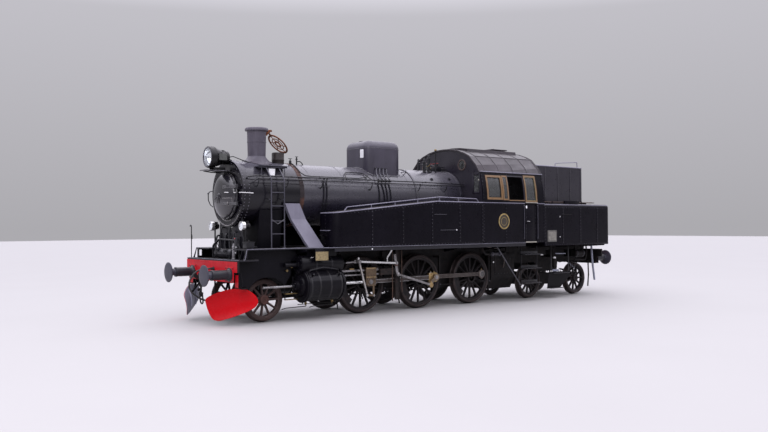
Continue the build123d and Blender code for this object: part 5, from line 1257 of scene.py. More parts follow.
# ------------------------------------------------------------------ lamps and their shelf
m = M()
LZ = 3.560
# bell: dark rim, bowl, glass
m.lathe([(0.236, 6.040), (0.236, 6.150), (0.230, 6.168), (0.216, 6.176), (0.200, 6.170), (0.198, 6.150)], (0, 0, LZ), (1, 0, 0), 72, 0, caps=False)
m.lathe([(0.198, 6.150), (0.190, 6.100), (0.160, 6.040), (0.110, 5.995), (0.05, 5.975), (0, 5.972)], (0, 0, LZ), (1, 0, 0), 64, 1, caps=False)
m.ring((0, 0, LZ), (1, 0, 0), 0.196, 0.214, 6.158, 6.1775, 72, 2, 0.003)
# the back of the bell, in steps, to a round lamp body
m.lathe([(0.236, 6.040), (0.228, 6.030), (0.212, 6.020), (0.196, 5.960), (0.176, 5.900), (0.158, 5.860), (0.150, 5.850), (0.150, 5.720), (0.140, 5.705), (0, 5.700)],
        (0, 0, LZ), (1, 0, 0), 64, 0, caps=False)
m.ring((0, 0, LZ), (1, 0, 0), 0.20, 0.239, 6.046, 6.060, 72, 0, 0.002)
m.ring((0, 0, LZ), (1, 0, 0), 0.148, 0.158, 5.770, 5.790, 48, 0, 0.002)
for a in range(0, 360, 60):
    t = math.radians(a + 15)
    m.rivet((6.112, 0.235 * math.cos(t), LZ + 0.235 * math.sin(t)), (0, math.cos(t), math.sin(t)), 0.010, 0.006, 10, 0)
# hood box with a blank panel on each side, vent on top
m.box(5.801, 6.004, -0.205, 0.205, 3.482, 3.638, 0, 0.010)
for s in (1, -1):
    m.box(5.806, 6.000, s * 0.203, s * 0.2125, 3.486, 3.634, 0, 0.003)
    slab_y(m, rounded_rect(5.812, 5.994, 3.492, 3.628, 0.008), s * 0.2115, s * 0.2145, 3, 0.001)
m.box(5.80, 5.94, -0.060, 0.060, 3.690, 3.722, 0, 0.008)
# foot under the lamp
m.prism([(5.80, 3.34), (6.10, 3.34), (6.06, 3.28), (5.80, 3.28)], (0, -0.09, 0), (1, 0, 0), (0, 0, 1), -0.012, 0.0, 0, 0.002)
m.prism([(5.80, 3.34), (6.10, 3.34), (6.06, 3.28), (5.80, 3.28)], (0, 0.10, 0), (1, 0, 0), (0, 0, 1), -0.012, 0.0, 0, 0.002)
m.cyl((5.94, 0, 3.28), (5.94, 0, 3.335), 0.055, 24, 0, 0.004)
for y in (-0.07, 0.07):
    for x in (5.85, 6.02):
        m.bolt((x, y, 3.2805), (0, 0, 1), 0.011, 0.012, 0)
# shelf with a turned-down lip, and stays back to the smokebox
slab_z(m, rounded_rect(5.701, 6.290, -0.150, 0.150, 0.03), 3.263, 3.279, 0, 0.003)
m.tube([(6.284, -0.146, 3.266), (6.284, 0.146, 3.266)], 0.006, 8, 2)
m.tube([(6.280, 0.147, 3.268), (5.72, 0.147, 3.268)], 0.0055, 8, 2)
for y in (-0.13, 0.13):
    m.tube([(6.20, y, 3.262), (6.02, y, 3.240), (5.80, y, 3.235), (5.66, y, 3.30), (5.60, y, 3.42)], 0.012, 10, 0, fillet=0.08)
    m.tube([(5.72, y, 3.52), (5.66, y, 3.50), (5.60, y, 3.46)], 0.012, 10, 0, fillet=0.03)
    m.cyl((5.595, y, 3.44), (5.62, y, 3.44), 0.028, 16, 0, 0.003)
# cable conduit from the lamp
m.tube([(5.71, 0.03, 3.56), (5.60, 0.06, 3.60), (5.42, 0.13, 3.525), (5.28, 0.22, 3.47)], 0.010, 8, 0, fillet=0.08)
m.obj("head_lamp", "chassis", ["lamp_black", "reflector", "lamp_rim", "blank_dark"], "black_paint", 32, ("front_lamps",))
m = M()
m.lathe([(0, 6.1665), (0.12, 6.166), (0.196, 6.160), (0.196, 6.157), (0, 6.162)], (0, 0, LZ), (1, 0, 0), 64, 0, caps=False)
m.obj("head_lamp_glass", "chassis", "lens_clear", "lamp_metal", 40)
m = M()
m.lathe([(0, 6.05), (0.03, 6.048), (0.042, 6.02), (0.03, 5.985), (0, 5.975)], (0, 0, LZ), (1, 0, 0), 24, 0, caps=False)
m.obj("head_lamp_bulb", "chassis", "lens", "lamp_metal", 40)

m = M()
for s in (1, -1):
    c = (0, s * 0.72, 2.068)
    m.lathe([(0.104, 5.690), (0.104, 5.744), (0.098, 5.758), (0.088, 5.7595), (0.080, 5.755), (0.078, 5.735)], c, (1, 0, 0), 48, 1, caps=False)
    m.lathe([(0.104, 5.690), (0.100, 5.680), (0.086, 5.665), (0.074, 5.648), (0.070, 5.640), (0.070, 5.575), (0.062, 5.562), (0, 5.5605)], c, (1, 0, 0), 40, 0, caps=False)
    m.lathe([(0.079, 5.736), (0.055, 5.748), (0, 5.754)], c, (1, 0, 0), 40, 2, caps=False)
    # round chimney of the lamp, flange, post with its foot and a brace
    m.lathe([(0.045, 2.130), (0.045, 2.155), (0.052, 2.158), (0.052, 2.164), (0, 2.172)], (5.62, s * 0.72, 0), (0, 0, 1), 24, 0, caps=False)
    m.ring(c, (1, 0, 0), 0.069, 0.076, 5.600, 5.612, 32, 0, 0.001)
    m.tube([(5.640, s * 0.72, 2.005), (5.640, s * 0.72, 1.586)], 0.017, 14, 0)
    m.lathe([(0.034, 1.996), (0.034, 2.006), (0.022, 2.012), (0.018, 2.03)], (5.640, s * 0.72, 0), (0, 0, 1), 20, 0, caps=False)
    m.lathe([(0, 1.5835), (0.045, 1.5835), (0.045, 1.594), (0.024, 1.604), (0.018, 1.63)], (5.640, s * 0.72, 0), (0, 0, 1), 20, 0, caps=False)
    m.tube([(5.640, s * 0.72, 1.80), (5.56, s * 0.70, 1.60)], 0.009, 8, 0)
m.obj("front_small_lamps", "chassis", ["lamp_black", "bright", "lens"], "black_paint", 32)

# ------------------------------------------------------------------ buffer beam: red outer faces, rivets
m = M()
BEAM_LO, BEAM_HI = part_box("buffer_beams")
bx1 = BEAM_HI[0]
bz0, bz1 = BEAM_LO[2], BEAM_HI[2]
by1 = BEAM_HI[1]
BEAM = [(1.197, 1.329), (-1.197, 1.329), (-1.197, 1.109), (-1.043, 1.109), (-0.963, 0.898), (0.963, 0.898), (1.043, 1.109), (1.197, 1.109)]
slab_x(m, BEAM, bx1 - 0.0005, bx1 + 0.0025, 0, 0.0)
for y in [-1.17 + 0.117 * i for i in range(21)]:
    for z in ((1.135 if abs(y) > 0.95 else 0.925), 1.302):
        m.rivet((bx1 + 0.002, y, z), (1, 0, 0), 0.012, 0.007, 10, 0)
m.obj("front_beam_face", "chassis", "beam_red", "red_paint", 30)
m = M()
bxr = BEAM_LO[0]
slab_x(m, BEAM, bxr - 0.0025, bxr + 0.0005, 0, 0.0)
for y in [-1.17 + 0.117 * i for i in range(21)]:
    for z in ((1.135 if abs(y) > 0.95 else 0.925), 1.302):
        m.rivet((bxr - 0.002, y, z), (-1, 0, 0), 0.012, 0.007, 10, 0)
m.obj("rear_beam_face", "chassis", "beam_red", "red_paint", 30)

# ------------------------------------------------------------------ front platform and what stands on it
m = M()
DX0, DX1, DZ = 5.600, 6.090, 1.392
DECK_LO, DECK_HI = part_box("running_boards")
# chequered top of the deck with a bright front edge, worn and with a painted highlight
m.box(5.88, 6.086, -1.20, 1.20, bz1 + 0.0305, bz1 + 0.0325, 0, 0.0)
m.tube([(6.088, -1.24, bz1 + 0.028), (6.088, 1.24, bz1 + 0.028)], 0.0045, 8, 1)
for s in (1, -1):
    # painted highlights along the edges of the slope at each end of the platform and of the board above
    m.tube([(5.953, s * 1.2025, bz1 + 0.034), (5.920, s * 1.2025, bz1 + 0.036), (5.873, s * 1.2025, 1.583)], 0.006, 8, 1)
    m.tube([(5.872, s * 1.2025, 1.583), (4.70, s * 1.2025, 1.583)], 0.005, 8, 1)
    m.tube([(4.70, s * 1.200, 1.585), (3.905, s * 1.4945, 1.585), (-2.345, s * 1.4945, 1.585)], 0.005, 8, 1)
    m.lathe([(0, 0), (0.016, 0), (0.016, 0.005), (0, 0.0055)], (2.850, s * 1.4925, 1.530), (0, s, 0), 16, 4, caps=False)
    m.box(5.845, 5.857, s * 1.001, s * 1.185, 1.345, 1.560, 2, 0.0)
    # rivets along the valance, its corner plate and foot step on the beam's end
    for x in [4.72 + 0.12 * i for i in range(8)]:
        m.rivet((x, s * 1.0005, 1.50), (0, s, 0), 0.011, 0.006, 8, 2)
    for x in [4.80 + 0.14 * i for i in range(9)]:
        m.rivet((x, s * 1.0005, 1.285), (0, s, 0), 0.011, 0.006, 8, 2)
    for z in [0.84 + 0.11 * i for i in range(4)]:
        m.rivet((6.000, s * 1.0005, z), (0, s, 0), 0.011, 0.006, 8, 2)
    slab_x(m, [(s * 1.005, 0.80), (s * 1.145, 0.80), (s * 1.145, 1.06), (s * 1.005, 1.06)], 6.0455, 6.0485, 3, 0.0)
    m.tube([(6.0, s * 1.155, 0.802), (6.0, s * 1.255, 0.80), (6.0, s * 1.255, 0.90), (6.02, s * 1.2, 1.10)], 0.011, 10, 2, fillet=0.03)
    m.box(5.90, 6.04, s * 1.165, s * 1.28, 0.772, 0.784, 2, 0.003)
m.obj("front_deck_trim", "chassis", ["deck_top", "edge_wear_and_highlight", "valance", "beam_red", "enamel"], "black_paint", 32)

m = M()
# tall hooked post on the far side
m.tube([(6.015, -1.15, 1.35), (6.015, -1.15, 2.05), (6.020, -1.15, 2.085), (6.05, -1.13, 2.10), (6.07, -1.10, 2.07)], 0.011, 10, 0, fillet=0.02)
m.tube([(6.015, -1.15, 1.90), (5.99, -1.17, 1.86), (5.985, -1.18, 1.78)], 0.008, 8, 0)
m.lathe([(0, 1.343), (0.03, 1.343), (0.03, 1.36), (0.015, 1.372)], (6.015, -1.15, 0), (0, 0, 1), 16, 0, caps=False)
# T-shaped lamp iron with a white disc plate beside it
m.box(5.96, 5.975, -0.98, -0.70, 1.575, 1.59, 0, 0.003)
m.box(5.955, 5.98, -0.86, -0.82, 1.343, 1.59, 0, 0.003)
m.box(5.94, 5.99, -0.90, -0.78, 1.343, 1.352, 0, 0.002)
slab_x(m, rounded_rect(-0.80, -0.69, 1.415, 1.545, 0.01), 5.982, 5.986, 1, 0.001)
# pale upright column with collars beside the smokebox saddle
m.lathe([(0, 1.343), (0.060, 1.343), (0.060, 1.362), (0.038, 1.372), (0.036, 1.60), (0.045, 1.606), (0.045, 1.625), (0.030, 1.640), (0.028, 1.69), (0, 1.70)], (5.78, 0.45, 0), (0, 0, 1), 24, 2, caps=False)
m.obj("front_posts", "chassis", ["lamp_black", "enamel", "column_grey"], "black_paint", 32)

m = M()
# plate that closes the smokebox's support in front, its stiffeners and rivets
sad = [(-0.60, 1.363), (0.60, 1.363), (0.60, 1.70), (0.52, 1.90), (0.52, BZ - math.sqrt(0.70 ** 2 - 0.52 ** 2) - 0.02)]
sad += [(y, BZ - math.sqrt(0.735 ** 2 - y * y) - 0.012) for y in (0.40, 0.26, 0.13, 0.0, -0.13, -0.26, -0.40)]
sad += [(-0.52, BZ - math.sqrt(0.70 ** 2 - 0.52 ** 2) - 0.02), (-0.52, 1.90), (-0.60, 1.70)]
slab_x(m, sad, 5.602, 5.622, 0, 0.003)
for y in (-0.46, -0.16, 0.16, 0.46):
    m.box(5.622, 5.665, y - 0.010, y + 0.010, 1.363, 1.84, 0, 0.003)
for y in [-0.54 + 0.12 * i for i in range(10)]:
    m.rivet((5.622, y, 1.40), (1, 0, 0), 0.011, 0.007, 8, 0)
# reservoir across the platform on two straps
m.lathe([(0, -0.40), (0.06, -0.398), (0.098, -0.380), (0.105, -0.36), (0.105, 0.36), (0.098, 0.380), (0.06, 0.398), (0, 0.40)], (5.735, -0.02, 1.475), (0, 1, 0), 36, 0, caps=False)
for y in (-0.26, 0.22):
    m.ring((5.735, y, 1.475), (0, 1, 0), 0.104, 0.111, -0.02, 0.02, 36, 0, 0.002)
    m.box(5.68, 5.79, y - 0.03, y + 0.03, 1.362, 1.385, 0, 0.004)
# pipes and valves in front of the saddle, between the lamps


def lever(m, p, q, r, knob, mat=0, kmat=1):
    m.tube([p, q], r, 10, mat)
    m.lathe([(0, -knob), (knob * 0.7, -knob * 0.7), (knob, 0), (knob * 0.7, knob * 0.7), (0, knob)], q, Vector(q) - Vector(p), 16, kmat, caps=False)


for k, (y, z) in enumerate(((0.30, 1.70), (0.12, 1.86), (-0.08, 1.66), (-0.30, 1.80), (-0.52, 1.62))):
    m.tube([(5.60, y, z + 0.24), (5.69, y, z + 0.24), (5.72, y, z), (5.70, y + 0.05, 1.343)], 0.016 + 0.004 * (k % 3), 12, 0, fillet=0.06)
    m.ring((5.70, y, z + 0.10), (0, 0, 1), 0.012, 0.034, -0.02, 0.02, 18, 0, 0.003)
m.tube([(5.74, 0.62, 1.343), (5.74, 0.62, 1.62), (5.72, 0.40, 1.76), (5.72, -0.35, 1.78), (5.74, -0.62, 1.64), (5.74, -0.62, 1.343)], 0.022, 14, 0, fillet=0.10)
m.tube([(5.80, 0.30, 1.343), (5.80, 0.30, 1.50), (5.80, -0.10, 1.56), (5.80, -0.42, 1.50), (5.80, -0.42, 1.343)], 0.018, 12, 0, fillet=0.07)
for y, z in ((0.18, 1.53), (-0.22, 1.55)):
    m.cyl((5.76, y, z), (5.84, y, z), 0.045, 20, 0, 0.006)
    m.cyl((5.84, y, z), (5.87, y, z), 0.018, 12, 0, 0.002)
    m.ring((5.87, y, z), (1, 0, 0), 0.034, 0.042, 0, 0.009, 24, 0, 0.002)
    for a in range(4):
        t = math.radians(45 + 90 * a)
        m.tube([(5.8745, y, z), (5.8745, y + 0.037 * math.cos(t), z + 0.037 * math.sin(t))], 0.004, 6, 0)
# lubricator with a lid, and its pipes
m.box(5.64, 5.82, 0.92, 1.10, 1.586, 1.72, 0, 0.012)
m.box(5.63, 5.83, 0.91, 1.11, 1.720, 1.735, 0, 0.004)
m.cyl((5.73, 1.01, 1.735), (5.73, 1.01, 1.765), 0.02, 12, 0, 0.003)
for i in range(4):
    m.tube([(5.64, 0.94 + 0.045 * i, 1.63), (5.58, 0.94 + 0.045 * i, 1.63), (5.50, 0.90 + 0.03 * i, 1.592)], 0.006, 8, 0, fillet=0.03)
# white dots and the red lens on the near side
m.lathe([(0, 0.0), (0.016, 0.0), (0.016, 0.012), (0.010, 0.018), (0, 0.020)], (5.835, 0.60, 1.80), (1, 0, 0), 18, 2, caps=False)
m.lathe([(0, 0.0), (0.013, 0.0), (0.013, 0.010), (0, 0.014)], (5.835, 0.66, 1.62), (1, 0, 0), 18, 1, caps=False)
m.lathe([(0, 0.0), (0.013, 0.0), (0.013, 0.010), (0, 0.014)], (5.835, 0.63, 1.50), (1, 0, 0), 18, 1, caps=False)
m.tube([(5.83, 0.60, 1.343), (5.83, 0.62, 1.83)], 0.012, 10, 0)
m.box(5.815, 5.84, 0.575, 0.685, 1.47, 1.83, 0, 0.004)
m.obj("front_pipework", "chassis", ["pipe_black", "enamel", "red_glass"], "black_paint", 32)

# ------------------------------------------------------------------ steps below the cab and the rear tank
m = M()


def tread(m, x0, x1, y0, y1, z0, z1, s, mat=0, edge=1):
    m.box(x0, x1, s * y0, s * y1, z0, z1, mat, 0.003)
    m.box(x0 + 0.012, x1 - 0.012, s * (y1 - 0.010), s * (y1 - 0.0005), z1 - 0.003, z1 + 0.0005, edge, 0.0)
    n = int((x1 - x0) / 0.05)
    for i in range(1, n):
        m.box(x0 + (x1 - x0) * i / n - 0.006, x0 + (x1 - x0) * i / n + 0.006, s * (y0 + 0.02), s * (y1 - 0.02), z1 - 0.001, z1 + 0.0015, mat, 0.0)


for s in (1, -1):
    for x0, x1, z0, z1 in ((-3.010, -2.320, 1.255, 1.275), (-3.010, -2.320, 0.878, 0.896), (-2.990, -2.340, 0.478, 0.498)):
        tread(m, x0, x1, 1.3205, 1.4895, z0, z1, s)
        m.box(x0 + 0.004, x1 - 0.004, s * 1.3205, s * 1.327, z0, z1 + 0.070, 0, 0.002)
    m.box(-2.359, -2.347, s * 1.2965, s * 1.3195, 0.412, 1.554, 0, 0.003)
    m.box(-2.999, -2.981, s * 1.2965, s * 1.3195, 0.479, 1.481, 0, 0.003)
    for z in (1.50, 1.42, 1.24, 0.86, 0.52):
        m.bolt((-2.353, s * 1.3195, z), (0, s, 0), 0.008, 0.007, 0, False)
        if z < 1.45:
            m.bolt((-2.990, s * 1.3195, z), (0, s, 0), 0.008, 0.007, 0, False)
    m.tube([(-2.318, s * 1.308, 0.450), (-1.385, s * 1.308, 1.538)], 0.0155, 12, 1)
    m.cyl((-2.335, s * 1.296, 0.455), (-2.335, s * 1.322, 0.455), 0.022, 16, 0, 0.003)
    m.tube([(-2.24, s * 1.3, 0.56), (-2.277, s * 1.3, 0.741), (-2.36, s * 1.3, 0.83), (-2.48, s * 1.3, 0.886), (-2.64, s * 1.3, 0.905), (-2.80, s * 1.3, 0.874)], 0.010, 10, 0, fillet=0.08)
    # rear pair
    slab_y(m, [(-3.692, 0.733), (-4.638, 0.733), (-4.560, 0.562), (-4.160, 0.272), (-3.602, 0.272), (-3.642, 0.560)], s * 1.1505, s * 1.1635, 2, 0.002)
    tread(m, -4.408, -3.692, 1.165, 1.329, 0.691, 0.705, s)
    tread(m, -4.158, -3.602, 1.165, 1.329, 0.277, 0.289, s)
    for x in (-3.80, -4.56):
        m.box(x + 0.001, x + 0.039, s * 1.1505, s * 1.1635, 0.736, 1.482, 0, 0.002)
    for x in (-3.70, -3.95, -4.25, -4.50):
        m.bolt((x, s * 1.1635, 0.66), (0, s, 0), 0.009, 0.007, 0, False)
m.obj("cab_and_tank_steps", "chassis", ["pipe_black", "pipe_pale", "valance"], "black_paint", 32, ("steps_and_ladders",))
# ------------------------------------------------------------------ sheets a little inside the overall width, so that rivets and rails stay in it
SKIN_Y = 1.480


def sheet_y(z):
    """Outside of the cab's side sheet."""
    return cab_y(z) - 0.020 * max(0.0, min(1.0, (3.10 - z) / 0.40))


def plan_arc(cx, cy, r, a0, a1, n):
    return [(cx + r * math.cos(math.radians(a0 + (a1 - a0) * i / n)), cy + r * math.sin(math.radians(a0 + (a1 - a0) * i / n))) for i in range(n + 1)]


def shell(m, path, inner, z0, ztop, r, mat=0, seg=5, out=1):
    """A tank: walls along a plan path, a rounded top edge, a top that reaches in to inner(x, y)."""
    k = len(path)
    rings = []
    for i, (x, y) in enumerate(path):
        a, b = path[max(0, i - 1)], path[min(k - 1, i + 1)]
        t = Vector((b[0] - a[0], b[1] - a[1])).normalized()
        nx, ny = -t.y * out, t.x * out            # outwards
        zt = ztop(x)
        ring = [Vector((x, y, z0)), Vector((x, y, zt - r))]
        for j in range(1, seg + 1):
            q = PI / 2 * j / seg
            d = r * (1 - math.cos(q))
            ring.append(Vector((x - nx * d, y - ny * d, zt - r + r * math.sin(q))))
        ix, iy = inner(x, y)
        ring.append(Vector((ix, iy, zt)))
        ring.append(Vector((ix, iy, z0)))
        rings.append(ring)
    n = len(rings[0])
    verts = [p for ring in rings for p in ring]
    faces = [(i * n + j, i * n + j + 1, (i + 1) * n + j + 1, (i + 1) * n + j) for i in range(k - 1) for j in range(n - 1)]
    faces += [(i * n + n - 1, i * n, (i + 1) * n, (i + 1) * n + n - 1) for i in range(k - 1)]
    faces += [tuple(range(n - 1, -1, -1)), tuple((k - 1) * n + j for j in range(n))]
    return m.add(verts, faces, mat)


# ------------------------------------------------------------------ side tanks
TX0, TX1, TZ0 = -0.750, 3.850, 1.5835
m = M()
for s in (1, -1):
    path = [(TX1, 0.88 * s), (TX1, 1.10 * s), (TX1, (SKIN_Y - 0.21) * s)]
    path += [(x, s * y) for x, y in plan_arc(TX1 - 0.21, SKIN_Y - 0.21, 0.21, 4, 90, 14)]
    path += [(x, s * SKIN_Y) for x in (3.3, 2.5, 1.7, 1.2, 0.87, 0.85, 0.83, 0.4, -0.2, TX0)]
    shell(m, path, lambda x, y: (min(x, TX1 - 0.045), 0.88 * (1 if y > 0 else -1)), TZ0, tank_z, 0.040, 0, 5, -1 if s > 0 else 1)
m.obj("side_tank_sheets", "chassis", "tank", "black_paint", 38, ("side_tanks",))

m = M()
for s in (1, -1):
    for x in (2.833, 1.923, 1.004, 0.082, -0.72):
        m.box(x - 0.035, x + 0.035, s * (SKIN_Y - 0.002), s * (SKIN_Y + 0.0035), TZ0 + 0.05, tank_z(x) - 0.055, 0, 0.0015)
        z = TZ0 + 0.09
        while z < tank_z(x) - 0.08:
            m.rivet((x, s * (SKIN_Y + 0.003), z), (0, s, 0), 0.0095, 0.006, 8, 1)
            z += 0.088
    # bottom flange with its rivets, beading along the top, pale as a painted highlight
    m.box(TX0 + 0.01, TX1 - 0.215, s * (SKIN_Y - 0.002), s * (SKIN_Y + 0.004), TZ0 + 0.004, TZ0 + 0.055, 0, 0.0015)
    x = TX0 + 0.06
    while x < TX1 - 0.24:
        m.rivet((x, s * (SKIN_Y + 0.0035), TZ0 + 0.030), (0, s, 0), 0.009, 0.0055, 8, 1)
        m.rivet((x, s * (SKIN_Y + 0.0005), tank_z(x) - 0.062), (0, s, 0), 0.008, 0.005, 8, 1)
        x += 0.098
    bead = [(TX1 + 0.001, s * 0.90, tank_z(TX1) - 0.012)] + [(x + 0.001, s * (y + 0.001), tank_z(x) - 0.014) for x, y in plan_arc(TX1 - 0.21, SKIN_Y - 0.21, 0.205, 0, 90, 10)]
    bead += [(0.85, s * (SKIN_Y - 0.004), tank_z(0.85) - 0.014), (TX0, s * (SKIN_Y - 0.004), tank_z(TX0) - 0.014)]
    m.tube(bead, 0.0135, 10, 2)
    # rail along the tank top on short feet, pale as a painted highlight
    rail = [(3.48, s * 1.40, 2.478), (0.70, s * 1.40, 2.755), (-0.58, s * 1.40, 2.73)]
    m.tube([(3.56, s * 1.40, tank_z(3.56))] + rail + [(-0.66, s * 1.40, tank_z(-0.66))], 0.012, 10, 2, fillet=0.05)
    for x in (2.80, 2.10, 1.40, 0.70, 0.05):
        zr = 2.478 + (3.48 - x) * 0.277 / 2.78 if x > 0.7 else 2.755 - (0.7 - x) * 0.0195
        m.cyl((x, s * 1.40, tank_z(x) - 0.004), (x, s * 1.40, zr), 0.009, 10, 2, 0.001)
        m.ring((x, s * 1.40, tank_z(x)), (0, 0, 1), 0.008, 0.022, -0.002, 0.008, 14, 2, 0.002)
    # two flat grab bars on the side
    for x0, x1, z in ((0.539, 0.936, 2.326), (0.205, 0.742, 1.945)):
        m.tube([(x0, s * SKIN_Y, z), (x0 + 0.006, s * (SKIN_Y + 0.0135), z), (x1 - 0.006, s * (SKIN_Y + 0.0135), z), (x1, s * SKIN_Y, z)], 0.0055, 8, 1, fillet=0.005)
    m.lathe([(0.0, 0), (0.016, 0), (0.016, 0.010), (0.010, 0.0125), (0, 0.013)], (0.205, s * (SKIN_Y + 0.004), 1.945), (0, s, 0), 16, 3, caps=False)
    # front face: strap, grab bar, lamp bracket
    m.box(TX1 - 0.002, TX1 + 0.005, s * 1.075, s * 1.103, 1.62, 2.32, 0, 0.001)
    for i in range(8):
        m.rivet((TX1 + 0.0045, s * 1.089, 1.66 + 0.09 * i), (1, 0, 0), 0.008, 0.005, 8, 1)
    m.tube([(TX1, s * 0.93, 1.958), (TX1 + 0.045, s * 0.93, 1.958), (TX1 + 0.045, s * 1.27, 1.958), (TX1, s * 1.27, 1.958)], 0.009, 10, 2, fillet=0.015)
    m.box(TX1, TX1 + 0.050, s * 0.92, s * 1.20, 1.835, 1.855, 0, 0.003)
    m.box(TX1, TX1 + 0.010, s * 0.92, s * 1.20, 1.75, 1.855, 0, 0.002)
    m.tube([(TX1 + 0.045, s * 0.94, 1.84), (TX1 + 0.004, s * 0.94, 1.77)], 0.006, 8, 0)
    m.tube([(TX1 + 0.045, s * 1.18, 1.84), (TX1 + 0.004, s * 1.18, 1.77)], 0.006, 8, 0)
    # filler neck with its flange, hinge ears and clamp
    m.lathe([(0.155, 2.60), (0.170, 2.60), (0.170, 2.668), (0.182, 2.670), (0.182, 2.684), (0.170, 2.690), (0.155, 2.690)], (-0.300, s * 1.10, 0), (0, 0, 1), 48, 0, closed=True)
    m.ring((-0.300, s * 1.10, 0), (0, 0, 1), 0.168, 0.205, 2.650, 2.664, 48, 0, 0.003)
    for i in range(12):
        a = 2 * PI * i / 12
        m.bolt((-0.300 + 0.192 * math.cos(a), s * 1.10 + 0.192 * math.sin(a), 2.663), (0, 0, 1), 0.007, 0.008, 1, False)
m.obj("side_tank_fittings", "chassis", ["tank", "rivet_dark", "bead_painted_highlight", "enamel"], "black_paint", 35)

for s, side in ((1, "left"), (-1, "right")):
    m = M()
    c = (-0.300, s * 1.10, 0)
    m.lathe([(0, 2.6935), (0.180, 2.6935), (0.181, 2.698), (0.181, 2.708), (0.174, 2.713), (0.10, 2.719), (0.05, 2.721), (0, 2.7215)], c, (0, 0, 1), 48, 0, caps=False)
    for y in (-0.030, 0.030):
        m.box(-0.515, -0.440, s * 1.10 + y - 0.008, s * 1.10 + y + 0.008, 2.6935, 2.713, 0, 0.003)
    m.cyl((-0.505, s * 1.10 - 0.040, 2.688), (-0.505, s * 1.10 + 0.040, 2.688), 0.0155, 18, 0, 0.002)
    m.box(-0.16, -0.108, s * 1.10 - 0.014, s * 1.10 + 0.014, 2.696, 2.710, 0, 0.003)
    m.tube([(-0.36, s * 1.10 - 0.04, 2.716), (-0.36, s * 1.10 - 0.04, 2.745), (-0.24, s * 1.10 - 0.04, 2.745), (-0.24, s * 1.10 - 0.04, 2.716)], 0.007, 8, 0, fillet=0.012)
    m.obj(f"filler_lid_cover_{side}", f"filler_lid_{side}", "black", "black_paint", 35, (f"filler_lid_{side}",))

# ------------------------------------------------------------------ cab sides
WIN = ((-1.490, -0.905, 2.721, 3.357), (-2.335, -1.702, 2.700, 3.366), (-2.835, -2.365, 2.668, 3.395))
DOOR = (-2.790, -2.350, 1.5835, 2.618)
CX0, CX1 = -3.130, -0.750


def cab_strip(m, x0, x1, z0, z1, o0, o1, s, mat=0):
    """A bar that follows the side sheet, from o0 to o1 outside it."""
    zs = sorted({z0, z1} | {z for z in (2.70, 2.80, 2.90, 2.958, 3.10, 3.218) if z0 < z < z1})
    verts, n = [], len(zs)
    for z in zs:
        y = sheet_y(z)
        verts += [(x0, s * (y + o0), z), (x1, s * (y + o0), z), (x1, s * (y + o1), z), (x0, s * (y + o1), z)]
    faces = [(i * 4 + j, i * 4 + (j + 1) % 4, (i + 1) * 4 + (j + 1) % 4, (i + 1) * 4 + j) for i in range(n - 1) for j in range(4)]
    faces += [(3, 2, 1, 0), tuple((n - 1) * 4 + j for j in range(4))]
    return m.add(verts, faces, mat)


def sheet_grid(m, s, mat=0, t=0.028):
    holes = list(WIN) + [DOOR]
    xs = sorted({CX0, CX1} | {v for h in holes for v in h[:2]})
    zs = sorted({1.5835, 3.428, 2.80, 2.90, 2.958, 3.10, 3.218} | {v for h in holes for v in h[2:]})
    solid = {}
    for i in range(len(xs) - 1):
        for k in range(len(zs) - 1):
            xc, zc = (xs[i] + xs[i + 1]) / 2, (zs[k] + zs[k + 1]) / 2
            solid[i, k] = not any(h[0] < xc < h[1] and h[2] < zc < h[3] for h in holes)
    verts, faces = [], []

    def v(i, k, deep):
        verts.append((xs[i], s * (sheet_y(zs[k]) - deep), zs[k]))
        return len(verts) - 1

    cache = {}

    def g(i, k, d):
        if (i, k, d) not in cache:
            cache[i, k, d] = v(i, k, t if d else 0.0)
        return cache[i, k, d]

    for (i, k), ok in solid.items():
        if not ok:
            continue
        faces.append((g(i, k, 0), g(i + 1, k, 0), g(i + 1, k + 1, 0), g(i, k + 1, 0)))
        faces.append((g(i, k, 1), g(i, k + 1, 1), g(i + 1, k + 1, 1), g(i + 1, k, 1)))
        for (a, b), (p, q) in (((i - 1, k), ((i, k), (i, k + 1))), ((i + 1, k), ((i + 1, k), (i + 1, k + 1))),
                               ((i, k - 1), ((i, k), (i + 1, k))), ((i, k + 1), ((i, k + 1), (i + 1, k + 1)))):
            if not solid.get((a, b), False):
                faces.append((g(*p, 0), g(*q, 0), g(*q, 1), g(*p, 1)))
    return m.add(verts, faces, mat)


m = M()
for s in (1, -1):
    sheet_grid(m, s)
m.obj("cab_side_sheets", "chassis", "tank", "black_paint", 30, ("cab_sides",))

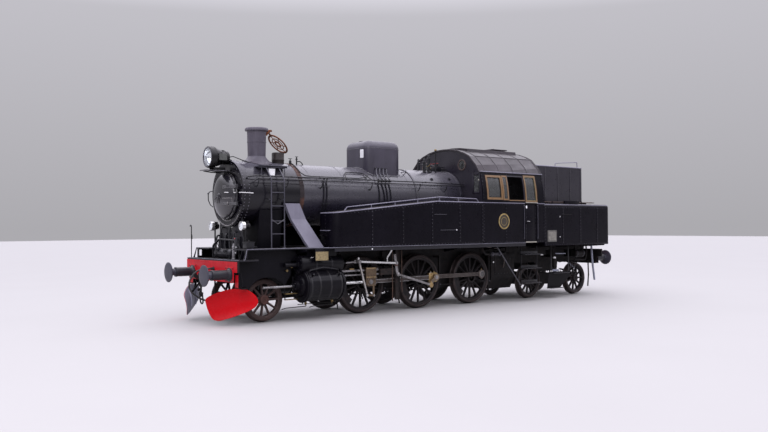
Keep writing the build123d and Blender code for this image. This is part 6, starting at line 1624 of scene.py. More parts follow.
m = M()                     # beading, rivets, rails, gutter
# the beading strips and the gutter are pale as a painted highlight
for s in (1, -1):
    cab_strip(m, CX0 + 0.004, DOOR[0] - 0.02, 2.630, 2.648, -0.002, 0.006, s, 2)
    cab_strip(m, DOOR[1] + 0.02, CX1 - 0.004, 2.630, 2.648, -0.002, 0.006, s, 2)
    for x in (CX0 + 0.022, CX1 - 0.022, -1.60):
        cab_strip(m, x - 0.022, x + 0.022, 1.60, 3.42 if x != -1.60 else 2.63, -0.002, 0.0035, s, 0)
        z = 1.64
        while z < (3.40 if x != -1.60 else 2.60):
            m.rivet((x, s * (sheet_y(z) + 0.003), z), (0, s, 0), 0.0085, 0.0055, 8, 1)
            z += 0.086
    x = CX0 + 0.08
    while x < CX1 - 0.05:
        if not DOOR[0] - 0.03 < x < DOOR[1] + 0.03:
            m.rivet((x, s * (sheet_y(1.61) + 0.0005), 1.615), (0, s, 0), 0.0085, 0.0055, 8, 1)
            m.rivet((x, s * (sheet_y(2.60) + 0.0005), 2.605), (0, s, 0), 0.0085, 0.0055, 8, 1)
        m.rivet((x, s * (sheet_y(3.41) + 0.0005), 3.408), (0, s, 0), 0.0085, 0.0055, 8, 1)
        x += 0.094
    # door surround
    for x0, x1 in ((DOOR[0] - 0.020, DOOR[0]), (DOOR[1], DOOR[1] + 0.020)):
        cab_strip(m, x0, x1, 1.60, 2.618, -0.004, 0.008, s, 0)
    cab_strip(m, DOOR[0] - 0.020, DOOR[1] + 0.020, 2.618, 2.640, -0.004, 0.008, s, 0)
    # grab rails each side of the doorway, their knobs
    for x in (DOOR[0] - 0.055, DOOR[1] + 0.050):
        m.tube([(x, s * (SKIN_Y - 0.002), 1.70), (x, s * (SKIN_Y + 0.0095), 1.715), (x, s * (SKIN_Y + 0.0095), 2.57), (x, s * (SKIN_Y - 0.002), 2.585)], 0.0095, 12, 3, fillet=0.008)
        for z in (1.705, 2.58):
            m.lathe([(0.020, -0.001), (0.020, 0.006), (0.013, 0.012), (0, 0.0125)], (x, s * (SKIN_Y + 0.0), z), (0, s, 0), 16, 3, caps=False)
    # sill, oval disc, gutter along the eaves
    cab_strip(m, DOOR[0] + 0.004, DOOR[1] - 0.004, 1.584, 1.618, -0.020, 0.012, s, 4)
    m.tube([(CX0 - 0.02, s * 1.385, 3.444), (CX1 + 0.02, s * 1.385, 3.444)], 0.0105, 10, 2)
    cab_strip(m, CX0 - 0.015, CX1 + 0.015, 3.414, 3.428, -0.004, 0.014, s, 0)
    slab_y(m, [(-2.392 + 0.028 * math.cos(2 * PI * i / 24), 2.541 + 0.040 * math.sin(2 * PI * i / 24)) for i in range(24)], s * (SKIN_Y + 0.0005), s * (SKIN_Y + 0.006), 5, 0.001)
    # seam bars on the roof and its long side strips
    for x in (-0.94, -1.48, -2.03, -2.58, -3.10):
        pts = [(x, s * y * 1.0015, z + 0.002) for y, z in ROOF_OUT]
        m.tube(pts, 0.0085, 6, 6)
    m.tube([(-0.94, s * 1.0, 3.872), (-3.10, s * 1.0, 3.872)], 0.011, 8, 6)
    m.tube([(-0.725, s * 1.366, 3.430)] + [(-0.725, s * y, z + 0.002) for y, z in ROOF_OUT[1:]], 0.010, 8, 6)
    m.tube([(-3.155, s * 1.366, 3.430)] + [(-3.155, s * y, z + 0.002) for y, z in ROOF_OUT[1:]], 0.010, 8, 6)
    # hatch and vent flaps on the roof
    m.box(-2.70, -2.10, s * 0.10, s * 0.52, 4.135, 4.166, 7, 0.010, Matrix.Identity(4))
    for x in (-2.62, -2.18):
        m.cyl((x, s * 0.12, 4.164), (x, s * 0.50, 4.164), 0.009, 10, 6, 0.001)
m.obj("cab_trim", "chassis", ["tank", "rivet_dark", "bead_painted_highlight", "ladder", "sill_pale", "enamel", "roof_seam", "roof"], "black_paint", 35)

m = M()                     # round works plate, left blank
for s in (1, -1):
    c = (-1.509, s * SKIN_Y, 2.157)
    m.lathe([(0, 0), (0.205, 0.0), (0.205, 0.008), (0.200, 0.011), (0.176, 0.011), (0.172, 0.0075), (0, 0.0075)], c, (0, s, 0), 72, 0, caps=False)
    m.ring(c, (0, s, 0), 0.172, 0.206, 0.006, 0.0135, 72, 1, 0.002)
    m.ring(c, (0, s, 0), 0.100, 0.110, 0.006, 0.0105, 60, 1, 0.001)
    for i in range(4):
        a = PI / 4 + PI / 2 * i
        m.rivet((c[0] + 0.189 * math.cos(a), s * (SKIN_Y + 0.013), c[2] + 0.189 * math.sin(a)), (0, s, 0), 0.008, 0.004, 10, 1)
m.obj("cab_round_plates", "chassis", ["plate_ground", "brass_plate"], "lamp_metal", 35)


# ------------------------------------------------------------------ windows
def frame_bars(m, w, b, o0, o1, s, mat):
    x0, x1, z0, z1 = w
    cab_strip(m, x0, x0 + b, z0, z1, o0, o1, s, mat)
    cab_strip(m, x1 - b, x1, z0, z1, o0, o1, s, mat)
    cab_strip(m, x0 + b, x1 - b, z0, z0 + b, o0, o1, s, mat)
    cab_strip(m, x0 + b, x1 - b, z1 - b, z1, o0, o1, s, mat)


m, g = M(), M()
for s in (1, -1):
    frame_bars(m, WIN[0], 0.055, -0.030, 0.006, s, 0)
    frame_bars(m, (-1.437, -0.958, 2.774, 3.304), 0.018, -0.034, -0.006, s, 1)
    cab_strip(g, -1.420, -0.975, 2.790, 3.288, -0.022, -0.018, s)
    # the sliding sash pushed back beside it
    frame_bars(m, (-1.702, -1.492, 2.712, 3.362), 0.040, 0.002, 0.016, s, 0) if s > 0 else frame_bars(m, (-1.702, -1.492, 2.712, 3.362), 0.040, 0.002, 0.016, s, 0)
    cab_strip(g, -1.664, -1.530, 2.750, 3.324, 0.006, 0.009, s)
    # open window's rim, with its arm rest
    frame_bars(m, WIN[1], 0.026, -0.030, 0.005, s, 3)
    cab_strip(m, WIN[1][0] + 0.02, WIN[1][1] - 0.02, 2.700, 2.722, -0.060, 0.014, s, 0)
    # rear window in a pale frame
    frame_bars(m, WIN[2], 0.042, -0.030, 0.006, s, 0)
    frame_bars(m, (-2.793, -2.407, 2.710, 3.353), 0.012, -0.030, 0.002, s, 4)
    frame_bars(m, (-2.787, -2.413, 2.716, 3.347), 0.016, -0.034, -0.006, s, 1)
    cab_strip(m, WIN[2][0] - 0.01, WIN[2][1] + 0.01, 2.650, 2.674, -0.004, 0.016, s, 2)
    cab_strip(g, -2.775, -2.425, 2.730, 3.333, -0.022, -0.018, s)
    # look-out windows in the front and rear plates
    for X, f, (y0, y1, z0, z1) in ((CX1, 1, (1.130, 1.360, 2.900, 3.380)), (CX0, -1, (1.060, 1.330, 2.700, 3.250))):
        for a, b, c, d in ((y0 - 0.03, y0 + 0.02, z0 - 0.03, z1 + 0.03), (y1 - 0.02, y1 + 0.006, z0 - 0.03, z1 + 0.03), (y0, y1, z0 - 0.03, z0 + 0.02), (y0, y1, z1 - 0.02, z1 + 0.03)):
            b = min(b, sheet_y(z1) - 0.012)
            m.box(X - 0.012 * f, X + 0.012 * f, s * a, s * b, c, d, 3, 0.003)
        g.box(X - 0.006 * f, X - 0.002 * f, s * (y0 + 0.01), s * (y1 - 0.015), z0 + 0.01, z1 - 0.01)
    # spectacle rings, front and rear
    m.ring((CX1, s * 0.710, 3.648), (1, 0, 0), 0.116, 0.148, -0.006, 0.020, 56, 5, 0.005)
    m.ring((CX0, s * 0.700, 3.600), (-1, 0, 0), 0.116, 0.148, -0.006, 0.020, 56, 3, 0.005)
    g.cyl((CX1 + 0.001, s * 0.710, 3.648), (CX1 + 0.006, s * 0.710, 3.648), 0.118, 48)
    g.cyl((CX0 - 0.006, s * 0.700, 3.600), (CX0 - 0.001, s * 0.700, 3.600), 0.118, 48)
    for i in range(6):
        a = PI / 3 * i
        m.rivet((CX1 + 0.019, s * 0.710 + 0.132 * math.cos(a), 3.648 + 0.132 * math.sin(a)), (1, 0, 0), 0.007, 0.004, 8, 0)
    m.lathe([(0, 0), (0.014, 0.004), (0.020, 0.018), (0.014, 0.032), (0, 0.036)], (CX1 + 0.010, s * 1.345, 3.22), (1, 0, 0), 16, 2, caps=False)
m.obj("cab_window_frames", "chassis", ["wood", "dark_iron", "sill_pale", "black", "frame_green", "ring_brown"], "floor_wood", 30)
g.obj("cab_window_glass", "chassis", "glass_smoke", "lamp_metal", 30)

# ------------------------------------------------------------------ cab doors
for s, side in ((1, "left"), (-1, "right")):
    m = M()
    x0, x1, z0, z1 = DOOR[0] + 0.008, DOOR[1] - 0.006, 1.622, 2.612
    m.box(x0, x1, s * 1.450, s * 1.474, z0, z1, 0, 0.003)
    for a, b, c, d in ((x0, x0 + 0.045, z0, z1), (x1 - 0.045, x1, z0, z1), (x0, x1, z0, z0 + 0.05), (x0, x1, z1 - 0.05, z1), (x0, x1, 2.08, 2.125)):
        m.box(a + 0.001, b - 0.001, s * 1.473, s * 1.4785, c + 0.001, d - 0.001, 0, 0.001)
    for i in range(10):
        for x in (x0 + 0.022, x1 - 0.022):
            m.rivet((x, s * 1.478, 1.66 + 0.1 * i), (0, s, 0), 0.007, 0.0045, 8, 1)
    for a, b in ((1.70, 1.80), (2.40, 2.50)):
        m.cyl((x0 + 0.006, s * 1.462, a), (x0 + 0.006, s * 1.462, b), 0.0128, 18, 0, 0.002)
    # handle inside and out
    for y, o in ((1.4785, 1), (1.4495, -1)):
        m.tube([(x1 - 0.07, s * y, 2.16), (x1 - 0.07, s * (y + 0.012 * o if o > 0 else y - 0.03), 2.16), (x1 - 0.16, s * (y + 0.012 * o if o > 0 else y - 0.03), 2.155)], 0.0075, 10, 2, fillet=0.008)
    m.obj(f"cab_door_panel_{side}", f"cab_door_{side}", ["tank", "rivet_dark", "bright"], "black_paint", 35, (f"cab_door_{side}",))

# ------------------------------------------------------------------ inside the cab
m = M()
BX = CX1 - 0.030 - 0.262          # face of the backhead
# fire door with its frame and chute, gauge board, water gauges, regulator, try cocks, pipes
m.prism(rounded_rect(-0.26, 0.26, 1.86, 2.26, 0.08), (BX - 0.028, 0, 0), (0, 1, 0), (0, 0, 1), 0.0, 0.026, 0, 0.006)
m.prism(rounded_rect(-0.20, 0.20, 1.90, 2.22, 0.06), (BX - 0.048, 0, 0), (0, 1, 0), (0, 0, 1), 0.0, 0.020, 0, 0.006)
m.box(BX - 0.16, BX - 0.02, -0.24, 0.24, 1.82, 1.84, 0, 0.004)
m.tube([(BX - 0.05, 0.18, 2.10), (BX - 0.16, 0.20, 2.10), (BX - 0.18, 0.20, 2.30)], 0.011, 10, 2, fillet=0.03)
for y in (-0.36, 0.36):
    m.cyl((BX - 0.07, y, 2.60), (BX - 0.07, y, 2.98), 0.014, 14, 4, 0.001)
    for z in (2.58, 3.00):
        m.cyl((BX, y, z), (BX - 0.10, y, z), 0.024, 16, 1, 0.003)
        m.lathe([(0, 0), (0.03, 0.0), (0.034, 0.02), (0.02, 0.04), (0, 0.042)], (BX - 0.07, y, z - 0.02), (0, 0, 1), 16, 1, caps=False)
for y, z, r in ((-0.16, 3.22, 0.085), (0.06, 3.26, 0.10), (0.28, 3.20, 0.075)):
    m.lathe([(0, -0.05), (r, -0.05), (r, 0.0), (r * 0.92, 0.012), (r * 0.86, 0.012), (r * 0.84, 0.004), (0, 0.004)], (BX - 0.03, y, z), (-1, 0, 0), 40, 1, caps=False)
    m.lathe([(0, 0.0), (r * 0.83, 0.0), (r * 0.83, 0.003), (0, 0.003)], (BX - 0.0335, y, z), (-1, 0, 0), 40, 3, caps=False)
    m.tube([(BX - 0.04, y, z), (BX - 0.04, y + r * 0.5, z + r * 0.4)], 0.003, 6, 0)
m.cyl((BX, 0, 2.86), (BX - 0.10, 0, 2.86), 0.05, 24, 0, 0.006)
m.tube([(BX - 0.10, 0, 2.86), (BX - 0.13, 0.10, 2.95), (BX - 0.13, 0.42, 3.02)], [0.016, 0.014, 0.012], 12, 2)
m.lathe([(0, -0.05), (0.018, -0.04), (0.021, 0), (0.018, 0.04), (0, 0.05)], (BX - 0.13, 0.45, 3.026), (0, 1, 0.2), 16, 5, caps=False)
for i, y in enumerate((-0.52, -0.44, 0.48, 0.56)):
    m.tube([(BX - 0.02, y, 1.75), (BX - 0.05, y, 2.2), (BX - 0.05, y * 0.92, 2.9), (BX - 0.02, y * 0.6, 3.38)], 0.014, 10, 6 if i % 2 else 1, fillet=0.1)
for y, z in ((-0.25, 2.45), (-0.12, 2.42), (0.14, 2.44)):
    m.cyl((BX, y, z), (BX - 0.07, y, z), 0.020, 14, 1, 0.003)
    m.ring((BX - 0.085, y, z), (-1, 0, 0), 0.026, 0.036, 0.0, 0.010, 24, 7, 0.002)
    for a in range(3):
        t = 2 * PI * a / 3
        m.tube([(BX - 0.09, y, z), (BX - 0.09, y + 0.03 * math.cos(t), z + 0.03 * math.sin(t))], 0.004, 6, 7)
# reverser wheel on its stand, brake column
m.tube([(-1.35, 0.98, 1.61), (-1.35, 0.98, 2.35)], 0.032, 16, 0)
m.ring((-1.35, 0.98, 2.42), (-1, 0.15, 0.25), 0.165, 0.190, -0.012, 0.012, 48, 2, 0.006)
for a in range(5):
    t = 2 * PI * a / 5
    m.tube([(-1.35, 0.98, 2.42), (-1.35 + 0.03 * math.sin(t), 0.98 + 0.17 * math.cos(t), 2.42 + 0.17 * math.sin(t))], 0.009, 8, 2)
m.cyl((-1.30, 0.98, 2.42), (-1.42, 0.98, 2.42), 0.03, 20, 0, 0.004)
m.tube([(-1.25, 1.24, 1.61), (-1.25, 1.24, 2.50)], 0.022, 12, 0)
m.cyl((-1.25, 1.24, 2.50), (-1.25, 1.24, 2.58), 0.045, 20, 1, 0.005)
m.tube([(-1.25, 1.24, 2.56), (-1.42, 1.16, 2.60)], 0.010, 8, 2)
# seats: box, cushion, backrest, on both sides
for s in (1, -1):
    m.box(-2.18, -1.80, s * 0.98, s * 1.36, 1.612, 2.06, 5, 0.010)
    m.box(-2.20, -1.78, s * 0.96, s * 1.38, 2.06, 2.13, 8, 0.030)
    m.box(-2.26, -2.20, s * 0.98, s * 1.36, 2.18, 2.62, 8, 0.025)
    for y in (1.04, 1.30):
        m.tube([(-2.20, s * y, 2.06), (-2.24, s * y, 2.40)], 0.010, 8, 0)
    # tool locker by the rear wall
    m.box(-3.08, -2.86, s * 0.60, s * 1.30, 1.612, 1.98, 5, 0.008)
# shovelling door in the rear wall, with its plate
m.box(CX0 + 0.031, CX0 + 0.050, -0.42, 0.42, 1.64, 2.30, 0, 0.004)
for y in (-0.40, 0.40):
    m.box(CX0 + 0.050, CX0 + 0.066, y - 0.03, y + 0.03, 1.64, 2.34, 0, 0.003)
for i in range(5):
    m.tube([(CX0 + 0.058, -0.38, 1.75 + 0.12 * i), (CX0 + 0.058, 0.38, 1.75 + 0.12 * i)], 0.008, 8, 0)
# hoops and a ceiling lamp
for x in (-1.35, -2.10, -2.75):
    pts = [(x, s2 * y * 0.965, z - 0.048) for s2, table in ((1, ROOF_OUT), (-1, ROOF_OUT[::-1])) for y, z in table]
    m.tube(pts, 0.016, 8, 9)
m.lathe([(0, 0), (0.07, 0), (0.07, -0.03), (0.045, -0.07), (0, -0.085)], (-1.95, 0, 4.02), (0, 0, 1), 24, 1, caps=False)
m.obj("cab_fittings", "chassis", ["dark_iron", "brass", "bright", "enamel", "lens", "wood", "copper", "red_wheel", "leather", "cab_inside"], "cast_iron", 35)

# ------------------------------------------------------------------ on the firebox, in front of the cab
m = M()


def valve(m, x, y, top, r, mat=0, cap=1):
    base = BZ + math.sqrt(max(0.0, 0.73 ** 2 - y * y)) - 0.01
    m.lathe([(0, base), (r * 1.5, base), (r * 1.5, base + 0.025), (r, base + 0.035), (r, top - 0.12), (r * 1.25, top - 0.115), (r * 1.25, top - 0.09), (r * 0.85, top - 0.08),
             (r * 0.85, top - 0.02), (r * 0.5, top), (0, top)], (x, y, 0), (0, 0, 1), 28, mat, caps=False)
    for i in range(6):
        a = PI / 3 * i
        m.bolt((x + r * 1.25 * math.cos(a), y + r * 1.25 * math.sin(a), base + 0.025), (0, 0, 1), 0.007, 0.009, mat, False)


valve(m, 0.212, 0.30, 3.800, 0.036)
valve(m, 0.060, 0.30, 3.905, 0.036)
valve(m, 0.060, -0.10, 3.820, 0.036)
m.tube([(0.060, 0.30, 3.66), (0.060, -0.10, 3.66)], 0.014, 10, 0)
m.tube([(-0.182, 0.30, 3.42), (-0.182, 0.30, 4.030)], 0.018, 12, 0)
m.lathe([(0, 4.02), (0.030, 4.02), (0.034, 4.035), (0.026, 4.060), (0, 4.067)], (-0.182, 0.30, 0), (0, 0, 1), 18, 1, caps=False)
m.tube([(-0.03, 0.30, 3.43), (-0.03, 0.30, 3.507), (0.00, 0.30, 3.56)], 0.014, 10, 0, fillet=0.02)
m.lathe([(0.016, 0), (0.020, 0.05), (0.034, 0.09), (0.050, 0.11), (0.046, 0.112), (0.028, 0.09), (0, 0.06)], (-0.005, 0.30, 3.548), (0.7, 0, 0.7), 24, 1, caps=False)
m.tube([(-0.182, 0.30, 3.60), (-0.182, 0.12, 3.66), (-0.40, 0.0, 3.66), (-0.745, 0.0, 3.62)], 0.014, 10, 0, fillet=0.05)
m.box(-0.52, -0.30, -0.16, 0.16, 3.495, 3.62, 0, 0.015)
for y in (-0.12, -0.04, 0.04, 0.12):
    m.cyl((-0.41, y, 3.615), (-0.41, y, 3.70), 0.016, 12, 0, 0.002)
    m.ring((-0.41, y, 3.71), (0, 0, 1), 0.024, 0.032, -0.004, 0.006, 20, 2, 0.002)
    m.tube([(-0.52, y, 3.56), (-0.745, y, 3.56)], 0.011, 8, 0)
for x, y, z in ((0.202, 0.565, 3.24), (-0.422, 0.547, 3.261)):
    for s in (1, -1):
        m.box(x - 0.035, x + 0.035, s * (y - 0.03), s * (y + 0.03), z - 0.03, z + 0.03, 0, 0.006)
        m.bolt((x, s * y, z + 0.03), (0, 0, 1), 0.012, 0.014, 0)
m.obj("firebox_fittings", "chassis", ["pipe_black", "brass_dull", "red_wheel"], "black_paint", 35)
# ------------------------------------------------------------------ cylinders
CY, CZ = 1.050, 0.758
m = M()
for s in (1, -1):
    y, yv = s * CY, s * (CY + 0.020)
    fx, bk = (1, 0, 0), (-1, 0, 0)
    # cladding bands, end covers with their studs
    for x in (3.62, 3.90, 4.18, 4.40):
        m.ring((x, y, CZ), fx, 0.349, 0.3535, -0.018, 0.018, 96, 1, 0.001)
    for X, d, rr in ((4.480, 1, 0.372), (3.540, -1, 0.372)):
        ax = (d, 0, 0)
        m.ring((X, y, CZ), ax, 0.225, 0.366, -0.002, 0.004, 96, 0, 0.002)
        for i in range(18):
            a = 2 * PI * i / 18
            m.bolt((X + 0.003 * d, y + 0.330 * math.cos(a), CZ + 0.330 * math.sin(a)), ax, 0.013, 0.016, 1, False)
    m.lathe([(0.225, 0.0), (0.232, 0.004), (0.230, 0.012), (0.180, 0.028), (0.118, 0.034), (0.112, 0.030)], (4.545, y, CZ), fx, 72, 0, caps=False)
    for i in range(10):
        a = 2 * PI * i / 10 + 0.2
        m.bolt((4.560, y + 0.200 * math.cos(a), CZ + 0.200 * math.sin(a)), fx, 0.011, 0.014, 1, False)
    # gland, tail rod in its bright tube, end cap
    m.lathe([(0.112, 4.60), (0.112, 4.642), (0.100, 4.650), (0.060, 4.654), (0.060, 4.700), (0.052, 4.708), (0.028, 4.710)], (0, y, CZ), fx, 40, 0, caps=False)
    for i in range(4):
        a = PI / 4 + PI / 2 * i
        m.bolt((4.650, y + 0.084 * math.cos(a), CZ + 0.084 * math.sin(a)), fx, 0.010, 0.026, 1, False)
    m.lathe([(0.0272, 4.70), (0.0272, 5.395), (0.0310, 5.398), (0.0310, 5.425), (0.020, 5.432), (0, 5.433)], (0, y, CZ), fx, 28, 2, caps=False)
    # valve chest: covers, studs, guide of the spindle
    for X, d in ((4.560, 1), (3.490, -1)):
        ax = (d, 0, 0)
        m.lathe([(0.0, 0), (0.200, 0.0), (0.200, 0.010), (0.192, 0.016), (0.10, 0.024), (0.0, 0.024)], (X, yv, 1.218), ax, 56, 0, caps=False)
        for i in range(10):
            a = 2 * PI * i / 10
            m.bolt((X + 0.014 * d, yv + 0.170 * math.cos(a), 1.218 + 0.170 * math.sin(a)), ax, 0.011, 0.014, 1, False)
    m.ring((4.20, yv, 1.218), fx, 0.204, 0.208, -0.02, 0.02, 64, 1, 0.001)
    m.ring((3.80, yv, 1.218), fx, 0.204, 0.208, -0.02, 0.02, 64, 1, 0.001)
    m.lathe([(0.046, 4.600), (0.046, 4.870), (0.038, 4.898), (0, 4.902)], (0, yv, 1.218), fx, 28, 0, caps=False)
    m.lathe([(0.061, 3.380), (0.061, 3.372), (0.030, 3.368), (0.030, 3.30), (0.024, 3.296), (0, 3.296)], (0, yv, 1.218), fx, 28, 0, caps=False)
    # spindle out to the lever
    m.tube([(3.30, yv, 1.218), (3.06, s * 1.10, 1.236)], 0.022, 14, 2)
    m.box(2.96, 3.08, s * 1.085, s * 1.125, 1.20, 1.275, 2, 0.008)
    # relief valves, indicator pipe, drain cocks and their pipes, rod that works them
    for x in (3.66, 4.36):
        m.cyl((x, s * 1.33, CZ + 0.22), (x, s * 1.395, CZ + 0.26), 0.024, 14, 0, 0.003)
        m.lathe([(0.018, 0.39), (0.018, 0.35), (0.026, 0.35), (0.026, 0.385)], (x, y, CZ - 0.74), (0, 0, 1), 14, 3, caps=False)
        m.cyl((x, y, CZ - 0.35), (x, y, CZ - 0.43), 0.020, 14, 3, 0.003)
        m.cyl((x - 0.03, y + s * 0.005, CZ - 0.395), (x + 0.03, y + s * 0.005, CZ - 0.395), 0.013, 12, 3, 0.002)
        m.tube([(x, y + s * 0.02, CZ - 0.40), (x + 0.05, y + s * 0.09, CZ - 0.44), (x + 0.55, y + s * 0.09, CZ - 0.45), (x + 0.66, y + s * 0.09, CZ - 0.47)], 0.0095, 10, 1, fillet=0.04)
    m.tube([(3.55, y - s * 0.02, CZ - 0.405), (4.55, y - s * 0.02, CZ - 0.405)], 0.008, 8, 1)
    m.tube([(4.525, s * 1.05, 1.305), (4.276, s * 1.24, 1.379)], 0.011, 10, 2)
    m.tube([(4.42, s * 1.27, 1.02), (4.46, s * 1.36, 1.10), (4.10, s * 1.37, 1.16), (3.70, s * 1.36, 1.10), (3.66, s * 1.28, 1.02)], 0.013, 10, 1, fillet=0.06)
    # step irons, pale with wear, on the truck side in front of the cylinder
    for x0, x1, z, t in ((4.611, 4.900, 0.598, 0.014), (4.611, 4.900, 0.470, 0.014)):
        m.box(x0, x1, s * 1.02, s * 1.12, z, z + t, 3, 0.003)
    for x in (4.640, 4.870):
        m.tube([(x, s * 1.03, 0.47), (x, s * 1.02, 0.62), (x, s * 0.99, 0.80), (x, s * 0.985, 0.96)], 0.011, 10, 0, fillet=0.04)
    for x, z in ((4.836, 1.10), (4.72, 1.18)):
        m.cyl((x, s * 1.0005, z), (x, s * 1.06, z), 0.018, 14, 3, 0.003)
        m.lathe([(0, 0), (0.026, 0.003), (0.026, 0.014), (0, 0.018)], (x, s * 1.06, z), (0, s, 0), 16, 3, caps=False)
    # square plate under the board, left blank
    m.prism([(-4.324, 1.309), (-3.994, 1.309), (-3.994, 1.500), (-4.324, 1.500)], (0, 0, 0), (-1, 0, 0), (0, 0, 1), *sorted((s * 1.400, s * 1.406)), 4, 0.002)
    for x in (4.30, 4.02):
        for z in (1.328, 1.482):
            m.rivet((x, s * 1.406, z), (0, s, 0), 0.006, 0.004, 8, 3)
    m.box(3.99, 4.33, s * 1.385, s * 1.4005, 1.30, 1.555, 0, 0.002)
    for x in (3.60, 3.90, 4.25, 4.50):
        m.rivet((x, s * 1.30, 1.5555), (0, 0, -1), 0.010, 0.006, 8, 1)
m.obj("cylinder_details", "chassis", ["cylinder", "pipe_black", "steel", "brass_dull", "cream_plate"], "cast_iron", 35)

# ------------------------------------------------------------------ motion
ROD_PINS = {s: [pin_place(x, s) for x in (2.65, 0.85, -0.95)] for s in (1, -1)}


def fluted(m, p, q, h0, h1, y0, y1, fl, deep, s, mat=0, inner=1):
    """A rod of I-section from p to q in the x, z plane."""
    p, q = Vector((p[0], p[1])), Vector((q[0], q[1]))
    d = (q - p).normalized()
    n = Vector((-d.y, d.x))
    up = [p + n * h0, q + n * h1, q + n * (h1 - fl), p + n * (h0 - fl)]
    lo = [p - n * (h0 - fl), q - n * (h1 - fl), q - n * h1, p - n * h0]
    web = [p + n * (h0 - fl), q + n * (h1 - fl), q - n * (h1 - fl), p - n * (h0 - fl)]
    slab_y(m, up, s * y0, s * y1, mat, 0.003)
    slab_y(m, lo, s * y0, s * y1, mat, 0.003)
    slab_y(m, web, s * (y0 + deep), s * (y1 - deep), inner, 0.0)


def eye(m, x, z, r, hole, y0, y1, s, mat=0, bush=2):
    prof = [(hole, y0 + 0.004), (hole + 0.004, y0), (r - 0.006, y0), (r, y0 + 0.006), (r, y1 - 0.006), (r - 0.006, y1), (hole + 0.004, y1), (hole, y1 - 0.004)]
    m.lathe(prof, (x, 0, z), (0, s, 0), 56, mat, closed=True)
    m.ring((x, 0, z), (0, s, 0), hole, hole + 0.016, y1 - 0.002, y1 + 0.0025, 48, bush, 0.001)


def oil_cup(m, x, y, z, mat=2):
    m.lathe([(0, 0), (0.019, 0.0), (0.019, 0.026), (0.014, 0.030), (0.007, 0.034), (0.007, 0.042), (0, 0.043)], (x, y, z), (0, 0, 1), 16, mat, caps=False)


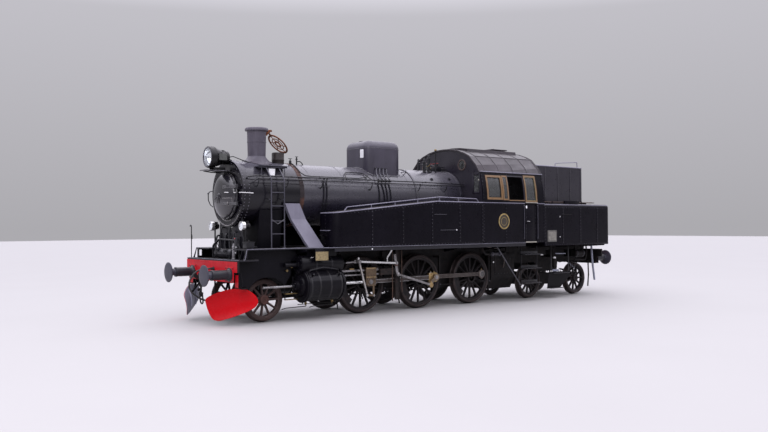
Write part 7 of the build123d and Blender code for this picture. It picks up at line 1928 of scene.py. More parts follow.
for s, side in ((1, "left"), (-1, "right")):
    pins = ROD_PINS[s]
    m = M()
    for (p, q), (h0, h1) in ((((pins[0][0] - 0.095, pins[0][1]), (pins[1][0] + 0.095, pins[1][1])), (0.046, 0.052)),
                             (((pins[1][0] - 0.095, pins[1][1]), (pins[2][0] + 0.095, pins[2][1])), (0.052, 0.046))):
        fluted(m, p, q, h0, h1, 0.888, 0.922, 0.014, 0.010, s)
    for i, (px, pz) in enumerate(pins):
        eye(m, px, pz, 0.112, 0.0626, 0.880, 0.930, s)
        oil_cup(m, px, s * 0.905, pz + 0.108)
        m.box(px - 0.030, px + 0.030, s * 0.884, s * 0.926, pz - 0.128, pz - 0.104, 0, 0.004)
    # knuckle of the rear part, behind the middle pin
    m.cyl((pins[1][0] - 0.170, s * 0.884, pins[1][1]), (pins[1][0] - 0.170, s * 0.9285, pins[1][1]), 0.026, 24, 3, 0.003)
    m.obj(f"coupling_rod_{side}_fluted", f"coupling_rod_{side}", ["rod", "rod_dark", "brass_dull", "steel"], "rod_steel", 35, (f"coupling_rod_{side}",))

    CP = pins[1]
    L = math.hypot(2.610 - ROD_PINS[1][1][0], CZ - ROD_PINS[1][1][1])
    XH = CP[0] + math.sqrt(L ** 2 - (CP[1] - CZ) ** 2)
    m = M()
    d = Vector((XH - CP[0], CZ - CP[1])).normalized()
    fluted(m, (CP[0] + d.x * 0.16, CP[1] + d.y * 0.16), (XH - d.x * 0.06, CZ - d.y * 0.06), 0.054, 0.041, 1.028, 1.072, 0.014, 0.012, s)
    eye(m, CP[0], CP[1], 0.118, 0.0628, 1.020, 1.080, s, 4, 2)
    eye(m, XH, CZ, 0.070, 0.0406, 1.020, 1.080, s, 0, 2)
    # strap, cotter and bolts of the big end
    ang = math.atan2(d.y, d.x)
    R = Matrix.Translation((CP[0], 0, CP[1])) @ Matrix.Rotation(-ang, 4, "Y")
    for z in (-0.092, 0.092):
        m.box(0.02, 0.205, s * 1.024, s * 1.076, z - 0.020, z + 0.020, 4, 0.004, R)
    m.box(0.100, 0.200, s * 1.026, s * 1.074, -0.075, 0.075, 4, 0.004, R)
    m.box(0.128, 0.148, s * 1.030, s * 1.070, -0.128, 0.135, 3, 0.003, R)
    for x in (0.060, 0.180):
        for z in (-0.092, 0.092):
            q = R @ Vector((x, s * 1.076, z))
            m.bolt(q, (0, s, 0), 0.009, 0.004, 3, False)
    oil_cup(m, CP[0] + 0.02, s * 1.05, CP[1] + 0.112)
    m.obj(f"main_rod_{side}_fluted", f"main_rod_{side}", ["steel", "rod_dark", "brass_dull", "bright", "brass"], "rod_steel", 35, (f"main_rod_{side}",))

    # crosshead dressing: pin nut, slipper liners, bolts, bright piston rod
    m = M()
    m.lathe([(0, 1.138), (0.056, 1.138), (0.056, 1.1405), (0, 1.1405)], (XH, 0, CZ), (0, s, 0), 28, 1, caps=False)
    m.lathe([(0.036, 1.1405), (0.036, 1.153), (0.030, 1.156), (0.016, 1.156), (0.016, 1.1605), (0, 1.1605)], (XH, 0, CZ), (0, s, 0), 6, 1, caps=False)
    for z in (0.868, 1.072):
        m.box(XH - 0.140, XH + 0.140, s * 1.1375, s * 1.1415, z - 0.012, z + 0.012, 2, 0.001)
        for x in (-0.12, -0.06, 0.0, 0.06, 0.12):
            m.bolt((XH + x, s * 1.141, z), (0, s, 0), 0.008, 0.007, 1, False)
    for x, z in ((-0.10, 0.70), (0.085, 0.70), (0.085, 0.82)):
        m.bolt((XH + x, s * 1.138, z), (0, s, 0), 0.011, 0.009, 1, False)
    m.lathe([(0.0368, XH + 0.155), (0.0368, XH + 1.180)], (0, s * CY, CZ), (1, 0, 0), 36, 3, caps=False)
    m.lathe([(0.040, XH + 0.140), (0.062, XH + 0.140), (0.062, XH + 0.185), (0.050, XH + 0.196), (0.037, XH + 0.198)], (0, s * CY, CZ), (1, 0, 0), 30, 0, caps=False)
    m.lathe([(0, 1.158), (0.026, 1.158), (0.026, 1.1615), (0, 1.1625)], (XH - 0.065, 0, 0.440), (0, s, 0), 20, 1, caps=False)
    m.obj(f"crosshead_{side}_dressing", f"crosshead_{side}", ["crosshead", "steel", "brass", "bright"], "rod_steel", 35)

    # combination lever: pins
    m = M()
    xl = 2.760 + (XH - 2.610)
    zl = 1.238 - math.sqrt(0.813 ** 2 - (xl - 2.989) ** 2)
    k = 0.075 / 0.813
    for px, pz, r in ((2.989, 1.238, 0.030), (xl, zl, 0.026), (2.989 - k * (xl - 2.989), 1.238 - k * (zl - 1.238), 0.024)):
        m.lathe([(0, 1.186), (r, 1.186), (r, 1.1895), (r * 0.7, 1.191), (0, 1.191)], (px, 0, pz), (0, s, 0), 20, 0, caps=False)
    slab_y(m, [Vector((2.979, 1.20)).lerp(Vector((xl, zl)), t) + o for t, o in ((0.06, Vector((-0.010, 0))), (0.06, Vector((0.012, 0))), (0.92, Vector((0.008, 0))), (0.92, Vector((-0.008, 0))))],
           s * 1.1865, s * 1.1885, 1, 0.0)
    m.obj(f"combination_lever_{side}_pins", f"combination_lever_{side}", ["bright", "steel_pale"], "rod_steel", 35)

m = M()                     # fixed gear, slide bars, brackets
for s in (1, -1):
    ecc = {1: (0.815, 0.598), -1: (0.770, 0.713)}[s]
    piv = Vector((1.900, 1.148))
    dx, dz = piv.x - ecc[0], piv.y - ecc[1]
    dd = math.hypot(dx, dz)
    al = (1.089 ** 2 - 0.247 ** 2 + dd ** 2) / (2 * dd)
    up = math.sqrt(1.089 ** 2 - al ** 2)
    t = Vector((ecc[0] + al * dx / dd + up * dz / dd, ecc[1] + al * dz / dd - up * dx / dd))
    u = (piv - t).normalized()
    # link pivot cap, link's slot, pin caps, eccentric rod and radius rod faces
    m.lathe([(0, 1.184), (0.050, 1.184), (0.050, 1.1925), (0.042, 1.1985), (0.020, 1.2005), (0, 1.2005)], (piv.x - 0.004, 0, piv.y), (0, s, 0), 32, 2, caps=False)
    for off in (-0.024, 0.024):
        n = Vector((-u.y, u.x)) * off
        slab_y(m, capsule(piv + u * 0.215 + n, piv - u * 0.175 + n, 0.007, 6), s * 1.1845, s * 1.1885, 1, 0.0)
    blk = piv + u * 0.025
    lev = Vector((2.989, 1.238))
    v = (lev - blk).normalized()
    slab_y(m, capsule(blk + v * 0.05, lev - v * 0.05, 0.0175, 8), s * 1.2165, s * 1.2195, 0, 0.001)
    for q, r in ((blk, 0.030), (lev, 0.030)):
        m.lathe([(0, 1.216), (r, 1.216), (r, 1.222), (r * 0.6, 1.226), (0, 1.226)], (q.x, 0, q.y), (0, s, 0), 24, 1, caps=False)
    w = (Vector(ecc) - t).normalized()
    slab_y(m, capsule(t + w * 0.055, Vector(ecc) - w * 0.07, 0.0165, 8), s * 1.2215, s * 1.2245, 1, 0.001)
    m.lathe([(0, 1.2215), (0.034, 1.2215), (0.034, 1.228), (0.024, 1.233), (0, 1.233)], (t.x, 0, t.y), (0, s, 0), 24, 1, caps=False)
    m.lathe([(0.063, 1.190), (0.063, 1.2285), (0.056, 1.233), (0.038, 1.2345), (0, 1.2345)], (ecc[0], 0, ecc[1]), (0, s, 0), 36, 3, caps=False)
    for i in range(3):
        a = 2 * PI * i / 3 + 0.4
        m.bolt((ecc[0] + 0.040 * math.cos(a), s * 1.2335, ecc[1] + 0.040 * math.sin(a)), (0, s, 0), 0.007, 0.007, 1, False)
    oil_cup(m, ecc[0], s * 1.207, ecc[1] + 0.058, 3)
    # bars: bolts through their ends, oil boxes
    for x in (2.365, 3.400):
        m.bolt((x, s * 1.05, 1.050), (0, 0, 1), 0.014, 0.018, 1, False)
    m.bolt((3.400, s * 1.05, 0.916), (0, 0, -1), 0.014, 0.018, 1, False)
    m.box(3.05, 3.17, s * 1.03, s * 1.07, 1.050, 1.082, 3, 0.004)
    m.box(2.50, 2.62, s * 1.03, s * 1.07, 1.050, 1.082, 3, 0.004)
    # motion bracket: web plate, ribs, bolts; brown uprights
    for x in (1.764, 1.886):
        m.box(x - 0.006, x + 0.006, s * 1.1345, s * 1.150, 0.34, 1.555, 4, 0.002)
    for z in [0.38 + 0.12 * i for i in range(10)]:
        for x in (1.785, 1.865):
            if abs(z - 1.148) > 0.10:
                m.bolt((x, s * 1.1345, z), (0, s, 0), 0.010, 0.009, 4, False)
    m.tube([(1.70, s * 1.145, 1.50), (1.70, s * 1.145, 0.62), (1.66, s * 1.12, 0.48)], 0.012, 10, 5, fillet=0.05)
    m.tube([(1.975, s * 1.135, 1.53), (1.975, s * 1.135, 0.28)], 0.012, 10, 5)
    # lifting arm and reversing rod back to the cab
    m.tube([(2.02, s * 0.70, 1.47), (2.02, s * 1.165, 1.47)], 0.028, 18, 4)
    slab_y(m, capsule((2.02, 1.47), (2.16, 1.30), 0.020, 8), s * 1.150, s * 1.168, 0, 0.003)
    slab_y(m, capsule((2.16, 1.30), (2.16, 1.175), 0.014, 8), s * 1.168, s * 1.180, 0, 0.003)
    m.tube([(1.98, s * 0.98, 1.505), (-1.30, s * 0.98, 1.52)], 0.019, 12, 1)
m.obj("fixed_motion_details", "chassis", ["bright", "steel", "rust_hub", "brass", "bracket", "rusty_pipe"], "rod_steel", 35)

m = M()                     # return crank bolts, one each side, with the crank pin's cap
for s in (1, -1):
    ecc = {1: (0.815, 0.598), -1: (0.770, 0.713)}[s]
    px, pz = pin_place(0.85, s)
    m.lathe([(0, 1.133), (0.050, 1.133), (0.050, 1.1385), (0.030, 1.1435), (0, 1.144)], (px, 0, pz), (0, s, 0), 30, 0, caps=False)
    d = (Vector((px, pz)) - Vector(ecc)).normalized()
    n = Vector((-d.y, d.x))
    for k in (-0.060, 0.060):
        q = Vector((px, pz)) - d * 0.055 + n * k
        m.bolt((q.x, s * 1.132, q.y), (0, s, 0), 0.011, 0.010, 0, False)
m.obj("return_crank_bolts", "driver_2", "steel", "rod_steel", 35)

# ------------------------------------------------------------------ rear tank and bunker
m = M()
path = [(-3.130, SKIN_Y), (-3.6, SKIN_Y), (-4.2, SKIN_Y), (-5.0, SKIN_Y)] + plan_arc(-5.960, SKIN_Y - 0.150, 0.150, 90, 180, 10)
path += [(-6.110, 0.6), (-6.110, 0.0), (-6.110, -0.6)] + plan_arc(-5.960, -SKIN_Y + 0.150, 0.150, 180, 270, 10) + [(-5.0, -SKIN_Y), (-4.2, -SKIN_Y), (-3.6, -SKIN_Y), (-3.130, -SKIN_Y)]
shell(m, path, lambda x, y: (max(x, -5.90), 0.0), 1.4835, lambda x: 2.650, 0.095, 0, 9, -1)
m.obj("rear_tank_sheets", "chassis", "tank", "black_paint", 38, ("rear_tank",))

m = M()
for s in (1, -1):
    for x in (-3.165, -3.92, -4.70, -5.48):
        m.box(x - 0.030, x + 0.030, s * (SKIN_Y - 0.002), s * (SKIN_Y + 0.0035), 1.53, 2.55, 0, 0.0015)
        for i in range(12):
            m.rivet((x, s * (SKIN_Y + 0.003), 1.57 + 0.088 * i), (0, s, 0), 0.0092, 0.006, 8, 1)
    m.box(-5.95, -3.135, s * (SKIN_Y - 0.002), s * (SKIN_Y + 0.0035), 1.486, 1.535, 0, 0.0015)
    x = -3.20
    while x > -5.93:
        m.rivet((x, s * (SKIN_Y + 0.003), 1.510), (0, s, 0), 0.0085, 0.0055, 8, 1)
        m.rivet((x, s * (SKIN_Y + 0.0005), 2.540), (0, s, 0), 0.0085, 0.0055, 8, 1)
        x -= 0.098
    # knobs, handle, plate left blank
    for z in (2.283, 1.724):
        m.lathe([(0, 0), (0.012, 0), (0.012, 0.010), (0.006, 0.0155), (0, 0.016)], (-3.785, s * (SKIN_Y + 0.003), z), (0, s, 0), 16, 3, caps=False)
    m.tube([(-3.854, s * SKIN_Y, 2.350), (-3.862, s * (SKIN_Y + 0.0125), 2.350), (-4.288, s * (SKIN_Y + 0.0125), 2.350), (-4.296, s * SKIN_Y, 2.350)], 0.0065, 8, 0, fillet=0.006)
    m.prism(rounded_rect(3.250, 3.640, 1.590, 1.910, 0.02), (0, 0, 0), (-1, 0, 0), (0, 0, 1), *sorted((s * (SKIN_Y + 0.0), s * (SKIN_Y + 0.007))), 4, 0.002)
    m.prism(rounded_rect(3.290, 3.600, 1.630, 1.870, 0.012), (0, 0, 0), (-1, 0, 0), (0, 0, 1), *sorted((s * (SKIN_Y + 0.006), s * (SKIN_Y + 0.0095))), 5, 0.001)
    for a, b in ((3.262, 1.602), (3.628, 1.602), (3.262, 1.898), (3.628, 1.898)):
        m.rivet((-a, s * (SKIN_Y + 0.007), b), (0, s, 0), 0.006, 0.004, 8, 1)
    # edge round the top, pale as a painted highlight
    top = [(-3.135, s * (SKIN_Y - 0.028), 2.6225)] + [(x, s * (y - 0.028), 2.6225) for x, y in plan_arc(-5.960, SKIN_Y - 0.150, 0.150, 90, 180, 10)]
    m.tube(top, 0.0115, 10, 2)
    # filler and fire irons on top
    m.lathe([(0.15, 2.645), (0.17, 2.648), (0.17, 2.70), (0.185, 2.704), (0.185, 2.722), (0.10, 2.735), (0, 2.738)], (-5.70, s * 0.72, 0), (0, 0, 1), 40, 0, caps=False)
    m.box(-5.74, -5.66, s * 0.50, s * 0.56, 2.70, 2.735, 0, 0.004)
    for yy, zz, x0, x1 in ((1.22, 2.700, -3.35, -5.40), (1.30, 2.700, -3.30, -5.20)):
        m.tube([(x0, s * yy, zz), (x1, s * yy, zz), (x1 - 0.10, s * (yy + 0.03), zz), (x1 - 0.16, s * (yy + 0.10), zz)], 0.012, 10, 6, fillet=0.04)
    for x in (-3.60, -4.90):
        m.box(x - 0.02, x + 0.02, s * 1.16, s * 1.38, 2.650, 2.668, 0, 0.003)
        for y in (1.17, 1.36):
            m.box(x - 0.015, x + 0.015, s * y, s * (y + 0.014), 2.650, 2.735, 0, 0.003)
    m.box(-4.72, -4.06, s * 1.385, s * 1.435, 2.652, 2.742, 0, 0.008)
    # steps and rails up the rear face, rear lamps
    for z in (1.70, 1.98, 2.26, 2.50):
        m.tube([(-6.105, s * 0.98, z), (-6.185, s * 0.98, z), (-6.185, s * 1.22, z), (-6.105, s * 1.22, z)], 0.011, 10, 7, fillet=0.02)
    m.tube([(-6.105, s * 1.30, 1.60), (-6.165, s * 1.30, 1.62), (-6.165, s * 1.30, 2.50), (-6.12, s * 1.30, 2.58)], 0.012, 10, 2, fillet=0.03)
    m.lathe([(0.104, 0.0), (0.104, 0.060), (0.098, 0.072), (0.088, 0.074), (0.080, 0.070), (0.078, 0.050)], (-6.20, s * 0.72, 1.72), (-1, 0, 0), 44, 8, caps=False)
    m.lathe([(0.104, 0.0), (0.098, -0.012), (0.070, -0.045), (0.070, -0.085), (0, -0.088)], (-6.20, s * 0.72, 1.72), (-1, 0, 0), 36, 0, caps=False)
    m.lathe([(0.079, 0.050), (0.055, 0.062), (0, 0.068)], (-6.20, s * 0.72, 1.72), (-1, 0, 0), 36, 9, caps=False)
    m.tube([(-6.16, s * 0.72, 1.66), (-6.16, s * 0.72, 1.40)], 0.016, 12, 0)
# rivets of the rear face, upper lamp with its bracket
for y in (-1.0, -0.5, 0.0, 0.5, 1.0):
    for i in range(12):
        m.rivet((-6.1105, y, 1.57 + 0.088 * i), (-1, 0, 0), 0.0092, 0.006, 8, 1)
m.lathe([(0.104, 0.0), (0.104, 0.060), (0.098, 0.072), (0.088, 0.074), (0.080, 0.070), (0.078, 0.050)], (-6.14, 0.0, 2.80), (-1, 0, 0), 44, 8, caps=False)
m.lathe([(0.104, 0.0), (0.098, -0.012), (0.070, -0.045), (0.070, -0.085), (0, -0.088)], (-6.14, 0.0, 2.80), (-1, 0, 0), 36, 0, caps=False)
m.lathe([(0.079, 0.050), (0.055, 0.062), (0, 0.068)], (-6.14, 0.0, 2.80), (-1, 0, 0), 36, 9, caps=False)
m.box(-6.12, -6.06, -0.03, 0.03, 2.62, 2.72, 0, 0.006)
m.obj("rear_tank_fittings", "chassis", ["tank", "rivet_dark", "bead_painted_highlight", "enamel", "plate_rim", "plate_pale", "rusty_pipe", "ladder", "lamp_rim", "lens"], "black_paint", 35)

m = M()                     # bunker: rim, stiffeners, rivets, rail
# the rim, rail and top strip are pale as a painted highlight
for s in (1, -1):
    m.tube([(-3.14, s * 1.012, 3.735), (-5.36, s * 1.012, 3.735), (-5.422, s * 0.95, 3.735), (-5.422, 0.0, 3.735)], 0.016, 10, 1, fillet=0.05)
    for x in (-3.17, -3.72, -4.28, -4.84, -5.33):
        m.box(x - 0.022, x + 0.022, s * 1.008, s * 1.016, 2.66, 3.715, 0, 0.002)
        for i in range(12):
            m.rivet((x, s * 1.0155, 2.70 + 0.088 * i), (0, s, 0), 0.0088, 0.006, 8, 2)
    for i in range(24):
        m.rivet((-3.22 - 0.092 * i, s * 1.0105, 2.69), (0, s, 0), 0.0085, 0.006, 8, 2)
    for y in (0.25, 0.75):
        m.box(-5.428, -5.419, s * y - 0.022, s * y + 0.022, 2.66, 3.715, 0, 0.002)
        for i in range(12):
            m.rivet((-5.428, s * y, 2.70 + 0.088 * i), (-1, 0, 0), 0.0088, 0.006, 8, 2)
    m.tube([(-4.20, s * 0.985, 3.74), (-4.21, s * 0.985, 3.835), (-5.20, s * 0.985, 3.905), (-5.21, s * 0.985, 3.74)], 0.012, 10, 1, fillet=0.03)
    m.box(-5.40, -3.16, s * 1.006, s * 0.986, 3.738, 3.752, 1, 0.002)
m.obj("bunker_trim", "chassis", ["black", "bead_painted_highlight", "rivet_dark"], "black_paint", 35)

from mathutils import noise as mnoise
m = M()                     # the coal: a heap of faceted lumps
NX, NY = 74, 62
verts = []
for i in range(NX + 1):
    for j in range(NY + 1):
        fx, fy = i / NX, j / NY
        x, y = -5.392 + 2.232 * fx, -0.982 + 1.964 * fy
        edge = min(1.0, 5.0 * min(fx, 1 - fx, fy, 1 - fy))
        d = mnoise.voronoi(Vector((x * 7.5, y * 7.5, 3.1)))[0]
        z = 3.42 + 0.26 * math.sqrt(max(0.0, edge)) * (0.75 + 0.25 * math.sin(fx * 3.0)) + 0.055 * (d[1] - d[0]) * edge + 0.03 * mnoise.noise(Vector((x * 3, y * 3, 0.0)))
        verts.append((x, y, min(3.80, z)))
faces = [(i * (NY + 1) + j, (i + 1) * (NY + 1) + j, (i + 1) * (NY + 1) + j + 1, i * (NY + 1) + j + 1) for i in range(NX) for j in range(NY)]
m.add(verts, faces, 0)
rnd = random.Random(5)
for k in range(150):
    x, y = rnd.uniform(-5.28, -3.27), rnd.uniform(-0.88, 0.88)
    r = rnd.uniform(0.03, 0.075)
    e = min(1.0, 5.0 * min((x + 5.392) / 2.232, (-3.16 - x) / 2.232, (y + 0.982) / 1.964, (0.982 - y) / 1.964))
    z = 3.44 + 0.24 * math.sqrt(max(0, e)) + 0.02
    bm = bmesh.new()
    bmesh.ops.create_icosphere(bm, subdivisions=1, radius=r)
    for v in bm.verts:
        v.co = Vector((v.co.x * rnd.uniform(0.75, 1.3), v.co.y * rnd.uniform(0.75, 1.3), v.co.z * rnd.uniform(0.6, 1.1))) + Vector((x, y, z))
    bm.verts.index_update()
    m.add([v.co[:] for v in bm.verts], [[v.index for v in f.verts] for f in bm.faces], 0)
    bm.free()
m.obj("coal_heap", "chassis", "coal", "cast_iron", 10)

# ------------------------------------------------------------------ under the boards: springs, brakes, pipes, pump
m = M()


def leaf_spring(m, x, y, z, half, s, n=7, mat=0):
    for i in range(n):
        h = half * (1 - i * 0.12)
        sag = 0.030
        pts = [Vector((x - h + 2 * h * k / 8, y, z - i * 0.011 + sag * (2 * k / 8 - 1) ** 2 * (h / half) ** 2)) for k in range(9)]
        for a, b in zip(pts, pts[1:]):
            mid, dv = (a + b) / 2, b - a
            mt = Matrix.Translation(mid) @ Matrix.Rotation(-math.atan2(dv.z, dv.x), 4, "Y")
            m.box(-dv.length / 2 - 0.001, dv.length / 2 + 0.001, -0.045, 0.045, -0.005, 0.005, mat, 0.0, mt)
    m.box(x - 0.045, x + 0.045, y - 0.055, y + 0.055, z - n * 0.011 - 0.012, z + 0.016, mat, 0.005)


for s in (1, -1):
    # brake pull rods and cross shafts
    m.tube([(2.15, s * 0.765, 0.545), (-1.66, s * 0.765, 0.545)], 0.014, 10, 0)
    for x in (1.945, 0.145, -1.655):
        m.cyl((x, s * 0.700, 0.560), (x, s * 0.812, 0.560), 0.020, 16, 1, 0.003)
        m.bolt((x, s * 0.812, 0.560), (0, s, 0), 0.016, 0.012, 1, False)
    # sand pipes, down ahead of the coupled wheels
    for x in (3.42, 1.58):
        m.tube([(x, s * 0.80, 1.50), (x - 0.02, s * 0.80, 0.90), (x - 0.10, s * 0.755, 0.30), (x - 0.13, s * 0.750, 0.16)], 0.016, 10, 0, fillet=0.12)
        m.box(x - 0.05, x + 0.01, s * 0.77, s * 0.83, 1.20, 1.23, 0, 0.003)
    # injector and its pipes below the cab
    m.cyl((-1.62, s * 1.24, 1.30), (-1.24, s * 1.24, 1.30), 0.045, 22, 4, 0.008)
    m.ring((-1.56, s * 1.24, 1.30), (1, 0, 0), 0.04, 0.064, -0.014, 0.014, 6, 1, 0.002)
    m.ring((-1.30, s * 1.24, 1.30), (1, 0, 0), 0.04, 0.064, -0.014, 0.014, 6, 1, 0.002)
    m.tube([(-1.24, s * 1.24, 1.30), (-1.05, s * 1.24, 1.30), (-0.95, s * 1.24, 1.42), (-0.95, s * 1.24, 1.555)], 0.024, 14, 0, fillet=0.08)
    m.tube([(-1.62, s * 1.24, 1.30), (-1.80, s * 1.24, 1.30), (-1.88, s * 1.20, 1.44), (-1.88, s * 1.20, 1.555)], 0.024, 14, 0, fillet=0.08)
    m.tube([(-1.43, s * 1.24, 1.26), (-1.43, s * 1.24, 1.10), (-1.40, s * 1.24, 0.96)], 0.016, 12, 0, fillet=0.05)
    m.lathe([(0, 0), (0.018, 0), (0.018, 0.008), (0, 0.011)], (-1.327, s * 1.262, 1.090), (0, s, 0), 16, 5, caps=False)
    m.tube([(-1.327, s * 1.245, 1.26), (-1.327, s * 1.250, 1.075)], 0.012, 10, 0)
    # ash pan: door frame, damper lever, rivets
    m.box(-2.50, -1.86, s * 0.800, s * 0.808, 0.72, 1.16, 0, 0.002)
    for x in [-2.47 + 0.12 * i for i in range(6)]:
        for z in (0.745, 1.135):
            m.rivet((x, s * 0.808, z), (0, s, 0), 0.009, 0.006, 8, 1)
    m.tube([(-2.18, s * 0.82, 0.90), (-2.18, s * 0.87, 1.10), (-1.95, s * 0.87, 1.42), (-1.30, s * 0.87, 1.50)], 0.011, 10, 2, fillet=0.08)
    # pump on the rear tank's carrier, with its white cap, bar above it
    m.lathe([(0, 0.70), (0.060, 0.70), (0.060, 0.72), (0.045, 0.735), (0.045, 0.86), (0.070, 0.87), (0.070, 0.90), (0.055, 0.91), (0.055, 1.06), (0.072, 1.07), (0.072, 1.095), (0.040, 1.105)],
            (-4.00, s * 1.10, 0), (0, 0, 1), 32, 0, caps=False)
    m.lathe([(0.042, 1.100), (0.042, 1.135), (0.034, 1.150), (0, 1.154)], (-4.00, s * 1.10, 0), (0, 0, 1), 28, 5, caps=False)
    m.tube([(-4.00, s * 1.10, 0.72), (-4.00, s * 1.06, 0.60), (-4.40, s * 1.02, 0.56), (-4.9, s * 0.98, 0.60), (-5.15, s * 0.92, 1.0)], 0.018, 12, 0, fillet=0.08)
    m.tube([(-3.99, s * 1.15, 1.244), (-4.42, s * 1.15, 1.236)], 0.016, 10, 6)
    m.box(-3.80, -3.765, s * 1.12, s * 1.165, 1.20, 1.48, 0, 0.003)
    m.box(-4.10, -3.82, s * 1.164, s * 1.180, 0.74, 0.80, 6, 0.003)
    # slanted hatch, bluish upright, pipes at the rear end
    m.prism([(4.542, 0.985), (4.60, 1.02), (4.92, 0.835), (4.859, 0.80)], (0, 0, 0), (-1, 0, 0), (0, 0, 1), *sorted((s * 1.10, s * 1.116)), 0, 0.003)
    for k in range(4):
        a = Vector((-4.585 - 0.085 * k, 0.985 - 0.05 * k))
        m.tube([(a.x, s * 1.117, a.y + 0.008), (a.x - 0.040, s * 1.117, a.y - 0.055)], 0.006, 6, 6)
    m.tube([(-5.70, s * 1.10, 1.46), (-5.72, s * 1.12, 0.96), (-5.80, s * 1.12, 0.50), (-5.84, s * 1.10, 0.42)], 0.030, 14, 6, fillet=0.1)
    m.box(-5.73, -5.67, s * 1.05, s * 1.15, 1.44, 1.483, 0, 0.004)
    m.tube([(-5.55, s * 1.02, 1.48), (-5.55, s * 1.04, 1.20), (-5.45, s * 1.06, 1.02), (-4.95, s * 1.06, 1.04)], 0.022, 12, 0, fillet=0.1)
    m.cyl((-5.50, s * 0.95, 1.22), (-5.05, s * 0.95, 1.22), 0.105, 32, 0, 0.02)
    for x in (-5.42, -5.13):
        m.ring((x, s * 0.95, 1.22), (1, 0, 0), 0.104, 0.110, -0.014, 0.014, 32, 1, 0.002)
        m.box(x - 0.014, x + 0.014, s * 0.93, s * 0.97, 1.32, 1.483, 0, 0.002)
    # tank carriers and pipes between tank and frame
    for x in (-3.45, -4.55, -5.90):
        m.prism([(0.572, 1.40), (0.62, 1.40), (1.42, 1.45), (1.42, 1.4825), (0.572, 1.4825)], (x, 0, 0), (0, s, 0), (0, 0, 1), -0.010, 0.010, 0, 0.002)
    m.tube([(-2.9, s * 0.70, 1.44), (-5.9, s * 0.70, 1.44)], 0.024, 12, 0)
    m.tube([(3.2, s * 1.32, 1.535), (-2.2, s * 1.32, 1.535)], 0.012, 10, 0)
    m.tube([(3.3, s * 1.27, 1.540), (-1.6, s * 1.27, 1.540)], 0.008, 8, 3)
    # guard irons ahead of the rear wheels
    m.tube([(-6.00, s * 0.75, 0.985), (-6.02, s * 0.75, 0.55), (-5.98, s * 0.75, 0.20)], 0.020, 10, 0, fillet=0.1)
m.obj("underframe_details", "chassis", ["frame", "rivet_dark", "rod", "brass_dull", "black", "enamel", "pale_blue"], "cast_iron", 35)

m = M()                     # springs and boxes of the bogie
for s in (1, -1):
    for x in (-3.25, -5.30):
        leaf_spring(m, x, s * 0.50, 0.735, 0.34, s, 6)
        m.box(x - 0.10, x + 0.10, s * 0.470, s * 0.555, 0.400, 0.590, 0, 0.010)
        for dx in (-0.31, 0.31):
            m.tube([(x + dx, s * 0.50, 0.745), (x + dx, s * 0.50, 0.60)], 0.012, 10, 0)
    m.tube([(-2.90, s * 0.455, 0.47), (-5.64, s * 0.455, 0.47)], 0.018, 10, 0)
    for x in (-2.95, -3.60, -4.95, -5.60):
        m.bolt((x, s * 0.470, 0.50), (0, s, 0), 0.016, 0.012, 0, False)
m.obj("bogie_springs", "bogie", "frame", "cast_iron", 35)
m = M()
for s in (1, -1):
    m.box(5.25 - 0.10, 5.25 + 0.10, s * 0.498, s * 0.560, 0.400, 0.600, 0, 0.010)
    for dx in (-0.13, 0.13):
        for z in (0.42, 0.60):
            m.bolt((5.25 + dx, s * 0.500, z), (0, s, 0), 0.013, 0.012, 0, False)
m.obj("leading_truck_boxes", "leading_truck", "frame", "cast_iron", 35)
# ------------------------------------------------------------------ finish of the CAD nodes
FINISH = {
    "backhead": "smokebox", "bogie_frame": "frame", "boiler": "cladding", "brake_gear": "frame", "buffer_beams": "beam_dark",
    "buffers": "buffer", "cab_door_left": "tank", "cab_door_right": "tank", "cab_ends": "black", "cab_floor": "planks",
    "cab_roof": "roof", "cab_sides": "tank", "chimney": "smokebox", "chimney_lid": "rust", "coal_bunker": "black",
    "combination_lever_left": "steel", "combination_lever_right": "steel", "coupling_rod_left": "rod", "brake_hose_front": "rubber",
    "coupling_rod_right": "rod", "crosshead_left": "crosshead", "crosshead_right": "crosshead", "cylinders": "cylinder",
    "dome_casing": "dome", "draw_gear": "frame", "filler_lid_left": "black", "filler_lid_right": "black",
    "firebox": "cladding", "frame_plates": "frame", "frame_stretchers": "valance", "front_lamps": "black",
    "front_valances": "valance", "main_rod_left": "steel", "main_rod_right": "steel", "motion_brackets": "bracket",
    "pony_truck": "frame", "rail_ploughs": "plough_red", "rear_tank": "tank", "return_cranks": "crank",
    "running_boards": "board", "side_tanks": "tank", "slide_bars": "bar", "smokebox": "smokebox",
    "smokebox_door": "smokebox", "steam_pipe_casings": "grey", "steps_and_ladders": "black", "valve_gear": "steel",
    "ash_pan": "frame", "leading_wheels": "rust_wheel",
}
for name in NODES:
    if name in FINISH:
        skin(name, FINISH[name])
    elif name.endswith("_tyres"):
        skin(name, "tyre")
    elif name.endswith("_wheels"):
        skin(name, "wheel")
    else:
        skin(name, "black")
for name, w in (("dome_casing", 0.006), ("side_tanks", 0.006), ("cylinders", 0.006), ("running_boards", 0.004), ("front_valances", 0.003),
                ("steam_pipe_casings", 0.012), ("cab_ends", 0.004), ("cab_sides", 0.004), ("cab_roof", 0.006), ("rear_tank", 0.008), ("coal_bunker", 0.006),
                ("coupling_rod_left", 0.004), ("coupling_rod_right", 0.004), ("main_rod_left", 0.004), ("main_rod_right", 0.004),
                ("crosshead_left", 0.004), ("crosshead_right", 0.004), ("combination_lever_left", 0.003), ("combination_lever_right", 0.003),
                ("valve_gear", 0.003), ("return_cranks", 0.004), ("slide_bars", 0.003), ("motion_brackets", 0.004), ("frame_plates", 0.003),
                ("buffer_beams", 0.004), ("ash_pan", 0.005), ("bogie_frame", 0.005), ("pony_truck", 0.005), ("brake_gear", 0.004),
                ("backhead", 0.008), ("cab_door_left", 0.003), ("cab_door_right", 0.003)):
    soften(name, w)

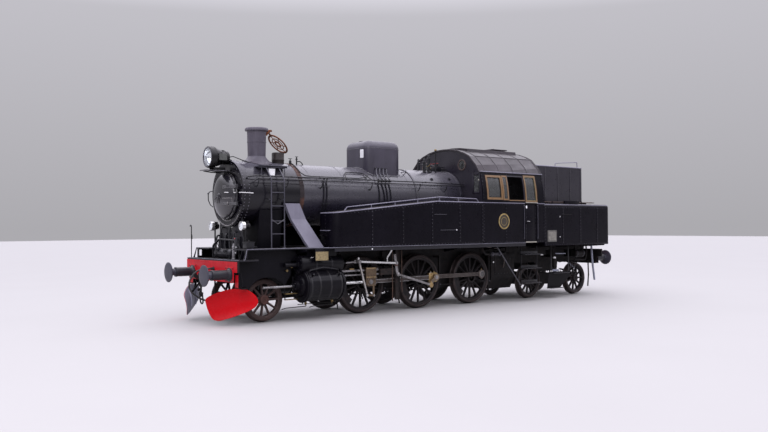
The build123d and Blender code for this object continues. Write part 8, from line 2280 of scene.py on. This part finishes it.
# ------------------------------------------------------------------ floor and light
floor_mat = Mat("studio floor")
floor_mat.set(color=floor_mat.mix(floor_mat.rng(floor_mat.noise(0.35, 4.0, 0.5), 0.3, 0.7, 0.0, 1.0), (0.345, 0.338, 0.334), (0.352, 0.345, 0.341)),
              rough=0.75, normal=floor_mat.bump(floor_mat.noise(9.0, 3.0, 0.5), 0.05, 0.004))
me = bpy.data.meshes.new("floor")
me.from_pydata([(-120, -120, 0), (120, -120, 0), (120, 120, 0), (-120, 120, 0)], [], [(0, 1, 2, 3)])
me.materials.append(floor_mat.m)
floor = bpy.data.objects.new("floor", me)
bpy.context.scene.collection.objects.link(floor)

world = bpy.data.worlds.new("sky")
world.use_nodes = True
nt = world.node_tree
nt.nodes.clear()
out = nt.nodes.new("ShaderNodeOutputWorld")
bg = nt.nodes.new("ShaderNodeBackground")
tc = nt.nodes.new("ShaderNodeTexCoord")
sep = nt.nodes.new("ShaderNodeSeparateXYZ")
cr = nt.nodes.new("ShaderNodeValToRGB")
cr.color_ramp.elements[0].position = 0.0
cr.color_ramp.elements[0].color = (0.165, 0.162, 0.172, 1)
cr.color_ramp.elements[1].position = 1.0
cr.color_ramp.elements[1].color = (1.02, 1.0, 1.12, 1)
e = cr.color_ramp.elements.new(0.26)
e.color = (0.215, 0.211, 0.228, 1)
e = cr.color_ramp.elements.new(0.50)
e.color = (0.84, 0.82, 0.92, 1)
nt.links.new(tc.outputs["Generated"], sep.inputs[0])
nt.links.new(sep.outputs["Z"], cr.inputs["Fac"])
nt.links.new(cr.outputs["Color"], bg.inputs["Color"])
bg.inputs["Strength"].default_value = 2.5
nt.links.new(bg.outputs[0], out.inputs[0])
bpy.context.scene.world = world
bpy.context.scene.view_settings.view_transform = "Standard"


def area_light(name, at, look, size, power, colour=(1, 1, 1)):
    l = bpy.data.lights.new(name, "AREA")
    l.shape, l.size, l.size_y, l.energy, l.color = "RECTANGLE", size[0], size[1], power, colour
    o = bpy.data.objects.new(name, l)
    o.location = at
    o.rotation_euler = (Vector(look) - Vector(at)).to_track_quat("-Z", "Y").to_euler()
    bpy.context.scene.collection.objects.link(o)


area_light("sky panel", (2, 3, 16), (0, 0, 2), (22, 14), 700, (0.97, 0.95, 1.0))
area_light("front panel", (16, 12, 9), (3, 0, 2), (10, 6), 450, (0.98, 0.96, 1.0))
